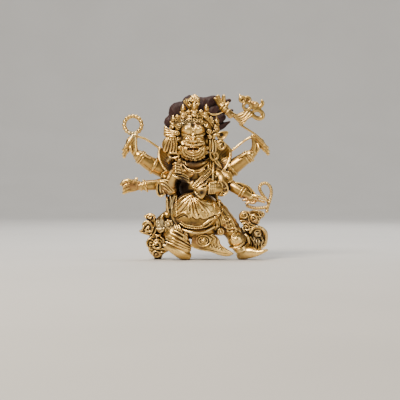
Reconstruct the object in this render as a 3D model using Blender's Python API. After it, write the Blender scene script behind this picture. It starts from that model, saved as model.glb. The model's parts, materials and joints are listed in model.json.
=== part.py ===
"""Standing six-armed wrathful guardian in gilt bronze, with trident, rosary and noose."""

import math

import bmesh
import bpy
import numpy as np

# Lengths are in millimetres until a mesh is made. X is to the right, Y is to the back, Z is up.
MM = 0.001
FINENESS = 1
SEAT_CLEARANCE = 0.6
VOXEL = 0.6
MIDDLE_TO_ORIGIN = (-0.63, 3.85, 0.0)
FIGURE_TRIANGLES = 7700
TRIDENT_TRIANGLES = 800
ROSARY_TRIANGLES = 640
NOOSE_TRIANGLES = 560

HEAD = (-2.2, -7.0, 119.0)
BELLY = (0.0, -7.0, 47.5)
BELLY_RADII = (24.6, 16.6, 21.4)
FOREARM_RADIUS = 5.2
STRIP_RADIUS = 1.2
ROSARY_CENTRE = (-63.1, -1.5, 135.2)
ROSARY_RADIUS = 8.7
ROSARY_BEAD = 2.25
ROSARY_BEADS = 16
ROPE_RADIUS = 1.45
STAFF_RADIUS = 1.1


def unit(rows):
    rows = np.asarray(rows, float)
    return rows / np.maximum(np.linalg.norm(rows, axis=-1, keepdims=True), 1e-9)


def through(rows, count, closed=False):
    """A smooth run of values that passes through the given rows."""
    rows = np.asarray(rows, float)
    if rows.ndim == 1:
        rows = rows[:, None]
    if len(rows) == 1:
        return np.repeat(rows, count, axis=0)
    if closed:
        rows = np.vstack([rows[-1:], rows, rows[:2]])
    else:
        rows = np.vstack([2 * rows[0] - rows[1], rows, 2 * rows[-1] - rows[-2]])
    spans = len(rows) - 3
    t = np.linspace(0, spans, count, endpoint=not closed)
    i = np.minimum(t.astype(int), spans - 1)
    u = (t - i)[:, None]
    a, b, c, d = rows[i], rows[i + 1], rows[i + 2], rows[i + 3]
    return 0.5 * (2 * b + (c - a) * u + (2 * a - 5 * b + 4 * c - d) * u**2 + (3 * b - a - 3 * c + d) * u**3)


def along(line, closed=False):
    """The direction of travel at each point of a line."""
    if closed:
        return unit(np.roll(line, -1, axis=0) - np.roll(line, 1, axis=0))
    return unit(np.gradient(line, axis=0))


def hooped(at, wide, high, count=12):
    """Points round an upright hoop."""
    x, y, z = at
    angles = np.linspace(0, 2 * math.pi, count, endpoint=False)
    return [(x + wide * math.cos(a), y, z + high * math.sin(a)) for a in angles]


def sides_of(tangent, face):
    """Unit vectors across a band and out of its broad side."""
    normal = unit(face - (face * tangent).sum(1, keepdims=True) * tangent)
    return np.cross(tangent, normal), normal


def turned(degrees):
    """The matrix of turns about X, then Y, then Z."""
    x, y, z = np.radians(degrees)
    rx = np.array([[1, 0, 0], [0, math.cos(x), -math.sin(x)], [0, math.sin(x), math.cos(x)]])
    ry = np.array([[math.cos(y), 0, math.sin(y)], [0, 1, 0], [-math.sin(y), 0, math.cos(y)]])
    rz = np.array([[math.cos(z), -math.sin(z), 0], [math.sin(z), math.cos(z), 0], [0, 0, 1]])
    return rz @ ry @ rx


class Clay:
    """A heap of overlapping closed shells, which are later fused into one body."""

    def __init__(self):
        self.points = []
        self.faces = []
        self.size = 0

    def add(self, points, faces):
        self.points.append(np.asarray(points, float))
        self.faces += [tuple(int(i) + self.size for i in face) for face in faces]
        self.size += len(points)

    def object(self, name):
        mesh = bpy.data.meshes.new(name)
        points = np.concatenate(self.points) + MIDDLE_TO_ORIGIN
        mesh.from_pydata((points * MM).tolist(), [], self.faces)
        made = bpy.data.objects.new(name, mesh)
        bpy.context.scene.collection.objects.link(made)
        return made

    def rings(self, rings, closed=False):
        """A shell over a stack of rings of points, with its ends filled."""
        rings = np.asarray(rings)
        count, around = rings.shape[:2]
        faces = []
        for i in range(count if closed else count - 1):
            here = i * around
            there = ((i + 1) % count) * around
            for j in range(around):
                k = (j + 1) % around
                faces.append((here + j, here + k, there + k, there + j))
        points = rings.reshape(-1, 3)
        if not closed:
            ends = [rings[0].mean(0), rings[-1].mean(0)]
            low, high = len(points), len(points) + 1
            last = (count - 1) * around
            for j in range(around):
                k = (j + 1) % around
                faces.append((low, k, j))
                faces.append((high, last + j, last + k))
            points = np.vstack([points, ends])
        self.add(points, faces)

    def ball(self, centre, radii, turn=(0, 0, 0), sides=16):
        """An ellipsoid."""
        sides = FINENESS * sides
        radii = np.broadcast_to(np.asarray(radii, float), (3,))
        polar = np.linspace(0, math.pi, sides // 2 + 1)[1:-1]
        angle = np.linspace(0, 2 * math.pi, sides, endpoint=False)
        x = np.sin(polar)[:, None] * np.cos(angle)
        y = np.sin(polar)[:, None] * np.sin(angle)
        z = np.repeat(-np.cos(polar)[:, None], sides, axis=1)
        shape = np.stack([x, y, z], axis=-1) * radii
        self.rings(shape @ turned(turn).T + np.asarray(centre, float))

    def tube(self, path, wide, thick=None, face=(0, -1, 0), sides=12, steps=6, closed=False, square=1.0):
        """A swept limb, cord or band. wide and thick are half sizes, face is where the thin side looks."""
        path = np.asarray(path, float)
        sides, steps = FINENESS * sides, FINENESS * steps
        count = steps * (len(path) if closed else len(path) - 1) + (0 if closed else 1)
        line = through(path, count, closed)
        wide = through(np.atleast_1d(wide), count, closed)[:, 0]
        thick = wide if thick is None else through(np.atleast_1d(thick), count, closed)[:, 0]
        wide = np.maximum(wide, 0.15)
        thick = np.maximum(thick, 0.15)
        tangent = along(line, closed)
        face = through(np.atleast_2d(np.asarray(face, float)), count, closed)
        across, normal = sides_of(tangent, face)
        if not closed:
            reach = np.minimum(wide, thick)
            bend = np.radians([84, 66, 45, 22])
            head = [line[0] - tangent[0] * reach[0] * math.sin(a) for a in bend]
            tail = [line[-1] + tangent[-1] * reach[-1] * math.sin(a) for a in bend[::-1]]
            line = np.vstack([head, line, tail])
            shrink = np.cos(bend)
            wide = np.concatenate([wide[0] * shrink, wide, wide[-1] * shrink[::-1]])
            thick = np.concatenate([thick[0] * shrink, thick, thick[-1] * shrink[::-1]])
            across = np.vstack([across[:1]] * 4 + [across] + [across[-1:]] * 4)
            normal = np.vstack([normal[:1]] * 4 + [normal] + [normal[-1:]] * 4)
        angle = np.linspace(0, 2 * math.pi, sides, endpoint=False)
        c = np.sign(np.cos(angle)) * np.abs(np.cos(angle)) ** square
        s = np.sign(np.sin(angle)) * np.abs(np.sin(angle)) ** square
        ring = line[:, None] + across[:, None] * (wide[:, None] * c)[..., None]
        self.rings(ring + normal[:, None] * (thick[:, None] * s)[..., None], closed)

    def slab(self, grid, half):
        """A closed plate on a grid of points, with its half thickness at each point."""
        grid = np.asarray(grid, float)
        normal = unit(np.cross(np.gradient(grid, axis=0), np.gradient(grid, axis=1)))
        half = np.broadcast_to(np.asarray(half, float), grid.shape[:2])[..., None]
        rows, cols = grid.shape[:2]
        points = np.concatenate([(grid + normal * half).reshape(-1, 3),
                                 (grid - normal * half).reshape(-1, 3)])
        index = np.arange(rows * cols).reshape(rows, cols)
        other = index + rows * cols
        faces = []
        for i in range(rows - 1):
            for j in range(cols - 1):
                faces.append((index[i, j], index[i + 1, j], index[i + 1, j + 1], index[i, j + 1]))
                faces.append((other[i, j], other[i, j + 1], other[i + 1, j + 1], other[i + 1, j]))
        edge = np.concatenate([index[0, :-1], index[:-1, -1], index[-1, :0:-1], index[:0:-1, 0]])
        turn = np.roll(edge, -1)
        for a, b in zip(edge, turn):
            faces.append((a, b, b + rows * cols, a + rows * cols))
        self.add(points, faces)

    def leaf(self, path, wide, face=(0, -1, 0), half=0.9, cup=0.0, rim=0.0, folds=0, deep=0.0, cols=9,
             steps=5):
        """A cast cloth or leaf shape: a band along path that may be hollow, rimmed and folded."""
        count = steps * (len(path) - 1) + 1
        line = through(path, count)
        wide = np.maximum(through(np.atleast_1d(wide), count)[:, 0], 0.2)
        tangent = along(line)
        face = through(np.atleast_2d(np.asarray(face, float)), count)
        across, normal = sides_of(tangent, face)
        v = np.linspace(-1, 1, cols)
        lift = cup * wide[:, None] * v**2 + deep * np.cos(math.pi * folds * v)
        grid = line[:, None] + across[:, None] * (wide[:, None] * v)[..., None]
        grid = grid + normal[:, None] * lift[..., None]
        self.slab(grid, half * (1 + rim * v**4)[None] * np.ones((count, 1)))

    def pillow(self, outline, y, half, lean=0.0):
        """A soft mass with a closed outline of X and Z points, half its depth, and a lean in Y."""
        edge = through(outline, 6 * FINENESS * len(outline), closed=True)
        middle = edge.mean(0)
        rings = []
        for angle in np.radians(np.linspace(-88, 88, 9 + 4 * FINENESS)):
            flat = middle + (edge - middle) * math.cos(angle) ** 0.6
            depth = y + lean * (flat[:, 0] - middle[0]) - half * math.sin(angle)
            rings.append(np.stack([flat[:, 0], depth, flat[:, 1]], axis=1))
        self.rings(rings)

    def row(self, path, radius, spacing, closed=False, squash=1.0):
        """Beads set evenly along a line."""
        line = through(path, 40 * len(path), closed)
        if closed:
            line = np.vstack([line, line[:1]])
        run = np.concatenate([[0], np.cumsum(np.linalg.norm(np.diff(line, axis=0), axis=1))])
        count = max(2, round(run[-1] / spacing) + (0 if closed else 1))
        for s in np.linspace(0, run[-1], count, endpoint=not closed):
            spot = [np.interp(s, run, line[:, k]) for k in range(3)]
            self.ball(spot, (radius, radius * squash, radius), sides=8)

    def curl(self, centre, start, turns, wide, angle=0.0, tight=0.25, thick=None, lean=(0, 0, 0)):
        """A flat spiral coil that faces the front."""
        t = np.linspace(0, 1, 5 + int(10 * abs(turns)))
        radius = start * (1 - (1 - tight) * t)
        phase = math.radians(angle) + 2 * math.pi * turns * t
        flat = np.stack([radius * np.cos(phase), -0.8 * t, radius * np.sin(phase)], axis=1)
        self.tube(flat @ turned(lean).T + np.asarray(centre, float), wide, thick, steps=2, sides=8)


def bands_round(clay, path, spots, radius, wide):
    """Plain bands around a limb at the given parts of its length."""
    line = through(path, 101)
    tangent = along(line)
    for spot in spots:
        at = line[int(spot * 100)]
        t = tangent[int(spot * 100)]
        side = unit(np.cross(t, (0, -1, 0.01)))
        other = np.cross(t, side)
        angle = np.linspace(0, 2 * math.pi, 16, endpoint=False)[:, None]
        hoop = at + radius * (np.cos(angle) * side + np.sin(angle) * other)
        clay.tube(hoop, wide, closed=True, steps=2, sides=8, face=t)


# Body

def on_belly(x, z, lift=0.0):
    """The point of the belly's front at x and z, raised by lift."""
    u = (x - BELLY[0]) / BELLY_RADII[0]
    v = (z - BELLY[2]) / BELLY_RADII[2]
    bulge = math.sqrt(max(0.02, 1 - min(0.98, u * u + v * v)))
    return (x, BELLY[1] - (BELLY_RADII[1] + lift) * bulge, z)


def torso(c):
    c.ball((0, 1, 88), (19, 10.5, 15))
    c.ball((0, 0, 72), (17, 10, 13))
    c.ball(BELLY, BELLY_RADII, sides=32)
    c.ball((0, 4, 44), (23, 12, 18))
    c.tube([(-2, -1, 94), (-2.5, -3, 106)], 8.5)
    for x in (-20, 21):
        c.ball((x, 3, 87), (8.5, 8, 9))
    for side in (-1, 1):
        c.ball((8.0 * side, -4.4, 87), (9.4, 6.4, 7.4))


LEFT_ARM = [(-20, 6, 84.6), (-32, 6, 89.6), (-41, 5, 93.8), (-48.5, 4, 98.0), (-57, 2, 104)]
RIGHT_ARM = [(21, 6, 85), (30, 6, 88), (38, 5, 93.6), (46, 4, 99.4), (54.4, 2, 105)]
MIDDLE_LEFT = [(-24, 2, 84), (-32, -1, 77.4), (-40, -4, 75.2), (-49, -6, 74.6), (-56, -7, 73.6)]
MIDDLE_RIGHT = [(24, 2, 82), (33, -1, 76), (40, -5, 71.6), (47, -7.6, 67.2), (53.6, -9, 63.2)]


def finger(c, path, wide=1.35, nail=True):
    c.tube(path, [wide, wide * 1.05, wide * 0.92, wide * 0.85][: len(path)], sides=10)
    for at in path[1:-1]:
        c.ball(at, wide * 1.16, sides=8)


def raised_hand(c, side, wrist, top, tip):
    """A hand lifted above its wrist and folded outward, with the finger ends hanging."""
    wx, wz = wrist
    tx, tz = top
    dx, dz = tip[0] - tx, tip[1] - tz
    reach = math.hypot(dx, dz)
    ux, uz = dx / reach, dz / reach
    nx, nz = uz * side, -ux * side
    c.tube([(wx - 0.6 * side, 1, wz - 1), (wx - 0.6 * side, 0, wz + 6), (tx - 0.4 * side, -0.5, tz)],
           [3.9, 2.7, 1.5], [3.8, 3.2, 1.7])
    c.ball((wx + 1.2 * side, 0.2, wz + 7.6), (3.0, 2.8, 6.4), (0, 14 * side, 0))
    c.ball((tx + 0.12 * dx, -0.6, tz + 0.16 * dz), (3.4, 2.4, 3.6))
    for i, end in enumerate((0.78, 0.92, 1.0)):
        off = 1.9 * (i - 1.0)
        y = -2.6 + 1.3 * i
        path = []
        for share, drop in ((0.06, 0.6), (0.46, -1.0), (0.76, -1.2), (1.0, 0.4)):
            s = share * end * reach
            path.append((tx + ux * s + nx * off, y + drop, tz + uz * s + nz * off))
        finger(c, path, 1.6)
        c.ball(path[-1], 1.85, sides=10)
    c.tube([(tx - 0.5 * side, -1.5, tz + 0.4), (tx + 0.40 * dx + 1.4 * side, -2.4, tz + 0.20 * dz),
            (tx + 0.62 * dx + 1.0 * side, -2.8, tz + 0.48 * dz)], [2.0, 1.7, 1.2], sides=10)
    c.tube([(wx + 2.6 * side, -1.6, wz + 6.4), (wx + 3.6 * side, -3.0, wz + 2.6),
            (wx + 2.6 * side, -3.4, wz - 0.6)], [1.6, 1.7, 1.3], sides=10)


def arms(c):
    c.tube(LEFT_ARM, [7.8, 8.0, 7.9, 7.2, 6.0], sides=20)
    c.tube(RIGHT_ARM, [7.8, 8.2, 7.8, 6.9, 5.5], sides=20)
    c.tube([(-57, 2, 104), (-60.5, 1.5, 107.4), (-62, 1, 110)], [4.9, 4.0, 3.6])
    c.tube([(54.4, 2, 105), (58, 1.5, 108), (58.4, 1, 111)], [4.9, 4.0, 3.6])
    c.tube(MIDDLE_LEFT, [6.5, 5.8, FOREARM_RADIUS, 5.0, 4.0], sides=16)
    c.tube(MIDDLE_RIGHT, [6.5, 5.9, 5.5, 4.9, 4.0], sides=16)
    for side in (-1, 1):
        c.tube([(20 * side, 0, 86), (26 * side, -4, 80), (25 * side, -9, 71)], [7.4, 7, 6.4])
    c.tube([(24, -10, 72), (19, -16, 71), (13, -20, 72)], [6.0, 4.8, 3.8])
    c.tube([(-25, -8, 71), (-23, -14.6, 80), (-19.4, -19, 88)], [6.0, 4.4, 3.6])


def hands(c):
    raised_hand(c, -1, (-62.0, 109), (-60.6, 125.0), (-73.6, 104.6))
    raised_hand(c, 1, (59.2, 109.6), (57.2, 123.6), (73.6, 107.6))
    c.ball((-62.4, -7.8, 74.6), (7.0, 3.8, 6.2), (0, 4, 0))
    c.ball((-64.6, -9.6, 76.8), (3.2, 1.8, 1.8))
    finger(c, [(-63, -9, 78.0), (-67.6, -9.6, 79.4), (-71.8, -9.6, 78.0), (-74.2, -9.6, 75.6)], 1.95)
    finger(c, [(-65, -9.4, 75.4), (-69.0, -10.4, 75.0), (-71.6, -10.8, 73.0)], 1.8)
    finger(c, [(-65, -9.0, 72.6), (-69.0, -10.0, 71.6), (-71.6, -10.4, 69.8)], 1.75)
    finger(c, [(-63, -8.4, 69.8), (-68.4, -9.2, 68.8), (-72.0, -9.4, 67.0)], 1.65)
    finger(c, [(-57, -9, 77.6), (-60.4, -10.6, 79.8), (-58.6, -10.8, 81.4)], 1.3)
    c.ball((57.4, -8, 61.8), (5.6, 3.4, 3.8), (0, 28, 0))
    finger(c, [(55, -10, 64.6), (60, -12, 64.0), (65.6, -12, 62.0), (69.4, -11.6, 60.2)], 1.6)
    finger(c, [(58, -5, 60.6), (62.4, -4.4, 59.4), (66.6, -4.2, 58.4), (68.4, -4.4, 57.8)], 1.3)
    finger(c, [(54, -10, 61.2), (50.4, -11, 60.6), (47.0, -10.6, 60.0)], 1.45)
    finger(c, [(56, -10, 59.6), (53, -11, 57.9), (49.8, -10.6, 56.8)], 1.4)
    finger(c, [(59, -10, 59), (58, -11.4, 57.6), (55.4, -11.2, 56.8)], 1.35)


def feet(c):
    c.tube([(-9.8, -5.0, 4.6), (-14.6, -8, 7.2), (-22, -11, 11.2), (-28.0, -13, 14.0), (-32.2, -14, 15.4)],
           [5.4, 6.0, 4.9, 3.2, 1.4],
           [5.6, 6.0, 4.9, 3.2, 1.5], sides=16)
    c.ball((-10.8, -4.2, 4.4), (5.4, 5.8, 4.7))
    c.tube([(47.0, -0.5, 6.2), (51, -3, 7.6), (56.5, -6, 7.8), (62, -9, 7.8), (70.6, -11, 10.2)],
           [6.4, 6.6, 5.5, 3.2, 1.2],
           [6.0, 6.2, 5.2, 3.0, 1.3], sides=16)
    c.ball((46.2, 0.4, 4.9), (5.8, 6.2, 5.4))
    for i in range(4):
        c.tube([(-24 + 0.8 * i, -13.6 + 2.2 * i, 13.4 - 0.5 * i),
                (-29.0 + 0.8 * i, -14.8 + 2.0 * i, 14.8 - 0.4 * i),
                (-31.4 + 1.0 * i, -14.6 + 2.0 * i, 15.2 - 0.6 * i)], [1.5, 1.4, 1.1], sides=8)
        c.tube([(61 - 0.8 * i, -10.4 + 2.0 * i, 8.0 - 0.2 * i),
                (66 - 0.8 * i, -11.6 + 1.9 * i, 9.2 - 0.4 * i),
                (70 - 1.2 * i, -11.8 + 1.9 * i, 10.4 - 0.5 * i)], [1.5, 1.4, 1.1], sides=8)


# Head

def head(c):
    x, y, z = HEAD
    c.ball((x, y + 2, z + 1.5), (12.4, 12.2, 18), sides=24)
    c.ball((x + 0.2, y - 2.5, z - 8), (13.0, 10.5, 9.5), sides=20)
    c.ball((x, y - 1.5, z + 10), (11.4, 10.6, 8.6), sides=20)
    for side in (-1, 1):
        dip = -0.5 * side
        c.ball((x + 6.2 * side, y - 9.2, z + 9.6 + dip), (5.2, 3.6, 2.9), (0, 12 * side, 0))
        c.tube([(x + 0.9 * side, y - 13.2, z + 5.2), (x + 4.2 * side, y - 12.6, z + 6.0 + dip),
                (x + 8.0 * side, y - 10.9, z + 7.6 + dip),
                (x + 11.2 * side, y - 7.6, z + 6.4 + dip)], [1.0, 1.35, 1.4, 0.9])
        c.ball((x + 6.3 * side, y - 10.9, z + 3.1 + dip), (2.9, 2.3, 2.1), (0, 14 * side, 0))
        c.tube([(x + 2.8 * side, y - 12.0, z + 2.6), (x + 6.3 * side, y - 12.7, z + 5.0 + dip),
                (x + 9.8 * side, y - 10.0, z + 4.2 + dip)], 0.65, sides=8)
        c.tube([(x + 2.8 * side, y - 12.0, z + 2.2), (x + 6.2 * side, y - 12.4, z + 0.8 + dip),
                (x + 9.6 * side, y - 10.0, z + 2.6 + dip)], 0.6, sides=8)
        c.ball((x + 8.0 * side, y - 9.2, z - 3.0), (3.8, 3.6, 3.0))
        c.ball((x + 2.4 * side, y - 13.4, z - 1.9), (1.7, 1.9, 1.5))
        c.tube([(x + 1.0 * side, y - 13.6, z - 4.9), (x + 4.4 * side, y - 13.0, z - 5.6),
                (x + 8.0 * side, y - 11.2, z - 4.8),
                (x + 9.2 * side, y - 10.6, z - 2.6), (x + 7.6 * side, y - 12.0, z - 2.0)],
                [1.0, 1.2, 1.2, 1.0, 0.8])
        c.tube([(x + 9.8 * side, y - 7.6, z + 11.5), (x + 11.4 * side, y - 6.0, z + 5),
                (x + 12.0 * side, y - 5.0, z - 2)], [1.6, 1.6, 1.8])
        c.tube([(x + 4.6 * side, y - 12.2, z - 7.4), (x + 4.9 * side, y - 12.6, z - 10.2)], [0.9, 0.5],
               sides=8)
        c.ball((x + 12.8 * side, y + 1, z + 0.5), (2.2, 3.4, 5.0))
    c.tube([(x, y - 11.4, z + 6.4), (x, y - 13.4, z + 3.2), (x, y - 15.0, z - 1.2)], [1.3, 1.6, 2.0])
    c.ball((x, y - 15.0, z - 1.5), (1.9, 1.8, 1.7))
    c.ball((x, y - 12.4, z + 11.4), (1.5, 0.9, 2.2))
    c.tube([(x - 1.6, y - 12.2, z + 11.4), (x, y - 12.4, z + 14.0), (x + 1.6, y - 12.2, z + 11.4),
            (x, y - 12.4, z + 8.8)], 0.55, closed=True, sides=8)
    for i in range(6):
        c.ball((x - 3.6 + 1.44 * i, y - 12.4 + 0.05 * (i - 2.5) ** 2, z - 7.6), (0.7, 0.7, 0.85), sides=8)
    c.ball((x, y - 10.9, z - 9.6), (3.4, 1.6, 1.2))
    c.tube([(x - 6.2, y - 11.0, z - 8.2), (x - 3.6, y - 12.4, z - 11.2), (x, y - 12.9, z - 12.0),
            (x + 3.6, y - 12.4, z - 11.2),
            (x + 6.2, y - 11.0, z - 8.2)], [0.9, 1.2, 1.3, 1.2, 0.9])
    for row, (wide, drop, size, count) in enumerate(((12.0, 7.0, 2.1, 13), (10.6, 9.4, 1.9, 11))):
        for i, angle in enumerate(np.linspace(-84, 84, count)):
            a = math.radians(angle)
            at = (x + wide * math.sin(a), y - 3.4 - 8.0 * math.cos(a) + 1.4 * row,
                  z - 8.6 - drop * math.cos(a))
            c.ball(at, (size, size, size * 1.1), sides=10)


HAIRLINE_CURLS = [(-18.3, 126.8, 2.9), (-16.9, 133.4, 3.7), (-11.9, 138.2, 3.1), (-6.3, 138.6, 3.0),
                  (-1.2, 139.2, 2.6), (4.2, 137.8, 3.5), (-17.6, 120.6, 2.4), (9.4, 134.2, 3.3),
                  (12.9, 128.6, 3.0), (13.6, 122.6, 2.4)]


def hairline(c):
    """The carved band of curls that frames the forehead."""
    band = [(-15.6, -3.0, 117.5), (-17.4, -5.0, 124), (-16.4, -8.0, 131.6), (-12.2, -11.6, 136.6),
            (-7.0, -14.0, 138.2), (-1.4, -14.8, 138.6),
            (4.6, -13.8, 137.4), (9.8, -10.8, 134.0), (13.0, -7.4, 128.6), (13.8, -4.6, 121)]
    c.tube(band, [2.4, 3.0, 3.6, 3.7, 3.6, 3.5, 3.7, 3.9, 3.5, 2.6],
           [2.6, 3.2, 3.4, 3.5, 3.6, 3.6, 3.6, 3.4, 3.2, 2.6], face=(0, -1, 0))
    for x, z, size in HAIRLINE_CURLS:
        c.ball((x, -7.6 - 8.6 * math.cos((x + 1.4) * 0.085), z), (size, 2.6, size))
    for i in range(3):
        d = 1.6 * i
        c.tube([(11.4 + 0.8 * d, -11.6 + 1.0 * d, 136.6 - 0.4 * d),
                (14.6 + 0.6 * d, -9.0 + 1.0 * d, 132.6 - 0.6 * d),
                (16.2 + 0.4 * d, -6.6 + 1.0 * d, 127.4 - 0.9 * d)], 0.9, sides=8)


def skull(c, at, size):
    x, y, z = at
    c.ball((x, y, z + 0.25 * size), (size, 0.9 * size, 0.86 * size), sides=12)
    c.ball((x, y - 0.3 * size, z - 0.7 * size), (0.6 * size, 0.62 * size, 0.5 * size), sides=10)
    for side in (-1, 1):
        c.ball((x + 0.6 * side * size, y - 0.5 * size, z - 0.35 * size),
               (0.34 * size, 0.32 * size, 0.3 * size), sides=8)
        c.tube([(x + 0.75 * side * size, y - 0.1 * size, z + 0.3 * size),
                (x + 0.95 * side * size, y - 0.2 * size, z - 0.5 * size),
                (x + 1.0 * side * size, y - 0.2 * size, z - 1.4 * size)],
                [0.3 * size, 0.3 * size, 0.2 * size], sides=6, steps=3)


CROWN = [(-22.8, -5.5, 134.6), (-12.6, -14.5, 143.7), (-1.6, -17.5, 145.2), (9.2, -15.0, 144.2),
         (19.9, -6.0, 132.4)]
CROWN_TIPS = [(-22.6, 140.6), (-12.6, 150.8), (-1.6, 152.4), (10.3, 150.6), (20.5, 138.8)]


def crown(c):
    c.tube([(-22, -2, 130.5), (-17, -8, 137.6), (-11, -12.6, 141.6), (-1.8, -15.0, 142.8),
            (7.6, -13.0, 141.8), (13.4, -9.0, 137.4), (19.4, -2, 128)], 1.6, 2.0)
    for at, tip in zip(CROWN, CROWN_TIPS):
        skull(c, at, 2.9)
        front = at[1] + 0.2
        c.ball((tip[0], front + 0.4, tip[1]), (2.7, 1.6, 3.2), sides=12)
        c.ball((tip[0], front - 1.1, tip[1] - 0.2), (1.7, 1.5, 2.2), sides=12)
        c.tube([(tip[0], front, tip[1] + 2), (tip[0], front, tip[1] + 3.4)], [1.3, 0.9])
        c.tube([(at[0], at[1] + 1.2, at[2]), (tip[0], at[1] + 1.4, tip[1])], 1.7)
        c.tube([(at[0], at[1] + 1.0, at[2] + 1), (at[0], at[1] + 3.6, at[2] - 4)], 1.9)
        for side in (-1, 1):
            c.ball((at[0] + 2.4 * side, at[1] + 0.6, at[2] + 3.0), (1.2, 1.0, 1.1), sides=8)
    for x, y, z in [(-18.0, -10.5, 142.6), (-7, -16.0, 147.2), (4.9, -16.0, 147.4), (14.8, -11, 140.8)]:
        for turn in range(5):
            a = math.radians(72 * turn + 18)
            c.ball((x + 1.45 * math.cos(a), y, z + 1.45 * math.sin(a)), 1.0, sides=8)
        c.ball((x, y - 0.9, z), 0.85, sides=8)
        c.tube([(x, y + 0.5, z), (x * 0.92, y + 3, z - 5)], 1.5)
        for side in (-1, 1):
            c.tube([(x, y + 1, z - 3.2), (x + 2.2 * side, y + 0.4, z - 3.8),
                    (x + 2.6 * side, y + 0.4, z - 2.0)], 0.7, sides=6)
    c.pillow([(-5.4, 148.6), (-9.4, 153.2), (-12.9, 158.4), (-9.0, 160.2), (-5.0, 163.4), (-1.3, 165.0),
              (2.4, 163.2), (4.2, 159.6), (3.2, 154.6), (1.6, 149.4)], -9.5, 3.6)
    c.tube([(-1.6, -15, 146), (-1.5, -12, 150), (-1.4, -9, 156)], [2.8, 3.6, 4.6])
    for dx, dz, size, angle in [(-8.6, 157.8, 1.9, 200), (-5.4, 153.6, 1.7, 160), (-4.8, 159.2, 2.0, 120),
                                (1.4, 159.0, 2.0, 60), (1.9, 154.6, 1.6, 20)]:
        c.curl((dx, -13.0, dz), size, 1.1 if dx > -1 else -1.1, 0.7, angle=angle)
    c.tube([(-1.5, -12.6, 156), (-1.4, -12.8, 161.0)], [1.3, 0.9])
    for side in (-1, 1):
        c.tube([(-1.4 + 1.0 * side, -12.6, 161.0), (-1.4 + 2.8 * side, -11.8, 162.6),
                (-1.4 + 1.4 * side, -10.8, 164)], 0.6, sides=8)
    c.ball((-1.3, -10, 163.9), 1.6, sides=12)
    c.tube([(12.6, -9, 146.4), (16.0, -9.4, 144.9), (20.6, -9, 145.1), (26.2, -7, 147.6)],
           [1.0, 1.0, 0.95, 0.6])


HAIR_LOBES = [
    ([(-13, 158.6), (-19.4, 158.4), (-24.8, 155.6), (-27.4, 150), (-27.0, 144.6), (-22, 140), (-14, 138),
      (-6, 146), (-6, 154)], 4.4, 7.0),
    ([(-18, 146), (-25, 146.6), (-30.6, 142.4), (-32.2, 137.6), (-29.6, 133.4), (-22, 131), (-15, 134)],
     4.6, 5.2),
    ([(-15, 152), (-13.6, 160.4), (-8.6, 164.9), (-4, 165.2), (1, 161), (0, 150), (-8, 148)], 4.0, 5.6),
    ([(0, 146), (1.0, 157), (3.2, 163.4), (9, 163.4), (14, 164.8), (19.8, 165.0), (22.0, 161),
      (20.8, 156.6), (15, 152), (9, 146)], 6.0, 5.8),
    ([(8, 143), (11, 152.6), (17, 155.2), (22.4, 154.6), (25.4, 151), (23, 146.6), (16, 143)], 5.6, 4.6),
    ([(10, 134), (15, 144), (22, 147.0), (29.2, 146.0), (30.0, 142.0), (26, 138.2), (18, 134)], 6.4, 3.6),
]
HAIR_TIPS = [
    ([(12, 5, 129), (20, 7, 133.2), (27, 8, 135.4), (34.0, 8, 138.8)], [6, 5.0, 3.5, 0.9],
     [2.6, 2.4, 1.9, 0.9]),
    ([(12, 9, 150), (22, 11, 156), (34.4, 12, 160.8)], [5.6, 4.2, 1.8], [2.6, 2.4, 1.3]),
    ([(14, 9, 144), (24, 12, 148), (37.0, 13, 150.6)], [5.6, 3.8, 1.4], [2.6, 2.3, 1.2]),
]


def hair(c):
    c.ball((-2.5, 4, 134), (17.6, 10.5, 17), sides=20)
    c.ball((-1, 5, 149), (16, 7.5, 12.6), sides=20)
    for outline, y, half in HAIR_LOBES:
        c.pillow(outline, y, half)
    for path, wide, thick in HAIR_TIPS:
        c.tube(path, wide, thick, sides=20)
    for i, x in enumerate((-16, -8, 0, 8, 15)):
        tip = (-20, -9.5, 1, 11, 19)[i]
        c.tube([(x * 0.7, 9, 118), (x, 13.5, 132), (x * 0.95, 13, 145),
                (tip, 9.5, 157 - 0.014 * tip * tip)], [4.4, 5.4, 5, 1.8], [3, 3.8, 3.4, 1.4])


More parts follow.
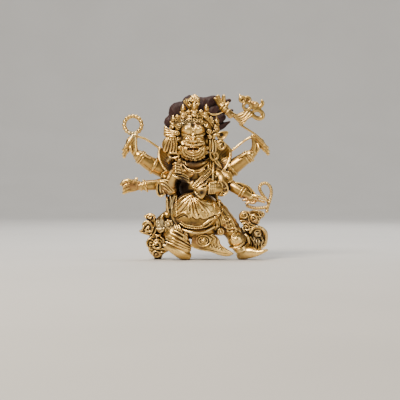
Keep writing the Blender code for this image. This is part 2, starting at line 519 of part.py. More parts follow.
def ear_bows(c):
    """The fans and folded bundles beside the ears, and the rings and tassels under them."""
    c.pillow([(-31.4, 134.8), (-32.3, 130), (-32.0, 124.0), (-27.6, 122.6), (-22.6, 123.2), (-17.8, 124.8),
              (-18.2, 128.4), (-22.6, 129.6), (-27.2, 130.9)], -4.6, 2.6, lean=-0.16)
    c.ball((-19.4, -9.2, 126.4), (2.6, 1.6, 2.2), sides=12)
    c.pillow([(-20, 123.4), (-26, 123.6), (-31.0, 121.8), (-33.8, 117.4), (-33.6, 112.6), (-32.4, 108.6),
              (-30.4, 107.2), (-28.4, 108.4), (-26.0, 106.2), (-23.4, 107.6), (-21.2, 106.0),
              (-18.6, 108.2), (-17.6, 114), (-17.8, 120)], -6.4, 2.5, lean=-0.12)
    c.ball((-23.4, -8.6, 123.2), (3.6, 1.5, 1.5), sides=12)
    c.tube([(-27.4, -7.4, 105.8), (-23, -8.8, 106.9), (-18.2, -9.4, 106.2), (-17.0, -9.2, 103.6),
            (-20.4, -9.0, 102.2), (-25.4, -8.2, 101.9)], 1.15, closed=True, sides=8, steps=3)
    c.tube([(-25.4, -8, 101.9), (-27.4, -7.2, 99.4), (-26.6, -6.2, 96.8)], [2.1, 1.9, 0.9])
    c.tube([(-20.4, -9.0, 102.2), (-19.6, -8.6, 99.6)], [1.2, 0.8])
    c.tube([(-24, -6, 101), (-24, -1, 99), (-23, 4, 96)], 2.2)
    c.pillow([(10.6, 122.6), (13, 126.0), (17, 129.0), (20.6, 131.8), (23.4, 129.8), (20.8, 126.0),
              (16.6, 123.0), (13, 121)], -7.0, 2.2, lean=0.1)
    c.row([(11.8, -10.2, 123.8), (14.8, -10.0, 126.2), (18, -9.4, 128.4), (21.2, -8.8, 130.4)], 0.95, 2.1)
    c.row([(13.0, -10.0, 122.2), (16.2, -9.8, 124.2), (19.4, -9.2, 126.6)], 0.6, 1.6)
    c.pillow([(20.6, 125), (21.6, 121.4), (25, 119.6), (28.6, 121), (31.6, 124.6), (32.4, 128.4),
              (28.4, 128.9), (24, 128.2)], -6.4, 1.9)
    spots = [(21.4, 124.6), (23.2, 121.4), (26.6, 121.0), (29.4, 123.4), (31.4, 127.6), (28, 128.0),
             (24, 127.4)]
    c.tube([(x, -8.2, z) for x, z in spots], 0.9, closed=True, steps=3, sides=8)
    c.tube([(22.6, -8.4, 124.8), (19.6, -9.2, 125.0), (17.6, -9.6, 122.0)], [1.5, 1.8, 1.4])
    c.pillow([(12.7, 119.6), (15.2, 122.0), (18.6, 121.6), (20.6, 118.6), (20.8, 112), (20.0, 107.0),
              (16.4, 105.8), (13.0, 108.6)], -6.8, 2.8, lean=0.1)
    c.pillow([(20, 119.6), (24.6, 120.4), (28.4, 118.4), (29.8, 114.4), (28.6, 110.6), (25, 108.6),
              (21.4, 109.6), (19.6, 113)], -6.2, 2.0, lean=0.1)
    c.tube(hooped((25.2, -8.0, 114.6), 3.4, 4.3, 12), 1.1, closed=True, steps=2, sides=8)
    c.tube([(25.0, -8.2, 110.6), (23.6, -8.6, 114.0), (25.8, -8.4, 116.4)], [0.8, 0.9, 0.6], sides=8)
    c.tube([(14.4, -8.6, 106.8), (14.6, -8.8, 103.0), (17.4, -8.6, 99.9), (21.2, -8.2, 101.8),
            (21.0, -8.2, 106.0), (17.6, -8.6, 107.4)], 1.25, closed=True, steps=3, sides=8)
    c.pillow([(17.4, 100.4), (20.4, 101.0), (23.4, 98.4), (25.6, 93.6), (26.0, 91.4), (22.4, 93.4),
              (19.2, 96.4)], -7.2, 1.7, lean=0.25)
    c.tube([(17.0, -8, 109), (17.6, -8.8, 106.4)], 1.7)


def collar(c):
    c.tube([(-15, -3, 101), (-12.0, -8.6, 97.6), (-2, -11.2, 95.4), (8, -9.4, 97.0), (12.6, -3, 101)],
           [1.4, 1.5, 1.6, 1.5, 1.4], 1.2)
    c.tube([(-13.0, -9.0, 95.6), (-9.6, -12.0, 91.6), (-6.0, -13.8, 89.8), (-1.6, -14.8, 89.2),
            (2.8, -14.0, 89.8), (6.4, -12.8, 91.6), (11.0, -9.6, 95.4)], 0.85)
    c.row([(-11.4, -10.8, 91.6), (-6.4, -13.8, 87.9), (-1.6, -15.0, 86.9), (4.0, -14.4, 87.8),
           (8.6, -12.4, 90.6)], 0.65, 1.5)
    c.ball((-1.6, -15.2, 87.8), (1.4, 1.1, 1.7))
    c.tube([(-10.6, -9.8, 98.2), (-10.0, -11.0, 95.6), (-8.2, -12.0, 94.2)], [0.8, 0.9, 0.5], sides=8)
    for side in (-1, 1):
        for i in range(3):
            c.tube([((13.0 + 1.9 * i) * side - 1, -5.6 + 1.1 * i, 99.4),
                    ((13.6 + 2.2 * i) * side - 1, -8.6 + 1.1 * i, 94.0),
                    ((12.6 + 2.6 * i) * side - 1, -9.6 + 1.0 * i, 88.6)],
                   [0.9, 1.2, 0.8], sides=8)


def armlets(c):
    """Bands, cuffs and jewels on the six arms and the ankles."""
    bands_round(c, LEFT_ARM, [0.52, 0.55], 8.0, 1.3)
    bands_round(c, LEFT_ARM, [0.93, 0.985], 6.6, 0.95)
    bands_round(c, RIGHT_ARM, [0.42, 0.45], 8.2, 1.3)
    bands_round(c, RIGHT_ARM, [0.90, 0.965], 6.2, 0.95)
    c.tube([(-58.6, -2.6, 98.6), (-55.6, -4.8, 103.4), (-52.2, -4.6, 105.4), (-49.6, -3.4, 103.6),
            (-46.0, -3.0, 101.8)], 0.95)
    c.tube([(42.6, -2.8, 102.6), (47.0, -4.2, 104.8), (50.6, -4.6, 106.4), (54.8, -4.0, 102.4),
            (57.6, -2.2, 99.6)], 0.95)
    bands_round(c, MIDDLE_LEFT, [0.80], 5.2, 0.8)
    bands_round(c, MIDDLE_LEFT, [0.97], 4.5, 0.8)
    c.tube([(-52.6, -8.4, 79.6), (-52.0, -10.8, 76.4), (-50.0, -11.2, 72.0), (-48.2, -9.6, 68.6)], 0.9)
    bands_round(c, MIDDLE_RIGHT, [0.70, 0.78], 5.5, 0.85)
    for side in (-1, 1):
        x = 31.4 * side + 0.6
        c.leaf([(27 * side, -6, 88), (x, -8, 84.4), (x + 0.4 * side, -8, 79)], [1.4, 3.8, 4.4], half=1.5,
               rim=0.4)
        c.ball((x, -10.0, 82.6), (2.1, 1.4, 2.1), sides=12)
        c.row([(x - 4 * side, -8.4, 79), (x, -9.6, 77.6), (x + 3.4 * side, -8.4, 78.4)], 0.8, 1.7)


# Dress

def hide(c):
    """The elephant hide: a shoulder panel on each side, the strips up to the raised hands, and the back."""
    left = [(-36.2, 2, 112.4), (-37.4, 1, 106), (-36.2, -1, 99.5), (-32.4, -3, 92.6), (-26, -5, 86)]
    right = [(28.6, 2, 116.6), (33.4, 2, 112), (34.8, 1, 106), (33.6, -1, 99.5), (29.8, -3, 92),
             (24, -5, 85)]
    for edge, inner, high in ((left, -17, 108), (right, 17, 110)):
        edge = through(edge, 29)
        t = np.linspace(0, 1, 17)[None, :, None]
        root = np.stack([np.full(29, inner), np.full(29, 1.0), np.linspace(high, 88, 29)], axis=1)[:, None]
        grid = edge[:, None] * (1 - t) + root * t
        grid[..., 1] += 1.9 * np.sin(math.pi * t[..., 0]) ** 0.7
        c.slab(grid, 1.6)
        c.tube(edge[::4], 1.35)
    c.tube([(-60.4, 0, 123.9), (-55.5, 1, 122.9), (-51, 2, 121.4), (-45.4, 2, 118), (-39.7, 2, 114),
            (-35, 3, 110)], STRIP_RADIUS)
    c.tube([(55.4, 0, 123.0), (50, 1, 120.4), (46.5, 2, 118), (40.3, 2, 113), (33, 3, 107.4)], STRIP_RADIUS)
    rows = []
    for z, wide, y in [(106, 17, 9), (96, 23, 11.5), (84, 24, 13.5), (70, 21, 15), (58, 21, 16.5),
                       (46, 22, 18), (36, 21, 18), (29, 17, 17)]:
        a = np.linspace(-1, 1, 33)
        rows.append(np.stack([wide * a, y - 6.5 * a**2 + 0.9 * np.cos(5 * math.pi * a + 0.03 * z),
                              z + 3 * a**2], axis=1))
    c.slab(through(np.array(rows).reshape(8, -1), 30).reshape(30, 33, 3), 1.4)
    for side in (0, -1):
        c.tube([row[side] for row in rows[1:]], 1.7, sides=10)
    c.tube([tuple(p) for p in rows[-1][::4]], 1.8, sides=10)


def sash(c):
    c.leaf([(15.2, -10, 90.5), (9, -15.0, 83.6), (3.4, -17.6, 78), (-3, -18.6, 72)], [3.4, 3.0, 2.7, 2.4],
           half=1.0, face=(0, -1, 0.2), rim=0.5)
    for s in (-1, 0, 1):
        c.row([(14.2 + 1.1 * s, -12.0, 88.6 + 1.3 * s), (8.6 + 1.1 * s, -16.2, 82.6 + 1.3 * s),
               (2.6 + 1.1 * s, -18.7, 76.6 + 1.3 * s)], 0.5, 1.5)
    c.tube([(17.6, -6, 98), (17.2, -11.4, 89), (16.4, -13.4, 80)], [1.2, 1.15, 1.1])
    c.tube([(28, -3, 91), (24.4, -8, 86.6), (19.6, -10.4, 83)], [1.0, 1.0, 0.8])
    c.tube([(12.6, -13.4, 80), (6, -17.2, 73), (0, -18, 69)], [2.4, 2.6, 2.2])


def chest_hands(c):
    """The hand with the flaying knife and the hand with the skull cup."""
    c.ball((-18.6, -20.6, 91.4), (3.8, 3.4, 5.6), (0, 8, 0))
    for i in range(4):
        z = 95.6 - 2.7 * i
        finger(c, [(-21.8, -20.6, z), (-19.8, -23.6 - 0.3 * i, z + 0.5), (-16.6 + 0.5 * i, -23.2, z - 0.5)],
               1.2 + 0.04 * i)
    c.tube([(-17.2, -22, 96), (-16.4, -22.4, 99.4)], [1.6, 1.3])
    c.ball((-16.3, -22.4, 99.2), (1.9, 1.8, 1.6), sides=12)
    c.pillow([(-22.4, 85.2), (-17, 86.6), (-11.6, 86.4), (-7.4, 83.6), (-5.8, 77.4), (-10, 78.0),
              (-16, 80.6), (-20, 83.2)], -21.6, 1.6, lean=0.06)
    c.tube([(-22.6, -22.4, 84.6), (-17.0, -24.0, 81.4), (-11.6, -24.0, 78.8), (-6.4, -23.2, 77.2)],
           [0.7, 1.0, 1.0, 0.6])
    c.tube([(-19.4, -21, 88), (-17, -22, 83)], 2.0)
    cup = []
    for r, z in [(1.0, 61.4), (3.2, 63.8), (5.4, 68.2), (6.7, 72.8), (5.7, 73.2), (4.6, 69.6), (1.6, 66.6)]:
        a = np.linspace(0, 2 * math.pi, 20, endpoint=False)
        cup.append(np.stack([5.6 + r * np.cos(a), -22.0 + 0.9 * r * np.sin(a),
                             z + (0.16 * np.cos(a) + 0.34 * np.sin(a)) * r], axis=1))
    c.rings(cup)
    c.tube([(-1.2, -21.6, 72.0), (1.6, -26.2, 70.6), (5.8, -27.8, 71.0), (9.8, -26.2, 72.4),
            (12.2, -21.8, 74.0)], 0.9, sides=8)
    c.tube([(-1.0, -24.0, 68.4), (1.4, -25.6, 65.2), (4.6, -24.6, 62.4)], 0.8, sides=8)
    for i in range(4):
        x = 13.2 + 1.75 * i
        finger(c, [(x + 0.8, -17.6, 78.4), (x + 0.5, -22.0 + 0.7 * i, 76), (x + 0.1, -23.2 + 0.8 * i, 71.4),
                   (x - 0.6, -21.6 + 0.8 * i, 66.8)], 1.2)
    c.ball((15.4, -17.2, 72), (4.4, 3.6, 5.6))
    finger(c, [(10.6, -18, 77.6), (9.4, -20, 75.4), (7.6, -21, 74.6)], 1.2)


def sleeves(c):
    """Scarf cloth wound round the two bent elbows."""
    c.pillow([(-38.4, 79.0), (-33, 81.0), (-27, 80.4), (-22, 77), (-19.4, 72), (-21.6, 67.4), (-26.6, 67.0),
              (-30.6, 65.4), (-34.6, 62.8), (-38.4, 65.0), (-39.8, 71)], -9.6, 5.0, lean=-0.12)
    for line, wide in (
        ([(-37.4, 78.2), (-38.9, 72.4), (-37.9, 66.0), (-34.6, 63.8), (-31.6, 65.8), (-32.4, 68.6)], 1.05),
        ([(-35.4, 76.6), (-35.8, 71.6), (-35.0, 67.6)], 0.8),
        ([(-35.6, 78.8), (-30.4, 77.6), (-25.4, 73.4), (-21.6, 68.8)], 0.9),
        ([(-33.6, 75.6), (-29.4, 73.8), (-25.8, 70.4), (-23.6, 68.0)], 0.9),
        ([(-30.8, 80.0), (-25.6, 78.0), (-21.8, 73.6)], 0.85),
        ([(-32.0, 71.6), (-28.8, 70.2), (-26.8, 68.0)], 0.7),
    ):
        c.tube([(x, -14.4 - 0.12 * (x + 30), z) for x, z in line],
               [0.7 * wide] + [wide] * (len(line) - 2) + [0.7 * wide], sides=8)
    c.pillow([(19.6, 78), (24, 80.6), (29, 79.6), (32, 75.4), (32.6, 70), (30.4, 65.6), (26, 63.4),
              (21.6, 64.6), (19.0, 68), (18.4, 73)], -10.0, 5.2, lean=0.12)
    for line, wide in (
        ([(20.4, 77.4), (23.0, 74.0), (22.6, 69.0), (20.4, 65.8)], 1.0),
        ([(22.8, 79.4), (25.6, 75.4), (25.6, 69.6), (23.6, 65.0)], 0.9),
        ([(26.4, 79.4), (29.2, 76.6), (31.4, 72.0), (30.6, 67.2), (27.0, 64.6)], 0.95),
        ([(25.8, 72.4), (28.4, 71.4), (31.0, 72.6)], 0.7),
        ([(25.8, 68.6), (28.4, 67.6), (30.4, 68.2)], 0.6),
    ):
        c.tube([(x, -15.0 + 0.12 * (x - 26), z) for x, z in line],
               [0.7 * wide] + [wide] * (len(line) - 2) + [0.7 * wide], sides=8)
    c.ball((-24, -8, 68), (5.0, 4.6, 3.2), (0, -20, 0))
    c.pillow([(35.4, 79.0), (41, 78.2), (48, 76.2), (54.6, 72.2), (59.6, 66.8), (57.4, 63.6), (52, 64.4),
              (46.0, 67.6), (40, 71.4), (35.4, 74.6)], -3.4, 5.2, lean=-0.1)
    for line, wide in (
        ([(39.0, 77.8), (46.4, 76.0), (53.4, 72.4), (58.2, 67.0)], 0.95),
        ([(44.6, 76.0), (49.4, 72.4), (52.6, 68.0)], 0.8),
        ([(50.6, 73.6), (54.0, 70.0), (55.8, 66.0)], 0.75),
    ):
        c.tube([(x, -8.2 - 0.1 * (x - 47), z) for x, z in line],
               [0.7 * wide] + [wide] * (len(line) - 2) + [0.7 * wide], sides=8)


def apron(c):
    """The cloth over the belly with its gathered folds, hems and strings of beads."""
    folds = [
        [(-7.0, 62.8), (-11.4, 60.0), (-15.4, 56.0), (-18.6, 52.2)],
        [(-4.6, 61.4), (-4.9, 55), (-4.2, 48.6)],
        [(-2.2, 61.6), (1.6, 55.4), (5.6, 48.6)],
        [(-0.6, 61.8), (5.0, 59.0), (12.6, 56.6), (18.6, 57.0)],
    ]
    for fold in folds:
        c.tube([on_belly(x, z, -0.5) for x, z in fold], [1.3] * (len(fold) - 1) + [0.8], sides=8)
    c.ball(on_belly(-4.4, 63.4, -2.0), (4.2, 2.2, 2.2))
    hems = [
        ([(-21.6, 64), (-23.0, 57), (-23.8, 50), (-23.2, 44), (-20.8, 38.0), (-15.4, 33.2), (-8.4, 30.2),
          (0, 29.4), (8, 30.2)], 1.45),
        ([(-19.0, 64.2), (-20.0, 57), (-20.4, 51), (-20.0, 46.4)], 0.65),
        ([(21.4, 59.4), (22.8, 53), (22.8, 46.6), (20.0, 43.4), (15, 41.2), (11.2, 38.6), (7.4, 35.8)],
         1.4),
        ([(-14.2, 38.4), (-9, 35.4), (-2, 34.2), (4.4, 34.2), (7.6, 35.2)], 0.75),
    ]
    for line, wide in hems:
        c.tube([on_belly(x, z, 0.3) for x, z in line], wide, wide * 0.9, sides=8)
    for line, wide, step in [
        ([(-19.0, 62), (-19.4, 56), (-19.6, 50), (-19.0, 45.4)], 0.8, 1.8),
        ([(17.4, 57.0), (18.5, 52), (18.2, 46.8)], 0.95, 2.0),
        ([(-15.2, 36.8), (-9.6, 33.4), (-2, 32.2), (4, 32.4), (10.8, 34.2), (15.0, 37.4), (18.0, 41.4)],
         1.0, 2.1),
    ]:
        c.row([on_belly(x, z, 0.8) for x, z in line], wide, step)
    c.tube([(-18.6, -13, 33.6), (-12, -17.4, 30.4), (-4, -20.0, 28.2), (3.4, -20.4, 27.6),
            (10.4, -18.6, 29.4), (18, -14.6, 33.4)], 1.4)
    c.tube([(-29.4, -6, 66), (-28.8, -8.8, 60), (-28.4, -9.2, 54), (-27, -9.2, 48)], [1.0, 1.3, 1.2, 0.9],
           sides=8)
    c.tube([(-25.6, -8.4, 65), (-25.0, -9.6, 59), (-25.6, -9.4, 52)], [0.9, 1.1, 0.8], sides=8)
    for z in (40, 36.6, 33.4):
        c.tube([(-20.6, -6, z), (-12, 10, z - 4), (0, 15.4, z - 6), (12, 10, z - 4), (21, -5, z)],
               [3, 4.4, 4.6, 4.4, 3])


def flap(c):
    """The cloth tail between the legs, blown towards the right foot."""
    c.pillow([(-4.4, 15.0), (-3.0, 24), (4, 27.4), (12, 27.0), (20, 24.6), (23.4, 20.4), (24.8, 16.0),
              (30.6, 11.6), (37.2, 7.0), (31.5, 4.6), (24, 5.8), (16, 9.2), (4, 11.2)],
             -13.4, 2.3, lean=0.1)
    c.tube([(-4.6, -15, 15), (3.4, -16.2, 11.8), (15, -14.6, 9.6), (24, -12.6, 6.2), (31.5, -11.4, 5.1),
            (36.6, -10.8, 6.8)], [1.1, 1.2, 1.2, 1.1, 1.0, 0.9])
    for wide, high, r in ((6.9, 5.4, 0.75), (4.4, 3.4, 0.6)):
        hoop = hooped((7.2, -16.8, 19.9), wide, high, 16)
        c.tube(hoop, r, closed=True, steps=2, sides=8)
    c.ball((7.2, -14.8, 19.9), (6.6, 2.2, 5.2))
    for i in range(6):
        a = math.radians(60 * i)
        c.ball((7.2 + 1.9 * math.cos(a), -17.4, 19.9 + 1.6 * math.sin(a)), (1.0, 0.8, 0.9), sides=8)
    c.ball((7.2, -18.0, 19.9), 0.9, sides=8)
    c.tube([(13.8, -15.8, 15.4), (15.6, -15.5, 18.6), (17.4, -15.2, 14.8), (18.6, -15, 18),
            (20.2, -14.6, 14.2), (21.4, -14.4, 16.8)], 0.6, sides=8)
    for dz in (0, 1.5):
        c.tube([(-3, -15.8, 14.0 + dz), (6, -16.2, 12.6 + dz), (15, -15.4, 11.2 + dz),
                (24, -14.0, 8.2 + dz), (31, -12.6, 7.2 + 0.4 * dz)], 0.4, sides=8)
    c.ball((24.6, -12.0, 28.6), (4.0, 3.2, 4.0))
    hoop = hooped((24.6, -14.6, 28.6), 2.7, 2.7, 10)
    c.tube(hoop, 0.6, closed=True, steps=2, sides=8)
    c.ball((24.6, -15.0, 28.6), 1.3, sides=10)
    c.ball((1, -6, 29), (19, 11.5, 8.6))
    c.ball((-10.4, -16.0, 23.4), (3.0, 2.8, 4.9))
    for i in range(3):
        c.row([(-12 + 1.5 * i, -18.6, 26.4), (-12.0 + 1.5 * i, -18.9, 20.8)], 0.75, 1.5)
    c.tube([(-10.4, -15, 29.6), (-10.4, -16.0, 26.4)], [2.0, 2.4])


def trousers(c):
    c.tube([(-10, 4, 43), (-19, -0.5, 36.5), (-23, -7.5, 28)], [12.5, 11.4, 9.4], sides=20)
    c.tube([(-22, -10.5, 26.4), (-17.0, -10, 20.0), (-11.6, -8, 13.0)], [9.6, 10.2, 7.4], [8.4, 8.4, 7.0],
           sides=20)
    c.ball((-23.6, -10.6, 26.6), (7.2, 6.4, 6.2))
    c.pillow([(-23, 65), (-29.6, 62), (-30.2, 54), (-29.8, 46), (-27, 40), (-22, 40), (-21, 50),
              (-21.6, 60)], -4.6, 4.4)
    for i, line in enumerate([
        [(-21.6, -18.4, 30.0), (-15.6, -19.4, 27.6), (-9.4, -17.2, 22.6), (-6.0, -13.4, 18.6)],
        [(-25.4, -17.8, 27.4), (-17.6, -19.4, 24.2), (-10.4, -16.8, 19.2), (-5.4, -12.8, 15.4)],
        [(-28.4, -15.8, 24.6), (-19.8, -18.6, 20.8), (-11.4, -16.2, 16.4), (-5.0, -12.0, 13.2)],
        [(-29.4, -14.6, 21.6), (-20.6, -17.6, 18.0), (-12.4, -15.2, 14.0), (-5.2, -11.0, 11.2)],
        [(-30.2, -14.0, 18.8), (-21.6, -16.4, 15.6), (-13.4, -14.4, 11.8), (-5.6, -10.4, 9.4)],
    ]):
        c.tube(line, [0.7, 1.1, 1.1, 0.7], sides=8)
    c.tube([(10, 2, 46), (21, 0, 43), (30.0, -1, 36), (37.0, -2, 28)], [13.2, 13.0, 10.9, 8.6], sides=20)
    c.ball((24, -1, 40), (9.4, 10.0, 16), (0, 12, 0), sides=20)
    c.ball((20, -2, 33), (9.6, 10, 8.4))
    c.tube([(37.0, -2, 28), (40.6, -3.6, 21), (41.8, -4, 17)], [9.0, 8.0, 7.0], sides=16)
    c.ball((40.0, -5.6, 20.6), (8.6, 8.6, 8.8), sides=20)
    c.tube([(41.6, -3, 16), (45.6, -2, 10), (46.4, -1, 5.6)], [7.2, 6.6, 5.2], sides=16)
    edge = [(24.6, 59.6), (26.8, 56.4), (29.4, 52.4), (32.8, 48.4), (36.8, 44.4), (40.0, 40.4),
            (42.6, 36.0), (44.4, 31.6), (46.4, 27.6), (48.4, 24.2)]
    for x, z in edge:
        c.ball((x - 1.5, -0.5, z - 0.9), (2.3, 3.6, 2.4), sides=10)
        c.ball((x - 4.4, -6.4, z - 2.8), (1.9, 2.4, 2.0), sides=10)
    c.tube([(33.4, -9, 13.4), (38.4, -13.4, 12.6), (44.4, -13.0, 14.8), (48.6, -7.6, 19.6), (48.4, -4, 25)],
           1.0)
    for i in range(4):
        d = 1.25 * i
        c.tube([(38.0 + 0.5 * d, -7, 11.4 - d), (42.6 + 0.5 * d, -9.6, 11.4 - 0.8 * d),
                (48.0 + 0.4 * d, -8.4, 13.8 - 0.9 * d), (52.6 + 0.2 * d, -3, 17.6 - 1.1 * d)], 0.65,
                sides=8)
    for i in range(3):
        x = 35.2 + 1.9 * i
        c.tube([(x + 0.6, -12.4, 27.6 - 0.8 * i), (x + 2.0, -13.6, 24.6 - 0.8 * i)], [0.7, 0.5], sides=8)


def hip_flowers(c):
    """Leaves and flower heads of the sash at the hip."""
    c.pillow([(-32.8, 46.2), (-35.2, 41.4), (-38.6, 40.6), (-40.2, 36.0), (-39.6, 31.4), (-36.6, 27.6),
              (-33.0, 28.0), (-29.6, 31), (-29.0, 37), (-31, 41)], -8.4, 4.6)
    for line in ([(-32.8, 45.4), (-34.6, 41.6), (-34.4, 37.6), (-32.2, 34.6)],
                 [(-38.6, 39.8), (-39.2, 36.6), (-36.8, 33.8), (-34.0, 33.2)],
                 [(-39.0, 31.8), (-36.4, 30.8), (-33.6, 31.6)],
                 [(-35.6, 28.2), (-33.4, 29.4), (-31.6, 32.0)]):
        c.tube([(x, -12.4, z) for x, z in line], [0.7, 1.2, 1.1, 0.8][: len(line)], sides=8)
    for x, z in ((-36.8, 37.4), (-36.4, 34.6)):
        c.ball((x, -12.6, z), 1.3, sides=8)
    c.ball((-27.0, -10.6, 36.2), (4.6, 4.4, 4.6))
    for turn in range(7):
        a = 2 * math.pi * turn / 7
        c.ball((-27.0 + 3.2 * math.cos(a), -13.8, 36.2 + 3.2 * math.sin(a)), (1.7, 1.5, 1.7), sides=8)
    c.ball((-27.0, -15.0, 36.2), 2.0, sides=10)
    for i in range(4):
        c.tube([(-29.2 + 1.5 * i, -13.4, 32.8), (-30.4 + 2.0 * i, -14.0, 29.4)], [0.75, 0.6], sides=8)
    for x in (-19.6, -17.4, -15.2):
        c.tube([(x - 1.6, -16.2, 35.2), (x, -18.2, 31.4), (x + 1.6, -18.2, 27.8)], 0.8, sides=8)
    c.ball((-17.4, -14.6, 31), (4, 3.4, 4.4))


def left_cluster(c):
    """Scarf ends at the left, heaped from the hip down to the ground."""
    c.tube([(-28, -4, 44), (-34, 0, 38), (-40, 3, 30), (-40, 5, 22)], [6, 6.5, 6.5, 7], [5, 5, 5, 6])
    c.pillow([(-52.2, 44.2), (-48.5, 46.0), (-45.2, 46.9), (-41.8, 45.4), (-40.0, 42), (-40.6, 38.4),
              (-45, 37.6), (-48.6, 39.8), (-50.6, 41.4)], -1.4, 3.2, lean=-0.12)
    c.tube([(x, -4.4 - 0.12 * (x + 45), z) for x,
            z in [(-51.6, 44.0), (-48.4, 45.2), (-45.2, 45.9), (-41.9, 44.4), (-41.0, 41.2),
                  (-43.0, 38.6)]], [0.7, 0.9, 1.0, 1.0, 1.0, 0.8], sides=8)
    c.tube([(x, -4.8 - 0.12 * (x + 45), z) for x,
            z in [(-50.8, 42.8), (-48.0, 43.0), (-45.6, 41.2), (-44.2, 43.2), (-45.8, 44.2)]], 0.75,
            sides=8)
    c.pillow([(-57.2, 29.0), (-53.6, 31.8), (-54.2, 35.6), (-51.8, 38.6), (-47.4, 39.6), (-43.4, 39.0),
              (-41, 34), (-42, 27), (-46.4, 24.4), (-51.2, 25.4), (-55, 26.8)], -1.6, 3.6, lean=-0.1)
    for line, wide in (
        ([(-56.6, 29.0), (-53.6, 30.2), (-52.4, 33.0), (-53.0, 36.0), (-50.8, 38.2), (-47.0, 38.4),
          (-44.8, 36.4)], 0.95),
        ([(-51.4, 36.4), (-49.0, 37.2), (-46.4, 35.8), (-45.0, 33.0)], 0.7),
        ([(-52.6, 29.6), (-49.4, 31.6), (-46.6, 30.2), (-45.8, 27.2)], 0.9),
        ([(-54.8, 27.4), (-50.6, 27.4), (-47.6, 26.0)], 0.8),
        ([(-41.6, 41.4), (-41.0, 36.4), (-42.4, 31.4), (-45.6, 25.4)], 1.0),
        ([(-39.4, 38.8), (-39.0, 34.4), (-40.4, 29.4), (-43.0, 24.6)], 1.0),
    ):
        c.tube([(x, -5.2 - 0.1 * (x + 48), z) for x, z in line],
               [0.7 * wide] + [wide] * (len(line) - 2) + [0.7 * wide], sides=8)
    c.pillow([(-49.9, 17), (-47.6, 21.9), (-43.5, 24.4), (-38.6, 25), (-33.4, 24.0), (-30.4, 20),
              (-30.0, 14), (-26.9, 9.4), (-31.6, 6.2), (-35.4, 3.2), (-39.6, 2.0), (-44.4, 4.4),
              (-47.6, 8.6), (-48.4, 12.6)],
             2.4, 6.2)
    c.ball((-38.6, 9, 15), (8.4, 9.0, 10))
    c.curl((-38.4, -5.0, 15.2), 5.0, 1.25, 1.3, angle=80, tight=0.34)
    c.ball((-38.2, -4.0, 15.0), (1.3, 2.4, 1.3), sides=8)
    for line, wide, y in (
        ([(-48.6, 14.0), (-48.9, 18.0), (-45.4, 21.8), (-41.6, 23.0)], 1.15, -2.6),
        ([(-46.0, 12.6), (-45.6, 16.8), (-43.4, 19.8)], 0.9, -3.6),
        ([(-39.4, 23.8), (-39.2, 20.4)], 0.9, -4.8),
        ([(-34.8, 22.8), (-32.2, 20.6), (-32.6, 17.2)], 1.3, -4.6),
        ([(-36.8, 20.6), (-34.6, 19.2), (-34.0, 16.6)], 0.8, -4.8),
        ([(-46.8, 9.4), (-44.2, 7.6), (-40.4, 8.6), (-36.8, 7.4), (-33.4, 8.0), (-30.4, 7.8)], 0.95, -3.2),
        ([(-47.0, 11.6), (-43.8, 10.0), (-40.4, 9.8)], 0.8, -3.4),
        ([(-34.6, 11.6), (-31.4, 11.0), (-28.6, 9.8)], 1.2, -3.6),
        ([(-33.4, 14.6), (-30.6, 13.6)], 1.2, -3.8),
    ):
        c.tube([(x, y, z) for x, z in line], [0.75 * wide] + [wide] * (len(line) - 2) + [0.6 * wide],
               sides=8)
    c.tube([(-39, 10, 9), (-39, 15, 4), (-39, 17, 2.4)], [5.4, 5.0, 4.4], [5, 4.6, 4.0])
    c.tube([(-31, 0, 26), (-27, 2, 20), (-22, 0, 16)], [4.6, 4.4, 4])
    c.tube([(-34.6, -4, 26), (-37.4, -4.4, 24.2), (-40.6, -4.0, 25.4)], [1.0, 1.3, 1.0])


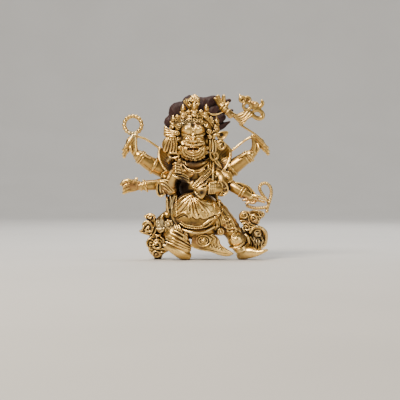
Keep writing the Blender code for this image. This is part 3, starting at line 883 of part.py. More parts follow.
def right_cluster(c):
    """Scarf ends at the right, rising from behind the foot."""
    c.tube([(44, 4, 12), (50, 8, 17), (53, 8, 26), (53, 6, 36), (53, 4, 42)], [5, 6, 5, 5.5, 5],
           [4, 4, 3.6, 4, 4])
    c.pillow([(43.6, 46.4), (47.4, 49.6), (53.6, 49.0), (58.6, 50.2), (63.4, 49.8), (68.6, 47.4),
              (68.8, 43.6), (64.8, 40.4), (63.6, 36.8), (60.4, 33.4), (57.0, 28.4), (52.6, 26.6),
              (48.4, 27.4), (46.8, 31.2), (47.6, 34.4), (44.2, 38.0), (43.2, 41.4)], 0.6, 4.6)
    c.curl((48.6, -4.2, 44.8), 3.2, 1.3, 0.95, angle=150)
    c.curl((57.4, -4.6, 41.0), 4.0, 1.4, 1.0, angle=-60)
    for line, wide in (
        ([(52.4, 48.6), (54.4, 45.0), (58.6, 45.8), (62.6, 43.6), (66.6, 43.4), (68.0, 46.0)], 0.9),
        ([(61.2, 49.4), (63.0, 46.6), (62.6, 43.8)], 0.6),
        ([(63.6, 49.0), (65.2, 46.4), (65.0, 43.6)], 0.6), ([(66.0, 48.4), (67.4, 46.0)], 0.6),
        ([(44.2, 38.8), (48.0, 39.4), (51.6, 37.6), (55.2, 36.4), (58.8, 34.0)], 0.9),
        ([(46.0, 36.0), (49.6, 37.0), (53.6, 34.6), (56.6, 31.6)], 0.75),
        ([(47.8, 33.6), (50.6, 34.4), (53.0, 32.0), (51.2, 29.8), (48.4, 30.4)], 0.8),
        ([(60.4, 37.6), (57.4, 34.4), (53.8, 29.6)], 0.8),
    ):
        c.tube([(x, -3.9, z) for x, z in line], [0.7 * wide] + [wide] * (len(line) - 2) + [0.7 * wide],
               sides=8)
    rim = [(54.0, -3, 27.6), (57.0, -3.4, 31.4), (61.4, -3.6, 32.8), (66.2, -3.2, 31.2), (69.8, -2, 27.2),
           (70.6, 0, 21.0), (69.0, 0, 15.0), (65.0, 0, 11.6)]
    c.tube(rim, [1.4, 1.7, 1.9, 1.9, 1.8, 1.7, 1.6, 1.4], [1.6, 1.8, 2.0, 2.0, 1.9, 1.8, 1.6, 1.5])
    c.pillow([(52.6, 25), (56, 31), (61.4, 33.4), (67.4, 31.2), (70.6, 25), (70.2, 17), (66, 10.6),
              (60, 8.6), (54.6, 11.6), (51.8, 18)], 5.0, 2.6, lean=-0.05)
    c.curl((62, -1.8, 26.2), 3.7, 1.4, 1.0, angle=60)
    c.tube([(62, 5, 26.2), (62, -1.0, 26.2)], [3.4, 2.4])
    for i in range(3):
        c.tube([(55.0 + 3.6 * i, 2.2, 22.6 - i), (58 + 3.4 * i, 1.4, 18 - 0.8 * i),
                (60.4 + 3 * i, 2, 12.8)], [1.1, 1.5, 1.1], sides=8)
    c.tube([(65.4, 0.8, 23), (67.0, 0.4, 19), (65.6, 0.8, 14)], [0.8, 1.1, 0.8], sides=8)
    c.tube([(49.6, -3.6, 25.4), (51.8, -4.4, 22), (53.0, -3.4, 17)], [1.5, 1.9, 1.4])
    c.tube([(48, 0, 31), (47, 0, 26), (49, 0, 20)], [3, 3, 3])


BODY_PARTS = (torso, arms, hands, feet)
HEAD_PARTS = (head, hairline)
JEWEL_PARTS = (crown, ear_bows, collar, armlets)
HAIR_PARTS = (hair,)
DRESS_PARTS = (hide, sash, chest_hands, sleeves, apron, flap, trousers, hip_flowers)
SCARF_PARTS = (left_cluster, right_cluster)


def heap(parts):
    c = Clay()
    for part in parts:
        part(c)
    return c


def figure():
    return heap(BODY_PARTS + HEAD_PARTS + JEWEL_PARTS + HAIR_PARTS + DRESS_PARTS + SCARF_PARTS)


# Held pieces

def trident(grow=0.0):
    c = Clay()
    y = -6
    c.tube([(44, y, 135.2), (50.3, y, 131.2), (56, y - 0.6, 127.6), (61, y - 1.4, 124), (64.8, y - 2, 120),
            (68, y - 2.6, 115.8)],
           [STAFF_RADIUS + grow] * 4 + [STAFF_RADIUS - 0.05 + grow, STAFF_RADIUS - 0.15 + grow])
    if grow:
        return c
    for path, wide in [
        ([(26, y, 152), (23.8, y, 157), (21.8, y, 163.6)], [2.6, 2.9, 2.0]),
        ([(27, y, 152), (27.4, y, 158), (27.7, y, 163.8)], [2.3, 2.3, 1.8]),
        ([(25, y, 151), (23.4, y, 154.6), (21.4, y, 158), (18.8, y, 161)], [2.1, 2.0, 1.8, 1.3]),
        ([(28, y, 152), (30, y, 154.6), (32.0, y, 156.6)], [2.4, 2.3, 1.6]),
    ]:
        c.tube(path, wide, 1.5, sides=10)
        c.tube([(p[0], p[1] - 1.3, p[2]) for p in path], 0.5, sides=8)
    grip = [(25.6, y, 154), (30, y, 149.6), (35, y, 144.6)]
    c.tube(grip, [3.6, 3.3, 3.8], 2.9)
    bands_round(c, grip, [0.06, 0.3, 0.42, 0.66], 3.2, 0.8)
    c.ball((30.4, y - 2.6, 149.8), (1.6, 1.0, 1.6), sides=10)
    c.pillow([(33.0, 148.0), (34.8, 144.8), (38.4, 141.0), (42.4, 137.0), (45.6, 133.9), (48.4, 136.2),
              (51.8, 140.2), (56.4, 143.2), (58.4, 146.0), (56.0, 149.0), (51, 149.6), (46.6, 148.4),
              (40.6, 145.6), (37.0, 147.4)], y, 1.9)
    for line in ([(35.4, 146.2), (41, 143.8), (45.8, 145.4), (47.8, 148.2)],
                 [(36.4, 144.0), (42.6, 141.8), (48.2, 144.0), (51.2, 148.0)],
                 [(38.2, 142.0), (44, 139.8), (50, 142.4), (54.2, 147.0)],
                 [(40.4, 139.8), (45.4, 137.8), (50.6, 140.8), (56.2, 145.2)],
                 [(42.8, 137.4), (46.2, 135.8), (49.6, 138.4)]):
        c.tube([(x, y - 1.7, z) for x, z in line], [0.5] + [0.85] * (len(line) - 2) + [0.6], sides=8)
    for at, radius, half, fill in [((46.3, 160.4), 2.6, 1.4, 2.2), ((51.2, 159.7), 2.9, 1.5, 2.4),
                                   ((50.9, 153.6), 3.5, 1.75, 0.0)]:
        hoop = hooped((at[0], y - 1, at[1]), radius, radius, 10)
        c.tube(hoop, half, 1.6, closed=True, steps=2, sides=8)
        if fill:
            c.ball((at[0], y - 0.4, at[1]), (fill, 0.9, fill), sides=10)
    c.tube([(45, y - 1, 161.6), (43.4, y - 1, 165.0)], [2.0, 0.8])
    c.tube([(50, y, 146), (50.8, y, 150.4)], [3.6, 2.6], 1.7)
    c.tube([(54, y, 152.4), (57.6, y, 153.6)], [2.3, 2.8], 1.7)
    c.ball((59.6, y - 0.4, 155.0), (3.2, 2.2, 3.4), sides=14)
    c.ball((56.8, y - 0.2, 157.0), (2.4, 1.9, 2.0), sides=12)
    c.ball((58.8, y, 151.4), (2.6, 1.8, 2.8), sides=12)
    c.tube([(60.6, y, 151.4), (64.2, y, 153.2), (66.4, y, 156.4), (65.8, y, 159.4)], [1.9, 2.1, 2.0, 1.2],
           1.5)
    c.tube([(58, y, 149.4), (62.4, y, 149.7), (66.0, y, 147.0), (66.4, y, 143.0), (63.3, y, 141.3),
            (59.6, y, 142.3), (56.6, y, 144.6)], [2.2, 2.1, 2.2, 2.3, 2.3, 2.2, 2.2], 1.7)
    return c


def rosary(grow=0.0):
    c = Clay()
    x, y, z = ROSARY_CENTRE
    ring = []
    for i in range(ROSARY_BEADS):
        a = 2 * math.pi * i / ROSARY_BEADS
        at = (x + ROSARY_RADIUS * math.cos(a), y, z + ROSARY_RADIUS * math.sin(a))
        ring.append(at)
        c.ball(at, (ROSARY_BEAD + grow, 2.0 + grow, ROSARY_BEAD + grow), sides=10)
    c.tube(ring, 1.5 + grow, closed=True, steps=2, sides=8)
    return c


def noose(grow=0.0):
    c = Clay()
    low = [(51.4, -7.6, 54.2), (55.6, -8, 52.6), (60, -8, 52), (66, -8, 52.2), (70.4, -7.6, 53)]
    loop = [(70.8, -7.4, 49), (71.6, -7.4, 53.4), (73.4, -7.4, 59), (74.8, -7.4, 64.4), (75.0, -7.4, 69.6),
            (73.2, -7.4, 74.4), (69, -7.4, 77),
            (64.8, -7.4, 75.4), (63.4, -7.4, 71.6), (65.6, -7.2, 66.6), (69.4, -6.8, 61.4),
            (72.6, -6.6, 57.6)]
    for path in (low, loop):
        c.tube(path, ROPE_RADIUS + grow, sides=8)
        c.row(path, ROPE_RADIUS + 0.35 + grow, 2.3)
    c.ball((70.8, -7.4, 48.8), 1.7 + grow)
    return c


# Making the solids

def baked(thing, name):
    """A new plain object with the shape that a thing's modifiers give it."""
    graph = bpy.context.evaluated_depsgraph_get()
    mesh = bpy.data.meshes.new_from_object(thing.evaluated_get(graph))
    mesh.name = name
    made = bpy.data.objects.new(name, mesh)
    bpy.context.scene.collection.objects.link(made)
    held = thing.data
    bpy.data.objects.remove(thing)
    bpy.data.meshes.remove(held)
    return made


def largest_body(thing):
    """Keeps the one connected body and drops crumbs that are not joined to it."""
    work = bmesh.new()
    work.from_mesh(thing.data)
    work.verts.ensure_lookup_table()
    seen = np.zeros(len(work.verts), bool)
    best = []
    for start in work.verts:
        if seen[start.index]:
            continue
        seen[start.index] = True
        group = [start]
        stack = [start]
        while stack:
            for edge in stack.pop().link_edges:
                for vert in edge.verts:
                    if not seen[vert.index]:
                        seen[vert.index] = True
                        stack.append(vert)
                        group.append(vert)
        if len(group) > len(best):
            best = group
    keep = {vert.index for vert in best}
    bmesh.ops.delete(work, geom=[v for v in work.verts if v.index not in keep], context="VERTS")
    work.to_mesh(thing.data)
    work.free()
    return thing


def fused(clay, name, triangles, soften=2):
    heap = clay.object(name + "_heap")
    fuse = heap.modifiers.new("Fuse", "REMESH")
    fuse.mode = "VOXEL"
    fuse.voxel_size = VOXEL * MM
    soft = heap.modifiers.new("Soften", "SMOOTH")
    soft.factor = 0.5
    soft.iterations = soften
    whole = largest_body(baked(heap, name + "_whole"))
    thin = whole.modifiers.new("Thin", "DECIMATE")
    thin.ratio = triangles / (2 * len(whole.data.polygons))
    return baked(whole, name)


def painted(name, colour, rough):
    material = bpy.data.materials.new(name)
    material.use_nodes = True
    shader = material.node_tree.nodes["Principled BSDF"]
    shader.inputs["Base Color"].default_value = (*colour, 1)
    shader.inputs["Metallic"].default_value = 1.0
    shader.inputs["Roughness"].default_value = rough
    return material


def cut(thing, cutter, name):
    """Takes a cutter out of a solid with an exact Boolean that stays live."""
    cutter.hide_render = True
    cutter.display_type = "WIRE"
    bite = thing.modifiers.new(name, "BOOLEAN")
    bite.operation = "DIFFERENCE"
    bite.solver = "EXACT"
    bite.object = cutter


def ground():
    """A block under the floor, which leaves the soles flat."""
    c = Clay()
    c.rings([[(x, y, z) for x, y in ((-90, -60), (90, -60), (90, 60), (-90, 60))] for z in (-12, 0)])
    return c.object("ground")


def main():
    for thing in list(bpy.data.objects):
        bpy.data.objects.remove(thing)
    body = fused(figure(), "figure", FIGURE_TRIANGLES)
    cut(body, ground(), "Soles")
    cut(body, fused(rosary(SEAT_CLEARANCE), "rosary_seat", 500), "RosarySeat")
    cut(body, fused(noose(SEAT_CLEARANCE), "noose_seat", 500), "NooseSeat")
    cut(body, fused(trident(SEAT_CLEARANCE), "staff_seat", 200), "StaffSeat")
    made = [
        (body, (0.80, 0.55, 0.23)),
        (fused(trident(), "trident", TRIDENT_TRIANGLES), (0.82, 0.58, 0.25)),
        (fused(rosary(), "rosary", ROSARY_TRIANGLES), (0.78, 0.55, 0.26)),
        (fused(noose(), "noose", NOOSE_TRIANGLES), (0.80, 0.57, 0.25)),
    ]
    for thing, colour in made:
        thing.data.materials.clear()
        thing.data.materials.append(painted(thing.name + "_gilt", colour, 0.34))
        thing.data.polygons.foreach_set("use_smooth", np.ones(len(thing.data.polygons), bool))


main()
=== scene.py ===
"""Standing six-armed wrathful guardian in gilt bronze: the fine casting, its finish and its studio."""

import json
import math

import bmesh
import bpy
import numpy as np
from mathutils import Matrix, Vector

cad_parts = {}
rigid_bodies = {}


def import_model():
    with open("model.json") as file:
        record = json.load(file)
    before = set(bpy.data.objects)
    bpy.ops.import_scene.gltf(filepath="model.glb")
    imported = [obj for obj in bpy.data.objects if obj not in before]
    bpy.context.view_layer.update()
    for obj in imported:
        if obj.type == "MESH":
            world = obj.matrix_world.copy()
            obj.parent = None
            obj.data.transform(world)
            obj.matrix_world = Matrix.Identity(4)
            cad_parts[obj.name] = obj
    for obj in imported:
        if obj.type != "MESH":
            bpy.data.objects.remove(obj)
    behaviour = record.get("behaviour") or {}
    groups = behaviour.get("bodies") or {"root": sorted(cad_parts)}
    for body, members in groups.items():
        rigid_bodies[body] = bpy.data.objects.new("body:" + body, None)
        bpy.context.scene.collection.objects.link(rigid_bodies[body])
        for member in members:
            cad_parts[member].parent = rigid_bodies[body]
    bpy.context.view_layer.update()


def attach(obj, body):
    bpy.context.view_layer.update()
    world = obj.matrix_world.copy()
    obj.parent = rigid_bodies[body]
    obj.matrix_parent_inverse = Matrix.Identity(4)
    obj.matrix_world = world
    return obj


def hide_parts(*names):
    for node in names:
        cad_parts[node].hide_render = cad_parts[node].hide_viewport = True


for thing in list(bpy.data.objects):
    bpy.data.objects.remove(thing)
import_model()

# Lengths are in millimetres until a mesh is made. X is to the right, Y is to the back, Z is up.
MM = 0.001
FINENESS = 2
MIDDLE_TO_ORIGIN = (-0.63, 3.85, 0.0)

HEAD = (-2.2, -7.0, 119.0)
BELLY = (0.0, -7.0, 47.5)
BELLY_RADII = (24.6, 16.6, 21.4)
FOREARM_RADIUS = 5.2
STRIP_RADIUS = 1.2
ROSARY_CENTRE = (-63.1, -1.5, 135.2)
ROSARY_RADIUS = 8.7
ROSARY_BEAD = 2.25
ROSARY_BEADS = 16
ROPE_RADIUS = 1.45
STAFF_RADIUS = 1.1


def unit(rows):
    rows = np.asarray(rows, float)
    return rows / np.maximum(np.linalg.norm(rows, axis=-1, keepdims=True), 1e-9)


def through(rows, count, closed=False):
    """A smooth run of values that passes through the given rows."""
    rows = np.asarray(rows, float)
    if rows.ndim == 1:
        rows = rows[:, None]
    if len(rows) == 1:
        return np.repeat(rows, count, axis=0)
    if closed:
        rows = np.vstack([rows[-1:], rows, rows[:2]])
    else:
        rows = np.vstack([2 * rows[0] - rows[1], rows, 2 * rows[-1] - rows[-2]])
    spans = len(rows) - 3
    t = np.linspace(0, spans, count, endpoint=not closed)
    i = np.minimum(t.astype(int), spans - 1)
    u = (t - i)[:, None]
    a, b, c, d = rows[i], rows[i + 1], rows[i + 2], rows[i + 3]
    return 0.5 * (2 * b + (c - a) * u + (2 * a - 5 * b + 4 * c - d) * u**2 + (3 * b - a - 3 * c + d) * u**3)


def along(line, closed=False):
    """The direction of travel at each point of a line."""
    if closed:
        return unit(np.roll(line, -1, axis=0) - np.roll(line, 1, axis=0))
    return unit(np.gradient(line, axis=0))


def hooped(at, wide, high, count=12):
    """Points round an upright hoop."""
    x, y, z = at
    angles = np.linspace(0, 2 * math.pi, count, endpoint=False)
    return [(x + wide * math.cos(a), y, z + high * math.sin(a)) for a in angles]


def sides_of(tangent, face):
    """Unit vectors across a band and out of its broad side."""
    normal = unit(face - (face * tangent).sum(1, keepdims=True) * tangent)
    return np.cross(tangent, normal), normal


def turned(degrees):
    """The matrix of turns about X, then Y, then Z."""
    x, y, z = np.radians(degrees)
    rx = np.array([[1, 0, 0], [0, math.cos(x), -math.sin(x)], [0, math.sin(x), math.cos(x)]])
    ry = np.array([[math.cos(y), 0, math.sin(y)], [0, 1, 0], [-math.sin(y), 0, math.cos(y)]])
    rz = np.array([[math.cos(z), -math.sin(z), 0], [math.sin(z), math.cos(z), 0], [0, 0, 1]])
    return rz @ ry @ rx


class Clay:
    """A heap of overlapping closed shells, which are later fused into one body."""

    def __init__(self):
        self.points = []
        self.faces = []
        self.size = 0

    def add(self, points, faces):
        self.points.append(np.asarray(points, float))
        self.faces += [tuple(int(i) + self.size for i in face) for face in faces]
        self.size += len(points)

    def object(self, name):
        mesh = bpy.data.meshes.new(name)
        points = np.concatenate(self.points) + MIDDLE_TO_ORIGIN
        mesh.from_pydata((points * MM).tolist(), [], self.faces)
        made = bpy.data.objects.new(name, mesh)
        bpy.context.scene.collection.objects.link(made)
        return made

    def rings(self, rings, closed=False):
        """A shell over a stack of rings of points, with its ends filled."""
        rings = np.asarray(rings)
        count, around = rings.shape[:2]
        faces = []
        for i in range(count if closed else count - 1):
            here = i * around
            there = ((i + 1) % count) * around
            for j in range(around):
                k = (j + 1) % around
                faces.append((here + j, here + k, there + k, there + j))
        points = rings.reshape(-1, 3)
        if not closed:
            ends = [rings[0].mean(0), rings[-1].mean(0)]
            low, high = len(points), len(points) + 1
            last = (count - 1) * around
            for j in range(around):
                k = (j + 1) % around
                faces.append((low, k, j))
                faces.append((high, last + j, last + k))
            points = np.vstack([points, ends])
        self.add(points, faces)

    def ball(self, centre, radii, turn=(0, 0, 0), sides=16):
        """An ellipsoid."""
        sides = FINENESS * sides
        radii = np.broadcast_to(np.asarray(radii, float), (3,))
        polar = np.linspace(0, math.pi, sides // 2 + 1)[1:-1]
        angle = np.linspace(0, 2 * math.pi, sides, endpoint=False)
        x = np.sin(polar)[:, None] * np.cos(angle)
        y = np.sin(polar)[:, None] * np.sin(angle)
        z = np.repeat(-np.cos(polar)[:, None], sides, axis=1)
        shape = np.stack([x, y, z], axis=-1) * radii
        self.rings(shape @ turned(turn).T + np.asarray(centre, float))

    def tube(self, path, wide, thick=None, face=(0, -1, 0), sides=12, steps=6, closed=False, square=1.0):
        """A swept limb, cord or band. wide and thick are half sizes, face is where the thin side looks."""
        path = np.asarray(path, float)
        sides, steps = FINENESS * sides, FINENESS * steps
        count = steps * (len(path) if closed else len(path) - 1) + (0 if closed else 1)
        line = through(path, count, closed)
        wide = through(np.atleast_1d(wide), count, closed)[:, 0]
        thick = wide if thick is None else through(np.atleast_1d(thick), count, closed)[:, 0]
        wide = np.maximum(wide, 0.15)
        thick = np.maximum(thick, 0.15)
        tangent = along(line, closed)
        face = through(np.atleast_2d(np.asarray(face, float)), count, closed)
        across, normal = sides_of(tangent, face)
        if not closed:
            reach = np.minimum(wide, thick)
            bend = np.radians([84, 66, 45, 22])
            head = [line[0] - tangent[0] * reach[0] * math.sin(a) for a in bend]
            tail = [line[-1] + tangent[-1] * reach[-1] * math.sin(a) for a in bend[::-1]]
            line = np.vstack([head, line, tail])
            shrink = np.cos(bend)
            wide = np.concatenate([wide[0] * shrink, wide, wide[-1] * shrink[::-1]])
            thick = np.concatenate([thick[0] * shrink, thick, thick[-1] * shrink[::-1]])
            across = np.vstack([across[:1]] * 4 + [across] + [across[-1:]] * 4)
            normal = np.vstack([normal[:1]] * 4 + [normal] + [normal[-1:]] * 4)
        angle = np.linspace(0, 2 * math.pi, sides, endpoint=False)
        c = np.sign(np.cos(angle)) * np.abs(np.cos(angle)) ** square
        s = np.sign(np.sin(angle)) * np.abs(np.sin(angle)) ** square
        ring = line[:, None] + across[:, None] * (wide[:, None] * c)[..., None]
        self.rings(ring + normal[:, None] * (thick[:, None] * s)[..., None], closed)

    def slab(self, grid, half):
        """A closed plate on a grid of points, with its half thickness at each point."""
        grid = np.asarray(grid, float)
        normal = unit(np.cross(np.gradient(grid, axis=0), np.gradient(grid, axis=1)))
        half = np.broadcast_to(np.asarray(half, float), grid.shape[:2])[..., None]
        rows, cols = grid.shape[:2]
        points = np.concatenate([(grid + normal * half).reshape(-1, 3),
                                 (grid - normal * half).reshape(-1, 3)])
        index = np.arange(rows * cols).reshape(rows, cols)
        other = index + rows * cols
        faces = []
        for i in range(rows - 1):
            for j in range(cols - 1):
                faces.append((index[i, j], index[i + 1, j], index[i + 1, j + 1], index[i, j + 1]))
                faces.append((other[i, j], other[i, j + 1], other[i + 1, j + 1], other[i + 1, j]))
        edge = np.concatenate([index[0, :-1], index[:-1, -1], index[-1, :0:-1], index[:0:-1, 0]])
        turn = np.roll(edge, -1)
        for a, b in zip(edge, turn):
            faces.append((a, b, b + rows * cols, a + rows * cols))
        self.add(points, faces)

    def leaf(self, path, wide, face=(0, -1, 0), half=0.9, cup=0.0, rim=0.0, folds=0, deep=0.0, cols=9,
             steps=5):
        """A cast cloth or leaf shape: a band along path that may be hollow, rimmed and folded."""
        count = steps * (len(path) - 1) + 1
        line = through(path, count)
        wide = np.maximum(through(np.atleast_1d(wide), count)[:, 0], 0.2)
        tangent = along(line)
        face = through(np.atleast_2d(np.asarray(face, float)), count)
        across, normal = sides_of(tangent, face)
        v = np.linspace(-1, 1, cols)
        lift = cup * wide[:, None] * v**2 + deep * np.cos(math.pi * folds * v)
        grid = line[:, None] + across[:, None] * (wide[:, None] * v)[..., None]
        grid = grid + normal[:, None] * lift[..., None]
        self.slab(grid, half * (1 + rim * v**4)[None] * np.ones((count, 1)))

    def pillow(self, outline, y, half, lean=0.0):
        """A soft mass with a closed outline of X and Z points, half its depth, and a lean in Y."""
        edge = through(outline, 6 * FINENESS * len(outline), closed=True)
        middle = edge.mean(0)
        rings = []
        for angle in np.radians(np.linspace(-88, 88, 9 + 4 * FINENESS)):
            flat = middle + (edge - middle) * math.cos(angle) ** 0.6
            depth = y + lean * (flat[:, 0] - middle[0]) - half * math.sin(angle)
            rings.append(np.stack([flat[:, 0], depth, flat[:, 1]], axis=1))
        self.rings(rings)

    def row(self, path, radius, spacing, closed=False, squash=1.0):
        """Beads set evenly along a line."""
        line = through(path, 40 * len(path), closed)
        if closed:
            line = np.vstack([line, line[:1]])
        run = np.concatenate([[0], np.cumsum(np.linalg.norm(np.diff(line, axis=0), axis=1))])
        count = max(2, round(run[-1] / spacing) + (0 if closed else 1))
        for s in np.linspace(0, run[-1], count, endpoint=not closed):
            spot = [np.interp(s, run, line[:, k]) for k in range(3)]
            self.ball(spot, (radius, radius * squash, radius), sides=8)

    def curl(self, centre, start, turns, wide, angle=0.0, tight=0.25, thick=None, lean=(0, 0, 0)):
        """A flat spiral coil that faces the front."""
        t = np.linspace(0, 1, 5 + int(10 * abs(turns)))
        radius = start * (1 - (1 - tight) * t)
        phase = math.radians(angle) + 2 * math.pi * turns * t
        flat = np.stack([radius * np.cos(phase), -0.8 * t, radius * np.sin(phase)], axis=1)
        self.tube(flat @ turned(lean).T + np.asarray(centre, float), wide, thick, steps=2, sides=8)


def bands_round(clay, path, spots, radius, wide):
    """Plain bands around a limb at the given parts of its length."""
    line = through(path, 101)
    tangent = along(line)
    for spot in spots:
        at = line[int(spot * 100)]
        t = tangent[int(spot * 100)]
        side = unit(np.cross(t, (0, -1, 0.01)))
        other = np.cross(t, side)
        angle = np.linspace(0, 2 * math.pi, 16, endpoint=False)[:, None]
        hoop = at + radius * (np.cos(angle) * side + np.sin(angle) * other)
        clay.tube(hoop, wide, closed=True, steps=2, sides=8, face=t)


# Body

def on_belly(x, z, lift=0.0):
    """The point of the belly's front at x and z, raised by lift."""
    u = (x - BELLY[0]) / BELLY_RADII[0]
    v = (z - BELLY[2]) / BELLY_RADII[2]
    bulge = math.sqrt(max(0.02, 1 - min(0.98, u * u + v * v)))
    return (x, BELLY[1] - (BELLY_RADII[1] + lift) * bulge, z)


def torso(c):
    c.ball((0, 1, 88), (19, 10.5, 15))
    c.ball((0, 0, 72), (17, 10, 13))
    c.ball(BELLY, BELLY_RADII, sides=32)
    c.ball((0, 4, 44), (23, 12, 18))
    c.tube([(-2, -1, 94), (-2.5, -3, 106)], 8.5)
    for x in (-20, 21):
        c.ball((x, 3, 87), (8.5, 8, 9))
    for side in (-1, 1):
        c.ball((8.0 * side, -4.4, 87), (9.4, 6.4, 7.4))


LEFT_ARM = [(-20, 6, 84.6), (-32, 6, 89.6), (-41, 5, 93.8), (-48.5, 4, 98.0), (-57, 2, 104)]
RIGHT_ARM = [(21, 6, 85), (30, 6, 88), (38, 5, 93.6), (46, 4, 99.4), (54.4, 2, 105)]
MIDDLE_LEFT = [(-24, 2, 84), (-32, -1, 77.4), (-40, -4, 75.2), (-49, -6, 74.6), (-56, -7, 73.6)]
MIDDLE_RIGHT = [(24, 2, 82), (33, -1, 76), (40, -5, 71.6), (47, -7.6, 67.2), (53.6, -9, 63.2)]


def finger(c, path, wide):
    """A finger along a path, with a knuckle at each bend."""
    c.tube(path, [wide, wide * 1.05, wide * 0.92, wide * 0.85][: len(path)], sides=10)
    for at in path[1:-1]:
        c.ball(at, wide * 1.16, sides=8)


def raised_hand(c, side, wrist, top, tip):
    """A hand lifted above its wrist and folded outward, with the finger ends hanging."""
    wx, wz = wrist
    tx, tz = top
    dx, dz = tip[0] - tx, tip[1] - tz
    reach = math.hypot(dx, dz)
    ux, uz = dx / reach, dz / reach
    nx, nz = uz * side, -ux * side
    c.tube([(wx - 0.6 * side, 1, wz - 1), (wx - 0.6 * side, 0, wz + 6), (tx - 0.4 * side, -0.5, tz)],
           [3.9, 2.7, 1.5], [3.8, 3.2, 1.7])
    c.ball((wx + 1.2 * side, 0.2, wz + 7.6), (3.0, 2.8, 6.4), (0, 14 * side, 0))
    c.ball((tx + 0.12 * dx, -0.6, tz + 0.16 * dz), (3.4, 2.4, 3.6))
    for i, end in enumerate((0.78, 0.92, 1.0)):
        off = 1.9 * (i - 1.0)
        y = -2.6 + 1.3 * i
        path = []
        for share, drop in ((0.06, 0.6), (0.46, -1.0), (0.76, -1.2), (1.0, 0.4)):
            s = share * end * reach
            path.append((tx + ux * s + nx * off, y + drop, tz + uz * s + nz * off))
        finger(c, path, 1.6)
        c.ball(path[-1], 1.85, sides=10)
    c.tube([(tx - 0.5 * side, -1.5, tz + 0.4), (tx + 0.40 * dx + 1.4 * side, -2.4, tz + 0.20 * dz),
            (tx + 0.62 * dx + 1.0 * side, -2.8, tz + 0.48 * dz)], [2.0, 1.7, 1.2], sides=10)
    c.tube([(wx + 2.6 * side, -1.6, wz + 6.4), (wx + 3.6 * side, -3.0, wz + 2.6),
            (wx + 2.6 * side, -3.4, wz - 0.6)], [1.6, 1.7, 1.3], sides=10)


def arms(c):
    c.tube(LEFT_ARM, [7.8, 8.0, 7.9, 7.2, 6.0], sides=20)
    c.tube(RIGHT_ARM, [7.8, 8.2, 7.8, 6.9, 5.5], sides=20)
    c.tube([(-57, 2, 104), (-60.5, 1.5, 107.4), (-62, 1, 110)], [4.9, 4.0, 3.6])
    c.tube([(54.4, 2, 105), (58, 1.5, 108), (58.4, 1, 111)], [4.9, 4.0, 3.6])
    c.tube(MIDDLE_LEFT, [6.5, 5.8, FOREARM_RADIUS, 5.0, 4.0], sides=16)
    c.tube(MIDDLE_RIGHT, [6.5, 5.9, 5.5, 4.9, 4.0], sides=16)
    for side in (-1, 1):
        c.tube([(20 * side, 0, 86), (26 * side, -4, 80), (25 * side, -9, 71)], [7.4, 7, 6.4])
    c.tube([(24, -10, 72), (19, -16, 71), (13, -20, 72)], [6.0, 4.8, 3.8])
    c.tube([(-25, -8, 71), (-23, -14.6, 80), (-19.4, -19, 88)], [6.0, 4.4, 3.6])


def hands(c):
    raised_hand(c, -1, (-62.0, 109), (-60.6, 125.0), (-73.6, 104.6))
    raised_hand(c, 1, (59.2, 109.6), (57.2, 123.6), (73.6, 107.6))
    c.ball((-62.4, -7.8, 74.6), (7.0, 3.8, 6.2), (0, 4, 0))
    c.ball((-64.6, -9.6, 76.8), (3.2, 1.8, 1.8))
    finger(c, [(-63, -9, 78.0), (-67.6, -9.6, 79.4), (-71.8, -9.6, 78.0), (-74.2, -9.6, 75.6)], 1.95)
    finger(c, [(-65, -9.4, 75.4), (-69.0, -10.4, 75.0), (-71.6, -10.8, 73.0)], 1.8)
    finger(c, [(-65, -9.0, 72.6), (-69.0, -10.0, 71.6), (-71.6, -10.4, 69.8)], 1.75)
    finger(c, [(-63, -8.4, 69.8), (-68.4, -9.2, 68.8), (-72.0, -9.4, 67.0)], 1.65)
    finger(c, [(-57, -9, 77.6), (-60.4, -10.6, 79.8), (-58.6, -10.8, 81.4)], 1.3)
    c.ball((57.4, -8, 61.8), (5.6, 3.4, 3.8), (0, 28, 0))
    finger(c, [(55, -10, 64.6), (60, -12, 64.0), (65.6, -12, 62.0), (69.4, -11.6, 60.2)], 1.6)
    finger(c, [(58, -5, 60.6), (62.4, -4.4, 59.4), (66.6, -4.2, 58.4), (68.4, -4.4, 57.8)], 1.3)
    finger(c, [(54, -10, 61.2), (50.4, -11, 60.6), (47.0, -10.6, 60.0)], 1.45)
    finger(c, [(56, -10, 59.6), (53, -11, 57.9), (49.8, -10.6, 56.8)], 1.4)
    finger(c, [(59, -10, 59), (58, -11.4, 57.6), (55.4, -11.2, 56.8)], 1.35)


def feet(c):
    c.tube([(-9.8, -5.0, 4.6), (-14.6, -8, 7.2), (-22, -11, 11.2), (-28.0, -13, 14.0), (-32.2, -14, 15.4)],
           [5.4, 6.0, 4.9, 3.2, 1.4],
           [5.6, 6.0, 4.9, 3.2, 1.5], sides=16)
    c.ball((-10.8, -4.2, 4.4), (5.4, 5.8, 4.7))
    c.tube([(47.0, -0.5, 6.2), (51, -3, 7.6), (56.5, -6, 7.8), (62, -9, 7.8), (70.6, -11, 10.2)],
           [6.4, 6.6, 5.5, 3.2, 1.2],
           [6.0, 6.2, 5.2, 3.0, 1.3], sides=16)
    c.ball((46.2, 0.4, 4.9), (5.8, 6.2, 5.4))
    for i in range(4):
        c.tube([(-24 + 0.8 * i, -13.6 + 2.2 * i, 13.4 - 0.5 * i),
                (-29.0 + 0.8 * i, -14.8 + 2.0 * i, 14.8 - 0.4 * i),
                (-31.4 + 1.0 * i, -14.6 + 2.0 * i, 15.2 - 0.6 * i)], [1.5, 1.4, 1.1], sides=8)
        c.tube([(61 - 0.8 * i, -10.4 + 2.0 * i, 8.0 - 0.2 * i),
                (66 - 0.8 * i, -11.6 + 1.9 * i, 9.2 - 0.4 * i),
                (70 - 1.2 * i, -11.8 + 1.9 * i, 10.4 - 0.5 * i)], [1.5, 1.4, 1.1], sides=8)


# Head

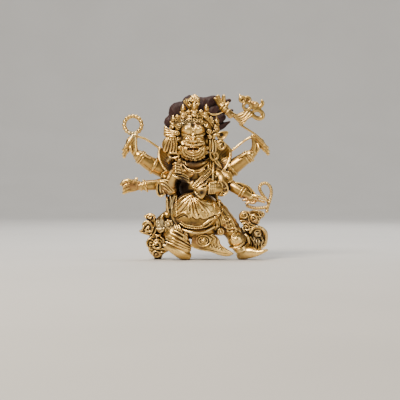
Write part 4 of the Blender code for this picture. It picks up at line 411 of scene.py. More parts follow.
HAIRLINE_CURLS = [(-18.3, 126.8, 2.9), (-16.9, 133.4, 3.7), (-11.9, 138.2, 3.1), (-6.3, 138.6, 3.0),
                  (-1.2, 139.2, 2.6), (4.2, 137.8, 3.5), (-17.6, 120.6, 2.4), (9.4, 134.2, 3.3),
                  (12.9, 128.6, 3.0), (13.6, 122.6, 2.4)]


def hairline(c):
    """The carved band of curls that frames the forehead."""
    band = [(-15.6, -3.0, 117.5), (-17.4, -5.0, 124), (-16.4, -8.0, 131.6), (-12.2, -11.6, 136.6),
            (-7.0, -14.0, 138.2), (-1.4, -14.8, 138.6),
            (4.6, -13.8, 137.4), (9.8, -10.8, 134.0), (13.0, -7.4, 128.6), (13.8, -4.6, 121)]
    c.tube(band, [2.4, 3.0, 3.6, 3.7, 3.6, 3.5, 3.7, 3.9, 3.5, 2.6],
           [2.6, 3.2, 3.4, 3.5, 3.6, 3.6, 3.6, 3.4, 3.2, 2.6], face=(0, -1, 0))
    for x, z, size in HAIRLINE_CURLS:
        c.ball((x, -7.6 - 8.6 * math.cos((x + 1.4) * 0.085), z), (size, 2.6, size))
    for i in range(3):
        d = 1.6 * i
        c.tube([(11.4 + 0.8 * d, -11.6 + 1.0 * d, 136.6 - 0.4 * d),
                (14.6 + 0.6 * d, -9.0 + 1.0 * d, 132.6 - 0.6 * d),
                (16.2 + 0.4 * d, -6.6 + 1.0 * d, 127.4 - 0.9 * d)], 0.9, sides=8)


def skull(c, at, size):
    x, y, z = at
    c.ball((x, y, z + 0.25 * size), (size, 0.9 * size, 0.86 * size), sides=12)
    c.ball((x, y - 0.3 * size, z - 0.7 * size), (0.6 * size, 0.62 * size, 0.5 * size), sides=10)
    for side in (-1, 1):
        c.ball((x + 0.6 * side * size, y - 0.5 * size, z - 0.35 * size),
               (0.34 * size, 0.32 * size, 0.3 * size), sides=8)
        c.tube([(x + 0.75 * side * size, y - 0.1 * size, z + 0.3 * size),
                (x + 0.95 * side * size, y - 0.2 * size, z - 0.5 * size),
                (x + 1.0 * side * size, y - 0.2 * size, z - 1.4 * size)],
                [0.3 * size, 0.3 * size, 0.2 * size], sides=6, steps=3)


CROWN = [(-22.8, -5.5, 134.6), (-12.6, -14.5, 143.7), (-1.6, -17.5, 145.2), (9.2, -15.0, 144.2),
         (19.9, -6.0, 132.4)]
CROWN_TIPS = [(-22.6, 140.6), (-12.6, 150.8), (-1.6, 152.4), (10.3, 150.6), (20.5, 138.8)]


def crown(c):
    c.tube([(-22, -2, 130.5), (-17, -8, 137.6), (-11, -12.6, 141.6), (-1.8, -15.0, 142.8),
            (7.6, -13.0, 141.8), (13.4, -9.0, 137.4), (19.4, -2, 128)], 1.6, 2.0)
    for at, tip in zip(CROWN, CROWN_TIPS):
        skull(c, at, 2.9)
        front = at[1] + 0.2
        c.ball((tip[0], front + 0.4, tip[1]), (2.7, 1.6, 3.2), sides=12)
        c.ball((tip[0], front - 1.1, tip[1] - 0.2), (1.7, 1.5, 2.2), sides=12)
        c.tube([(tip[0], front, tip[1] + 2), (tip[0], front, tip[1] + 3.4)], [1.3, 0.9])
        c.tube([(at[0], at[1] + 1.2, at[2]), (tip[0], at[1] + 1.4, tip[1])], 1.7)
        c.tube([(at[0], at[1] + 1.0, at[2] + 1), (at[0], at[1] + 3.6, at[2] - 4)], 1.9)
        for side in (-1, 1):
            c.ball((at[0] + 2.4 * side, at[1] + 0.6, at[2] + 3.0), (1.2, 1.0, 1.1), sides=8)
    for x, y, z in [(-18.0, -10.5, 142.6), (-7, -16.0, 147.2), (4.9, -16.0, 147.4), (14.8, -11, 140.8)]:
        for turn in range(5):
            a = math.radians(72 * turn + 18)
            c.ball((x + 1.45 * math.cos(a), y, z + 1.45 * math.sin(a)), 1.0, sides=8)
        c.ball((x, y - 0.9, z), 0.85, sides=8)
        c.tube([(x, y + 0.5, z), (x * 0.92, y + 3, z - 5)], 1.5)
        for side in (-1, 1):
            c.tube([(x, y + 1, z - 3.2), (x + 2.2 * side, y + 0.4, z - 3.8),
                    (x + 2.6 * side, y + 0.4, z - 2.0)], 0.7, sides=6)
    c.pillow([(-5.4, 148.6), (-9.4, 153.2), (-12.9, 158.4), (-9.0, 160.2), (-5.0, 163.4), (-1.3, 165.0),
              (2.4, 163.2), (4.2, 159.6), (3.2, 154.6), (1.6, 149.4)], -9.5, 3.6)
    c.tube([(-1.6, -15, 146), (-1.5, -12, 150), (-1.4, -9, 156)], [2.8, 3.6, 4.6])
    for dx, dz, size, angle in [(-8.6, 157.8, 1.9, 200), (-5.4, 153.6, 1.7, 160), (-4.8, 159.2, 2.0, 120),
                                (1.4, 159.0, 2.0, 60), (1.9, 154.6, 1.6, 20)]:
        c.curl((dx, -13.0, dz), size, 1.1 if dx > -1 else -1.1, 0.7, angle=angle)
    c.tube([(-1.5, -12.6, 156), (-1.4, -12.8, 161.0)], [1.3, 0.9])
    for side in (-1, 1):
        c.tube([(-1.4 + 1.0 * side, -12.6, 161.0), (-1.4 + 2.8 * side, -11.8, 162.6),
                (-1.4 + 1.4 * side, -10.8, 164)], 0.6, sides=8)
    c.ball((-1.3, -10, 163.9), 1.6, sides=12)
    c.tube([(12.6, -9, 146.4), (16.0, -9.4, 144.9), (20.6, -9, 145.1), (26.2, -7, 147.6)],
           [1.0, 1.0, 0.95, 0.6])


HAIR_LOBES = [
    ([(-13, 158.6), (-19.4, 158.4), (-24.8, 155.6), (-27.4, 150), (-27.0, 144.6), (-22, 140), (-14, 138),
      (-6, 146), (-6, 154)], 4.4, 7.0),
    ([(-18, 146), (-25, 146.6), (-30.6, 142.4), (-32.2, 137.6), (-29.6, 133.4), (-22, 131), (-15, 134)],
     4.6, 5.2),
    ([(-15, 152), (-13.6, 160.4), (-8.6, 164.9), (-4, 165.2), (1, 161), (0, 150), (-8, 148)], 4.0, 5.6),
    ([(0, 146), (1.0, 157), (3.2, 163.4), (9, 163.4), (14, 164.8), (19.8, 165.0), (22.0, 161),
      (20.8, 156.6), (15, 152), (9, 146)], 6.0, 5.8),
    ([(8, 143), (11, 152.6), (17, 155.2), (22.4, 154.6), (25.4, 151), (23, 146.6), (16, 143)], 5.6, 4.6),
    ([(10, 134), (15, 144), (22, 147.0), (29.2, 146.0), (30.0, 142.0), (26, 138.2), (18, 134)], 6.4, 3.6),
]
HAIR_TIPS = [
    ([(12, 5, 129), (20, 7, 133.2), (27, 8, 135.4), (34.0, 8, 138.8)], [6, 5.0, 3.5, 0.9],
     [2.6, 2.4, 1.9, 0.9]),
    ([(12, 9, 150), (22, 11, 156), (34.4, 12, 160.8)], [5.6, 4.2, 1.8], [2.6, 2.4, 1.3]),
    ([(14, 9, 144), (24, 12, 148), (37.0, 13, 150.6)], [5.6, 3.8, 1.4], [2.6, 2.3, 1.2]),
]


def hair(c):
    c.ball((-2.5, 4, 134), (17.6, 10.5, 17), sides=20)
    c.ball((-1, 5, 149), (16, 7.5, 12.6), sides=20)
    for outline, y, half in HAIR_LOBES:
        c.pillow(outline, y, half)
    for path, wide, thick in HAIR_TIPS:
        c.tube(path, wide, thick, sides=20)
    for i, x in enumerate((-16, -8, 0, 8, 15)):
        tip = (-20, -9.5, 1, 11, 19)[i]
        c.tube([(x * 0.7, 9, 118), (x, 13.5, 132), (x * 0.95, 13, 145),
                (tip, 9.5, 157 - 0.014 * tip * tip)], [4.4, 5.4, 5, 1.8], [3, 3.8, 3.4, 1.4])


def ear_bows(c):
    """The fans and folded bundles beside the ears, and the rings and tassels under them."""
    c.pillow([(-31.4, 134.8), (-32.3, 130), (-32.0, 124.0), (-27.6, 122.6), (-22.6, 123.2), (-17.8, 124.8),
              (-18.2, 128.4), (-22.6, 129.6), (-27.2, 130.9)], -4.6, 2.6, lean=-0.16)
    c.ball((-19.4, -9.2, 126.4), (2.6, 1.6, 2.2), sides=12)
    c.pillow([(-20, 123.4), (-26, 123.6), (-31.0, 121.8), (-33.8, 117.4), (-33.6, 112.6), (-32.4, 108.6),
              (-30.4, 107.2), (-28.4, 108.4), (-26.0, 106.2), (-23.4, 107.6), (-21.2, 106.0),
              (-18.6, 108.2), (-17.6, 114), (-17.8, 120)], -6.4, 2.5, lean=-0.12)
    c.ball((-23.4, -8.6, 123.2), (3.6, 1.5, 1.5), sides=12)
    c.tube([(-27.4, -7.4, 105.8), (-23, -8.8, 106.9), (-18.2, -9.4, 106.2), (-17.0, -9.2, 103.6),
            (-20.4, -9.0, 102.2), (-25.4, -8.2, 101.9)], 1.15, closed=True, sides=8, steps=3)
    c.tube([(-25.4, -8, 101.9), (-27.4, -7.2, 99.4), (-26.6, -6.2, 96.8)], [2.1, 1.9, 0.9])
    c.tube([(-20.4, -9.0, 102.2), (-19.6, -8.6, 99.6)], [1.2, 0.8])
    c.tube([(-24, -6, 101), (-24, -1, 99), (-23, 4, 96)], 2.2)
    c.pillow([(10.6, 122.6), (13, 126.0), (17, 129.0), (20.6, 131.8), (23.4, 129.8), (20.8, 126.0),
              (16.6, 123.0), (13, 121)], -7.0, 2.2, lean=0.1)
    c.row([(11.8, -10.2, 123.8), (14.8, -10.0, 126.2), (18, -9.4, 128.4), (21.2, -8.8, 130.4)], 0.95, 2.1)
    c.row([(13.0, -10.0, 122.2), (16.2, -9.8, 124.2), (19.4, -9.2, 126.6)], 0.6, 1.6)
    c.pillow([(20.6, 125), (21.6, 121.4), (25, 119.6), (28.6, 121), (31.6, 124.6), (32.4, 128.4),
              (28.4, 128.9), (24, 128.2)], -6.4, 1.9)
    spots = [(21.4, 124.6), (23.2, 121.4), (26.6, 121.0), (29.4, 123.4), (31.4, 127.6), (28, 128.0),
             (24, 127.4)]
    c.tube([(x, -8.2, z) for x, z in spots], 0.9, closed=True, steps=3, sides=8)
    c.tube([(22.6, -8.4, 124.8), (19.6, -9.2, 125.0), (17.6, -9.6, 122.0)], [1.5, 1.8, 1.4])
    c.pillow([(12.7, 119.6), (15.2, 122.0), (18.6, 121.6), (20.6, 118.6), (20.8, 112), (20.0, 107.0),
              (16.4, 105.8), (13.0, 108.6)], -6.8, 2.8, lean=0.1)
    c.pillow([(20, 119.6), (24.6, 120.4), (28.4, 118.4), (29.8, 114.4), (28.6, 110.6), (25, 108.6),
              (21.4, 109.6), (19.6, 113)], -6.2, 2.0, lean=0.1)
    c.tube(hooped((25.2, -8.0, 114.6), 3.4, 4.3, 12), 1.1, closed=True, steps=2, sides=8)
    c.tube([(25.0, -8.2, 110.6), (23.6, -8.6, 114.0), (25.8, -8.4, 116.4)], [0.8, 0.9, 0.6], sides=8)
    c.tube([(14.4, -8.6, 106.8), (14.6, -8.8, 103.0), (17.4, -8.6, 99.9), (21.2, -8.2, 101.8),
            (21.0, -8.2, 106.0), (17.6, -8.6, 107.4)], 1.25, closed=True, steps=3, sides=8)
    c.pillow([(17.4, 100.4), (20.4, 101.0), (23.4, 98.4), (25.6, 93.6), (26.0, 91.4), (22.4, 93.4),
              (19.2, 96.4)], -7.2, 1.7, lean=0.25)
    c.tube([(17.0, -8, 109), (17.6, -8.8, 106.4)], 1.7)


def collar(c):
    c.tube([(-15, -3, 101), (-12.0, -8.6, 97.6), (-2, -11.2, 95.4), (8, -9.4, 97.0), (12.6, -3, 101)],
           [1.4, 1.5, 1.6, 1.5, 1.4], 1.2)
    c.tube([(-13.0, -9.0, 95.6), (-9.6, -12.0, 91.6), (-6.0, -13.8, 89.8), (-1.6, -14.8, 89.2),
            (2.8, -14.0, 89.8), (6.4, -12.8, 91.6), (11.0, -9.6, 95.4)], 0.85)
    c.row([(-11.4, -10.8, 91.6), (-6.4, -13.8, 87.9), (-1.6, -15.0, 86.9), (4.0, -14.4, 87.8),
           (8.6, -12.4, 90.6)], 0.65, 1.5)
    c.ball((-1.6, -15.2, 87.8), (1.4, 1.1, 1.7))
    c.tube([(-10.6, -9.8, 98.2), (-10.0, -11.0, 95.6), (-8.2, -12.0, 94.2)], [0.8, 0.9, 0.5], sides=8)
    for side in (-1, 1):
        for i in range(3):
            c.tube([((13.0 + 1.9 * i) * side - 1, -5.6 + 1.1 * i, 99.4),
                    ((13.6 + 2.2 * i) * side - 1, -8.6 + 1.1 * i, 94.0),
                    ((12.6 + 2.6 * i) * side - 1, -9.6 + 1.0 * i, 88.6)],
                   [0.9, 1.2, 0.8], sides=8)


def armlets(c):
    """Bands, cuffs and jewels on the six arms."""
    bands_round(c, LEFT_ARM, [0.52, 0.55], 8.0, 1.3)
    bands_round(c, LEFT_ARM, [0.93, 0.985], 6.6, 0.95)
    bands_round(c, RIGHT_ARM, [0.42, 0.45], 8.2, 1.3)
    bands_round(c, RIGHT_ARM, [0.90, 0.965], 6.2, 0.95)
    c.tube([(-58.6, -2.6, 98.6), (-55.6, -4.8, 103.4), (-52.2, -4.6, 105.4), (-49.6, -3.4, 103.6),
            (-46.0, -3.0, 101.8)], 0.95)
    c.tube([(42.6, -2.8, 102.6), (47.0, -4.2, 104.8), (50.6, -4.6, 106.4), (54.8, -4.0, 102.4),
            (57.6, -2.2, 99.6)], 0.95)
    bands_round(c, MIDDLE_LEFT, [0.80], 5.2, 0.8)
    bands_round(c, MIDDLE_LEFT, [0.97], 4.5, 0.8)
    c.tube([(-52.6, -8.4, 79.6), (-52.0, -10.8, 76.4), (-50.0, -11.2, 72.0), (-48.2, -9.6, 68.6)], 0.9)
    bands_round(c, MIDDLE_RIGHT, [0.70, 0.78], 5.5, 0.85)
    for side in (-1, 1):
        x = 31.4 * side + 0.6
        c.leaf([(27 * side, -6, 88), (x, -8, 84.4), (x + 0.4 * side, -8, 79)], [1.4, 3.8, 4.4], half=1.5,
               rim=0.4)
        c.ball((x, -10.0, 82.6), (2.1, 1.4, 2.1), sides=12)
        c.row([(x - 4 * side, -8.4, 79), (x, -9.6, 77.6), (x + 3.4 * side, -8.4, 78.4)], 0.8, 1.7)


# Dress

def hide(c):
    """The elephant hide: a shoulder panel on each side, the strips up to the raised hands, and the back."""
    left = [(-36.2, 2, 112.4), (-37.4, 1, 106), (-36.2, -1, 99.5), (-32.4, -3, 92.6), (-26, -5, 86)]
    right = [(28.6, 2, 116.6), (33.4, 2, 112), (34.8, 1, 106), (33.6, -1, 99.5), (29.8, -3, 92),
             (24, -5, 85)]
    for edge, inner, high in ((left, -17, 108), (right, 17, 110)):
        edge = through(edge, 29)
        t = np.linspace(0, 1, 17)[None, :, None]
        root = np.stack([np.full(29, inner), np.full(29, 1.0), np.linspace(high, 88, 29)], axis=1)[:, None]
        grid = edge[:, None] * (1 - t) + root * t
        grid[..., 1] += 1.9 * np.sin(math.pi * t[..., 0]) ** 0.7
        c.slab(grid, 1.6)
        c.tube(edge[::4], 1.35)
    c.tube([(-60.4, 0, 123.9), (-55.5, 1, 122.9), (-51, 2, 121.4), (-45.4, 2, 118), (-39.7, 2, 114),
            (-35, 3, 110)], STRIP_RADIUS)
    c.tube([(55.4, 0, 123.0), (50, 1, 120.4), (46.5, 2, 118), (40.3, 2, 113), (33, 3, 107.4)], STRIP_RADIUS)
    rows = []
    for z, wide, y in [(106, 17, 9), (96, 23, 11.5), (84, 24, 13.5), (70, 21, 15), (58, 21, 16.5),
                       (46, 22, 18), (36, 21, 18), (29, 17, 17)]:
        a = np.linspace(-1, 1, 33)
        rows.append(np.stack([wide * a, y - 6.5 * a**2 + 0.9 * np.cos(5 * math.pi * a + 0.03 * z),
                              z + 3 * a**2], axis=1))
    c.slab(through(np.array(rows).reshape(8, -1), 30).reshape(30, 33, 3), 1.4)
    for side in (0, -1):
        c.tube([row[side] for row in rows[1:]], 1.7, sides=10)
    c.tube([tuple(p) for p in rows[-1][::4]], 1.8, sides=10)


def sash(c):
    c.leaf([(15.2, -10, 90.5), (9, -15.0, 83.6), (3.4, -17.6, 78), (-3, -18.6, 72)], [3.4, 3.0, 2.7, 2.4],
           half=1.0, face=(0, -1, 0.2), rim=0.5)
    for s in (-1, 0, 1):
        c.row([(14.2 + 1.1 * s, -12.0, 88.6 + 1.3 * s), (8.6 + 1.1 * s, -16.2, 82.6 + 1.3 * s),
               (2.6 + 1.1 * s, -18.7, 76.6 + 1.3 * s)], 0.5, 1.5)
    c.tube([(17.6, -6, 98), (17.2, -11.4, 89), (16.4, -13.4, 80)], [1.2, 1.15, 1.1])
    c.tube([(28, -3, 91), (24.4, -8, 86.6), (19.6, -10.4, 83)], [1.0, 1.0, 0.8])
    c.tube([(12.6, -13.4, 80), (6, -17.2, 73), (0, -18, 69)], [2.4, 2.6, 2.2])


def chest_hands(c):
    """The hand with the flaying knife and the hand with the skull cup."""
    c.ball((-18.6, -20.6, 91.4), (3.8, 3.4, 5.6), (0, 8, 0))
    for i in range(4):
        z = 95.6 - 2.7 * i
        finger(c, [(-21.8, -20.6, z), (-19.8, -23.6 - 0.3 * i, z + 0.5), (-16.6 + 0.5 * i, -23.2, z - 0.5)],
               1.2 + 0.04 * i)
    c.tube([(-17.2, -22, 96), (-16.4, -22.4, 99.4)], [1.6, 1.3])
    c.ball((-16.3, -22.4, 99.2), (1.9, 1.8, 1.6), sides=12)
    c.pillow([(-22.4, 85.2), (-17, 86.6), (-11.6, 86.4), (-7.4, 83.6), (-5.8, 77.4), (-10, 78.0),
              (-16, 80.6), (-20, 83.2)], -21.6, 1.6, lean=0.06)
    c.tube([(-22.6, -22.4, 84.6), (-17.0, -24.0, 81.4), (-11.6, -24.0, 78.8), (-6.4, -23.2, 77.2)],
           [0.7, 1.0, 1.0, 0.6])
    c.tube([(-19.4, -21, 88), (-17, -22, 83)], 2.0)
    cup = []
    for r, z in [(1.0, 61.4), (3.2, 63.8), (5.4, 68.2), (6.7, 72.8), (5.7, 73.2), (4.6, 69.6), (1.6, 66.6)]:
        a = np.linspace(0, 2 * math.pi, 20, endpoint=False)
        cup.append(np.stack([5.6 + r * np.cos(a), -22.0 + 0.9 * r * np.sin(a),
                             z + (0.16 * np.cos(a) + 0.34 * np.sin(a)) * r], axis=1))
    c.rings(cup)
    c.tube([(-1.2, -21.6, 72.0), (1.6, -26.2, 70.6), (5.8, -27.8, 71.0), (9.8, -26.2, 72.4),
            (12.2, -21.8, 74.0)], 0.9, sides=8)
    c.tube([(-1.0, -24.0, 68.4), (1.4, -25.6, 65.2), (4.6, -24.6, 62.4)], 0.8, sides=8)
    for i in range(4):
        x = 13.2 + 1.75 * i
        finger(c, [(x + 0.8, -17.6, 78.4), (x + 0.5, -22.0 + 0.7 * i, 76), (x + 0.1, -23.2 + 0.8 * i, 71.4),
                   (x - 0.6, -21.6 + 0.8 * i, 66.8)], 1.2)
    c.ball((15.4, -17.2, 72), (4.4, 3.6, 5.6))
    finger(c, [(10.6, -18, 77.6), (9.4, -20, 75.4), (7.6, -21, 74.6)], 1.2)


def sleeves(c):
    """Scarf cloth wound round the two bent elbows."""
    c.pillow([(-38.4, 79.0), (-33, 81.0), (-27, 80.4), (-22, 77), (-19.4, 72), (-21.6, 67.4), (-26.6, 67.0),
              (-30.6, 65.4), (-34.6, 62.8), (-38.4, 65.0), (-39.8, 71)], -9.6, 5.0, lean=-0.12)
    for line, wide in (
        ([(-37.4, 78.2), (-38.9, 72.4), (-37.9, 66.0), (-34.6, 63.8), (-31.6, 65.8), (-32.4, 68.6)], 1.05),
        ([(-35.4, 76.6), (-35.8, 71.6), (-35.0, 67.6)], 0.8),
        ([(-35.6, 78.8), (-30.4, 77.6), (-25.4, 73.4), (-21.6, 68.8)], 0.9),
        ([(-33.6, 75.6), (-29.4, 73.8), (-25.8, 70.4), (-23.6, 68.0)], 0.9),
        ([(-30.8, 80.0), (-25.6, 78.0), (-21.8, 73.6)], 0.85),
        ([(-32.0, 71.6), (-28.8, 70.2), (-26.8, 68.0)], 0.7),
    ):
        c.tube([(x, -14.4 - 0.12 * (x + 30), z) for x, z in line],
               [0.7 * wide] + [wide] * (len(line) - 2) + [0.7 * wide], sides=8)
    c.pillow([(19.6, 78), (24, 80.6), (29, 79.6), (32, 75.4), (32.6, 70), (30.4, 65.6), (26, 63.4),
              (21.6, 64.6), (19.0, 68), (18.4, 73)], -10.0, 5.2, lean=0.12)
    for line, wide in (
        ([(20.4, 77.4), (23.0, 74.0), (22.6, 69.0), (20.4, 65.8)], 1.0),
        ([(22.8, 79.4), (25.6, 75.4), (25.6, 69.6), (23.6, 65.0)], 0.9),
        ([(26.4, 79.4), (29.2, 76.6), (31.4, 72.0), (30.6, 67.2), (27.0, 64.6)], 0.95),
        ([(25.8, 72.4), (28.4, 71.4), (31.0, 72.6)], 0.7),
        ([(25.8, 68.6), (28.4, 67.6), (30.4, 68.2)], 0.6),
    ):
        c.tube([(x, -15.0 + 0.12 * (x - 26), z) for x, z in line],
               [0.7 * wide] + [wide] * (len(line) - 2) + [0.7 * wide], sides=8)
    c.ball((-24, -8, 68), (5.0, 4.6, 3.2), (0, -20, 0))
    c.pillow([(35.4, 79.0), (41, 78.2), (48, 76.2), (54.6, 72.2), (59.6, 66.8), (57.4, 63.6), (52, 64.4),
              (46.0, 67.6), (40, 71.4), (35.4, 74.6)], -3.4, 5.2, lean=-0.1)
    for line, wide in (
        ([(39.0, 77.8), (46.4, 76.0), (53.4, 72.4), (58.2, 67.0)], 0.95),
        ([(44.6, 76.0), (49.4, 72.4), (52.6, 68.0)], 0.8),
        ([(50.6, 73.6), (54.0, 70.0), (55.8, 66.0)], 0.75),
    ):
        c.tube([(x, -8.2 - 0.1 * (x - 47), z) for x, z in line],
               [0.7 * wide] + [wide] * (len(line) - 2) + [0.7 * wide], sides=8)


def apron(c):
    """The cloth over the belly with its gathered folds, hems and strings of beads."""
    folds = [
        [(-7.0, 62.8), (-11.4, 60.0), (-15.4, 56.0), (-18.6, 52.2)],
        [(-4.6, 61.4), (-4.9, 55), (-4.2, 48.6)],
        [(-2.2, 61.6), (1.6, 55.4), (5.6, 48.6)],
        [(-0.6, 61.8), (5.0, 59.0), (12.6, 56.6), (18.6, 57.0)],
    ]
    for fold in folds:
        c.tube([on_belly(x, z, -0.5) for x, z in fold], [1.3] * (len(fold) - 1) + [0.8], sides=8)
    c.ball(on_belly(-4.4, 63.4, -2.0), (4.2, 2.2, 2.2))
    hems = [
        ([(-21.6, 64), (-23.0, 57), (-23.8, 50), (-23.2, 44), (-20.8, 38.0), (-15.4, 33.2), (-8.4, 30.2),
          (0, 29.4), (8, 30.2)], 1.45),
        ([(-19.0, 64.2), (-20.0, 57), (-20.4, 51), (-20.0, 46.4)], 0.65),
        ([(21.4, 59.4), (22.8, 53), (22.8, 46.6), (20.0, 43.4), (15, 41.2), (11.2, 38.6), (7.4, 35.8)],
         1.4),
        ([(-14.2, 38.4), (-9, 35.4), (-2, 34.2), (4.4, 34.2), (7.6, 35.2)], 0.75),
    ]
    for line, wide in hems:
        c.tube([on_belly(x, z, 0.3) for x, z in line], wide, wide * 0.9, sides=8)
    for line, wide, step in [
        ([(-19.0, 62), (-19.4, 56), (-19.6, 50), (-19.0, 45.4)], 0.8, 1.8),
        ([(17.4, 57.0), (18.5, 52), (18.2, 46.8)], 0.95, 2.0),
        ([(-15.2, 36.8), (-9.6, 33.4), (-2, 32.2), (4, 32.4), (10.8, 34.2), (15.0, 37.4), (18.0, 41.4)],
         1.0, 2.1),
    ]:
        c.row([on_belly(x, z, 0.8) for x, z in line], wide, step)
    c.tube([(-18.6, -13, 33.6), (-12, -17.4, 30.4), (-4, -20.0, 28.2), (3.4, -20.4, 27.6),
            (10.4, -18.6, 29.4), (18, -14.6, 33.4)], 1.4)
    c.tube([(-29.4, -6, 66), (-28.8, -8.8, 60), (-28.4, -9.2, 54), (-27, -9.2, 48)], [1.0, 1.3, 1.2, 0.9],
           sides=8)
    c.tube([(-25.6, -8.4, 65), (-25.0, -9.6, 59), (-25.6, -9.4, 52)], [0.9, 1.1, 0.8], sides=8)
    for z in (40, 36.6, 33.4):
        c.tube([(-20.6, -6, z), (-12, 10, z - 4), (0, 15.4, z - 6), (12, 10, z - 4), (21, -5, z)],
               [3, 4.4, 4.6, 4.4, 3])


def flap(c):
    """The cloth tail between the legs, blown towards the right foot."""
    c.pillow([(-4.4, 15.0), (-3.0, 24), (4, 27.4), (12, 27.0), (20, 24.6), (23.4, 20.4), (24.8, 16.0),
              (30.6, 11.6), (37.2, 7.0), (31.5, 4.6), (24, 5.8), (16, 9.2), (4, 11.2)],
             -13.4, 2.3, lean=0.1)
    c.tube([(-4.6, -15, 15), (3.4, -16.2, 11.8), (15, -14.6, 9.6), (24, -12.6, 6.2), (31.5, -11.4, 5.1),
            (36.6, -10.8, 6.8)], [1.1, 1.2, 1.2, 1.1, 1.0, 0.9])
    for wide, high, r in ((6.9, 5.4, 0.75), (4.4, 3.4, 0.6)):
        hoop = hooped((7.2, -16.8, 19.9), wide, high, 16)
        c.tube(hoop, r, closed=True, steps=2, sides=8)
    c.ball((7.2, -14.8, 19.9), (6.6, 2.2, 5.2))
    for i in range(6):
        a = math.radians(60 * i)
        c.ball((7.2 + 1.9 * math.cos(a), -17.4, 19.9 + 1.6 * math.sin(a)), (1.0, 0.8, 0.9), sides=8)
    c.ball((7.2, -18.0, 19.9), 0.9, sides=8)
    c.tube([(13.8, -15.8, 15.4), (15.6, -15.5, 18.6), (17.4, -15.2, 14.8), (18.6, -15, 18),
            (20.2, -14.6, 14.2), (21.4, -14.4, 16.8)], 0.6, sides=8)
    for dz in (0, 1.5):
        c.tube([(-3, -15.8, 14.0 + dz), (6, -16.2, 12.6 + dz), (15, -15.4, 11.2 + dz),
                (24, -14.0, 8.2 + dz), (31, -12.6, 7.2 + 0.4 * dz)], 0.4, sides=8)
    c.ball((24.6, -12.0, 28.6), (4.0, 3.2, 4.0))
    hoop = hooped((24.6, -14.6, 28.6), 2.7, 2.7, 10)
    c.tube(hoop, 0.6, closed=True, steps=2, sides=8)
    c.ball((24.6, -15.0, 28.6), 1.3, sides=10)
    c.ball((1, -6, 29), (19, 11.5, 8.6))
    c.ball((-10.4, -16.0, 23.4), (3.0, 2.8, 4.9))
    for i in range(3):
        c.row([(-12 + 1.5 * i, -18.6, 26.4), (-12.0 + 1.5 * i, -18.9, 20.8)], 0.75, 1.5)
    c.tube([(-10.4, -15, 29.6), (-10.4, -16.0, 26.4)], [2.0, 2.4])


def trousers(c):
    c.tube([(-10, 4, 43), (-19, -0.5, 36.5), (-23, -7.5, 28)], [12.5, 11.4, 9.4], sides=20)
    c.tube([(-22, -10.5, 26.4), (-17.0, -10, 20.0), (-11.6, -8, 13.0)], [9.6, 10.2, 7.4], [8.4, 8.4, 7.0],
           sides=20)
    c.ball((-23.6, -10.6, 26.6), (7.2, 6.4, 6.2))
    c.pillow([(-23, 65), (-29.6, 62), (-30.2, 54), (-29.8, 46), (-27, 40), (-22, 40), (-21, 50),
              (-21.6, 60)], -4.6, 4.4)
    for i, line in enumerate([
        [(-21.6, -18.4, 30.0), (-15.6, -19.4, 27.6), (-9.4, -17.2, 22.6), (-6.0, -13.4, 18.6)],
        [(-25.4, -17.8, 27.4), (-17.6, -19.4, 24.2), (-10.4, -16.8, 19.2), (-5.4, -12.8, 15.4)],
        [(-28.4, -15.8, 24.6), (-19.8, -18.6, 20.8), (-11.4, -16.2, 16.4), (-5.0, -12.0, 13.2)],
        [(-29.4, -14.6, 21.6), (-20.6, -17.6, 18.0), (-12.4, -15.2, 14.0), (-5.2, -11.0, 11.2)],
        [(-30.2, -14.0, 18.8), (-21.6, -16.4, 15.6), (-13.4, -14.4, 11.8), (-5.6, -10.4, 9.4)],
    ]):
        c.tube(line, [0.7, 1.1, 1.1, 0.7], sides=8)
    c.tube([(10, 2, 46), (21, 0, 43), (30.0, -1, 36), (37.0, -2, 28)], [13.2, 13.0, 10.9, 8.6], sides=20)
    c.ball((24, -1, 40), (9.4, 10.0, 16), (0, 12, 0), sides=20)
    c.ball((20, -2, 33), (9.6, 10, 8.4))
    c.tube([(37.0, -2, 28), (40.6, -3.6, 21), (41.8, -4, 17)], [9.0, 8.0, 7.0], sides=16)
    c.ball((40.0, -5.6, 20.6), (8.6, 8.6, 8.8), sides=20)
    c.tube([(41.6, -3, 16), (45.6, -2, 10), (46.4, -1, 5.6)], [7.2, 6.6, 5.2], sides=16)
    edge = [(24.6, 59.6), (26.8, 56.4), (29.4, 52.4), (32.8, 48.4), (36.8, 44.4), (40.0, 40.4),
            (42.6, 36.0), (44.4, 31.6), (46.4, 27.6), (48.4, 24.2)]
    for x, z in edge:
        c.ball((x - 1.5, -0.5, z - 0.9), (2.3, 3.6, 2.4), sides=10)
        c.ball((x - 4.4, -6.4, z - 2.8), (1.9, 2.4, 2.0), sides=10)
    c.tube([(33.4, -9, 13.4), (38.4, -13.4, 12.6), (44.4, -13.0, 14.8), (48.6, -7.6, 19.6), (48.4, -4, 25)],
           1.0)
    for i in range(4):
        d = 1.25 * i
        c.tube([(38.0 + 0.5 * d, -7, 11.4 - d), (42.6 + 0.5 * d, -9.6, 11.4 - 0.8 * d),
                (48.0 + 0.4 * d, -8.4, 13.8 - 0.9 * d), (52.6 + 0.2 * d, -3, 17.6 - 1.1 * d)], 0.65,
                sides=8)
    for i in range(3):
        x = 35.2 + 1.9 * i
        c.tube([(x + 0.6, -12.4, 27.6 - 0.8 * i), (x + 2.0, -13.6, 24.6 - 0.8 * i)], [0.7, 0.5], sides=8)


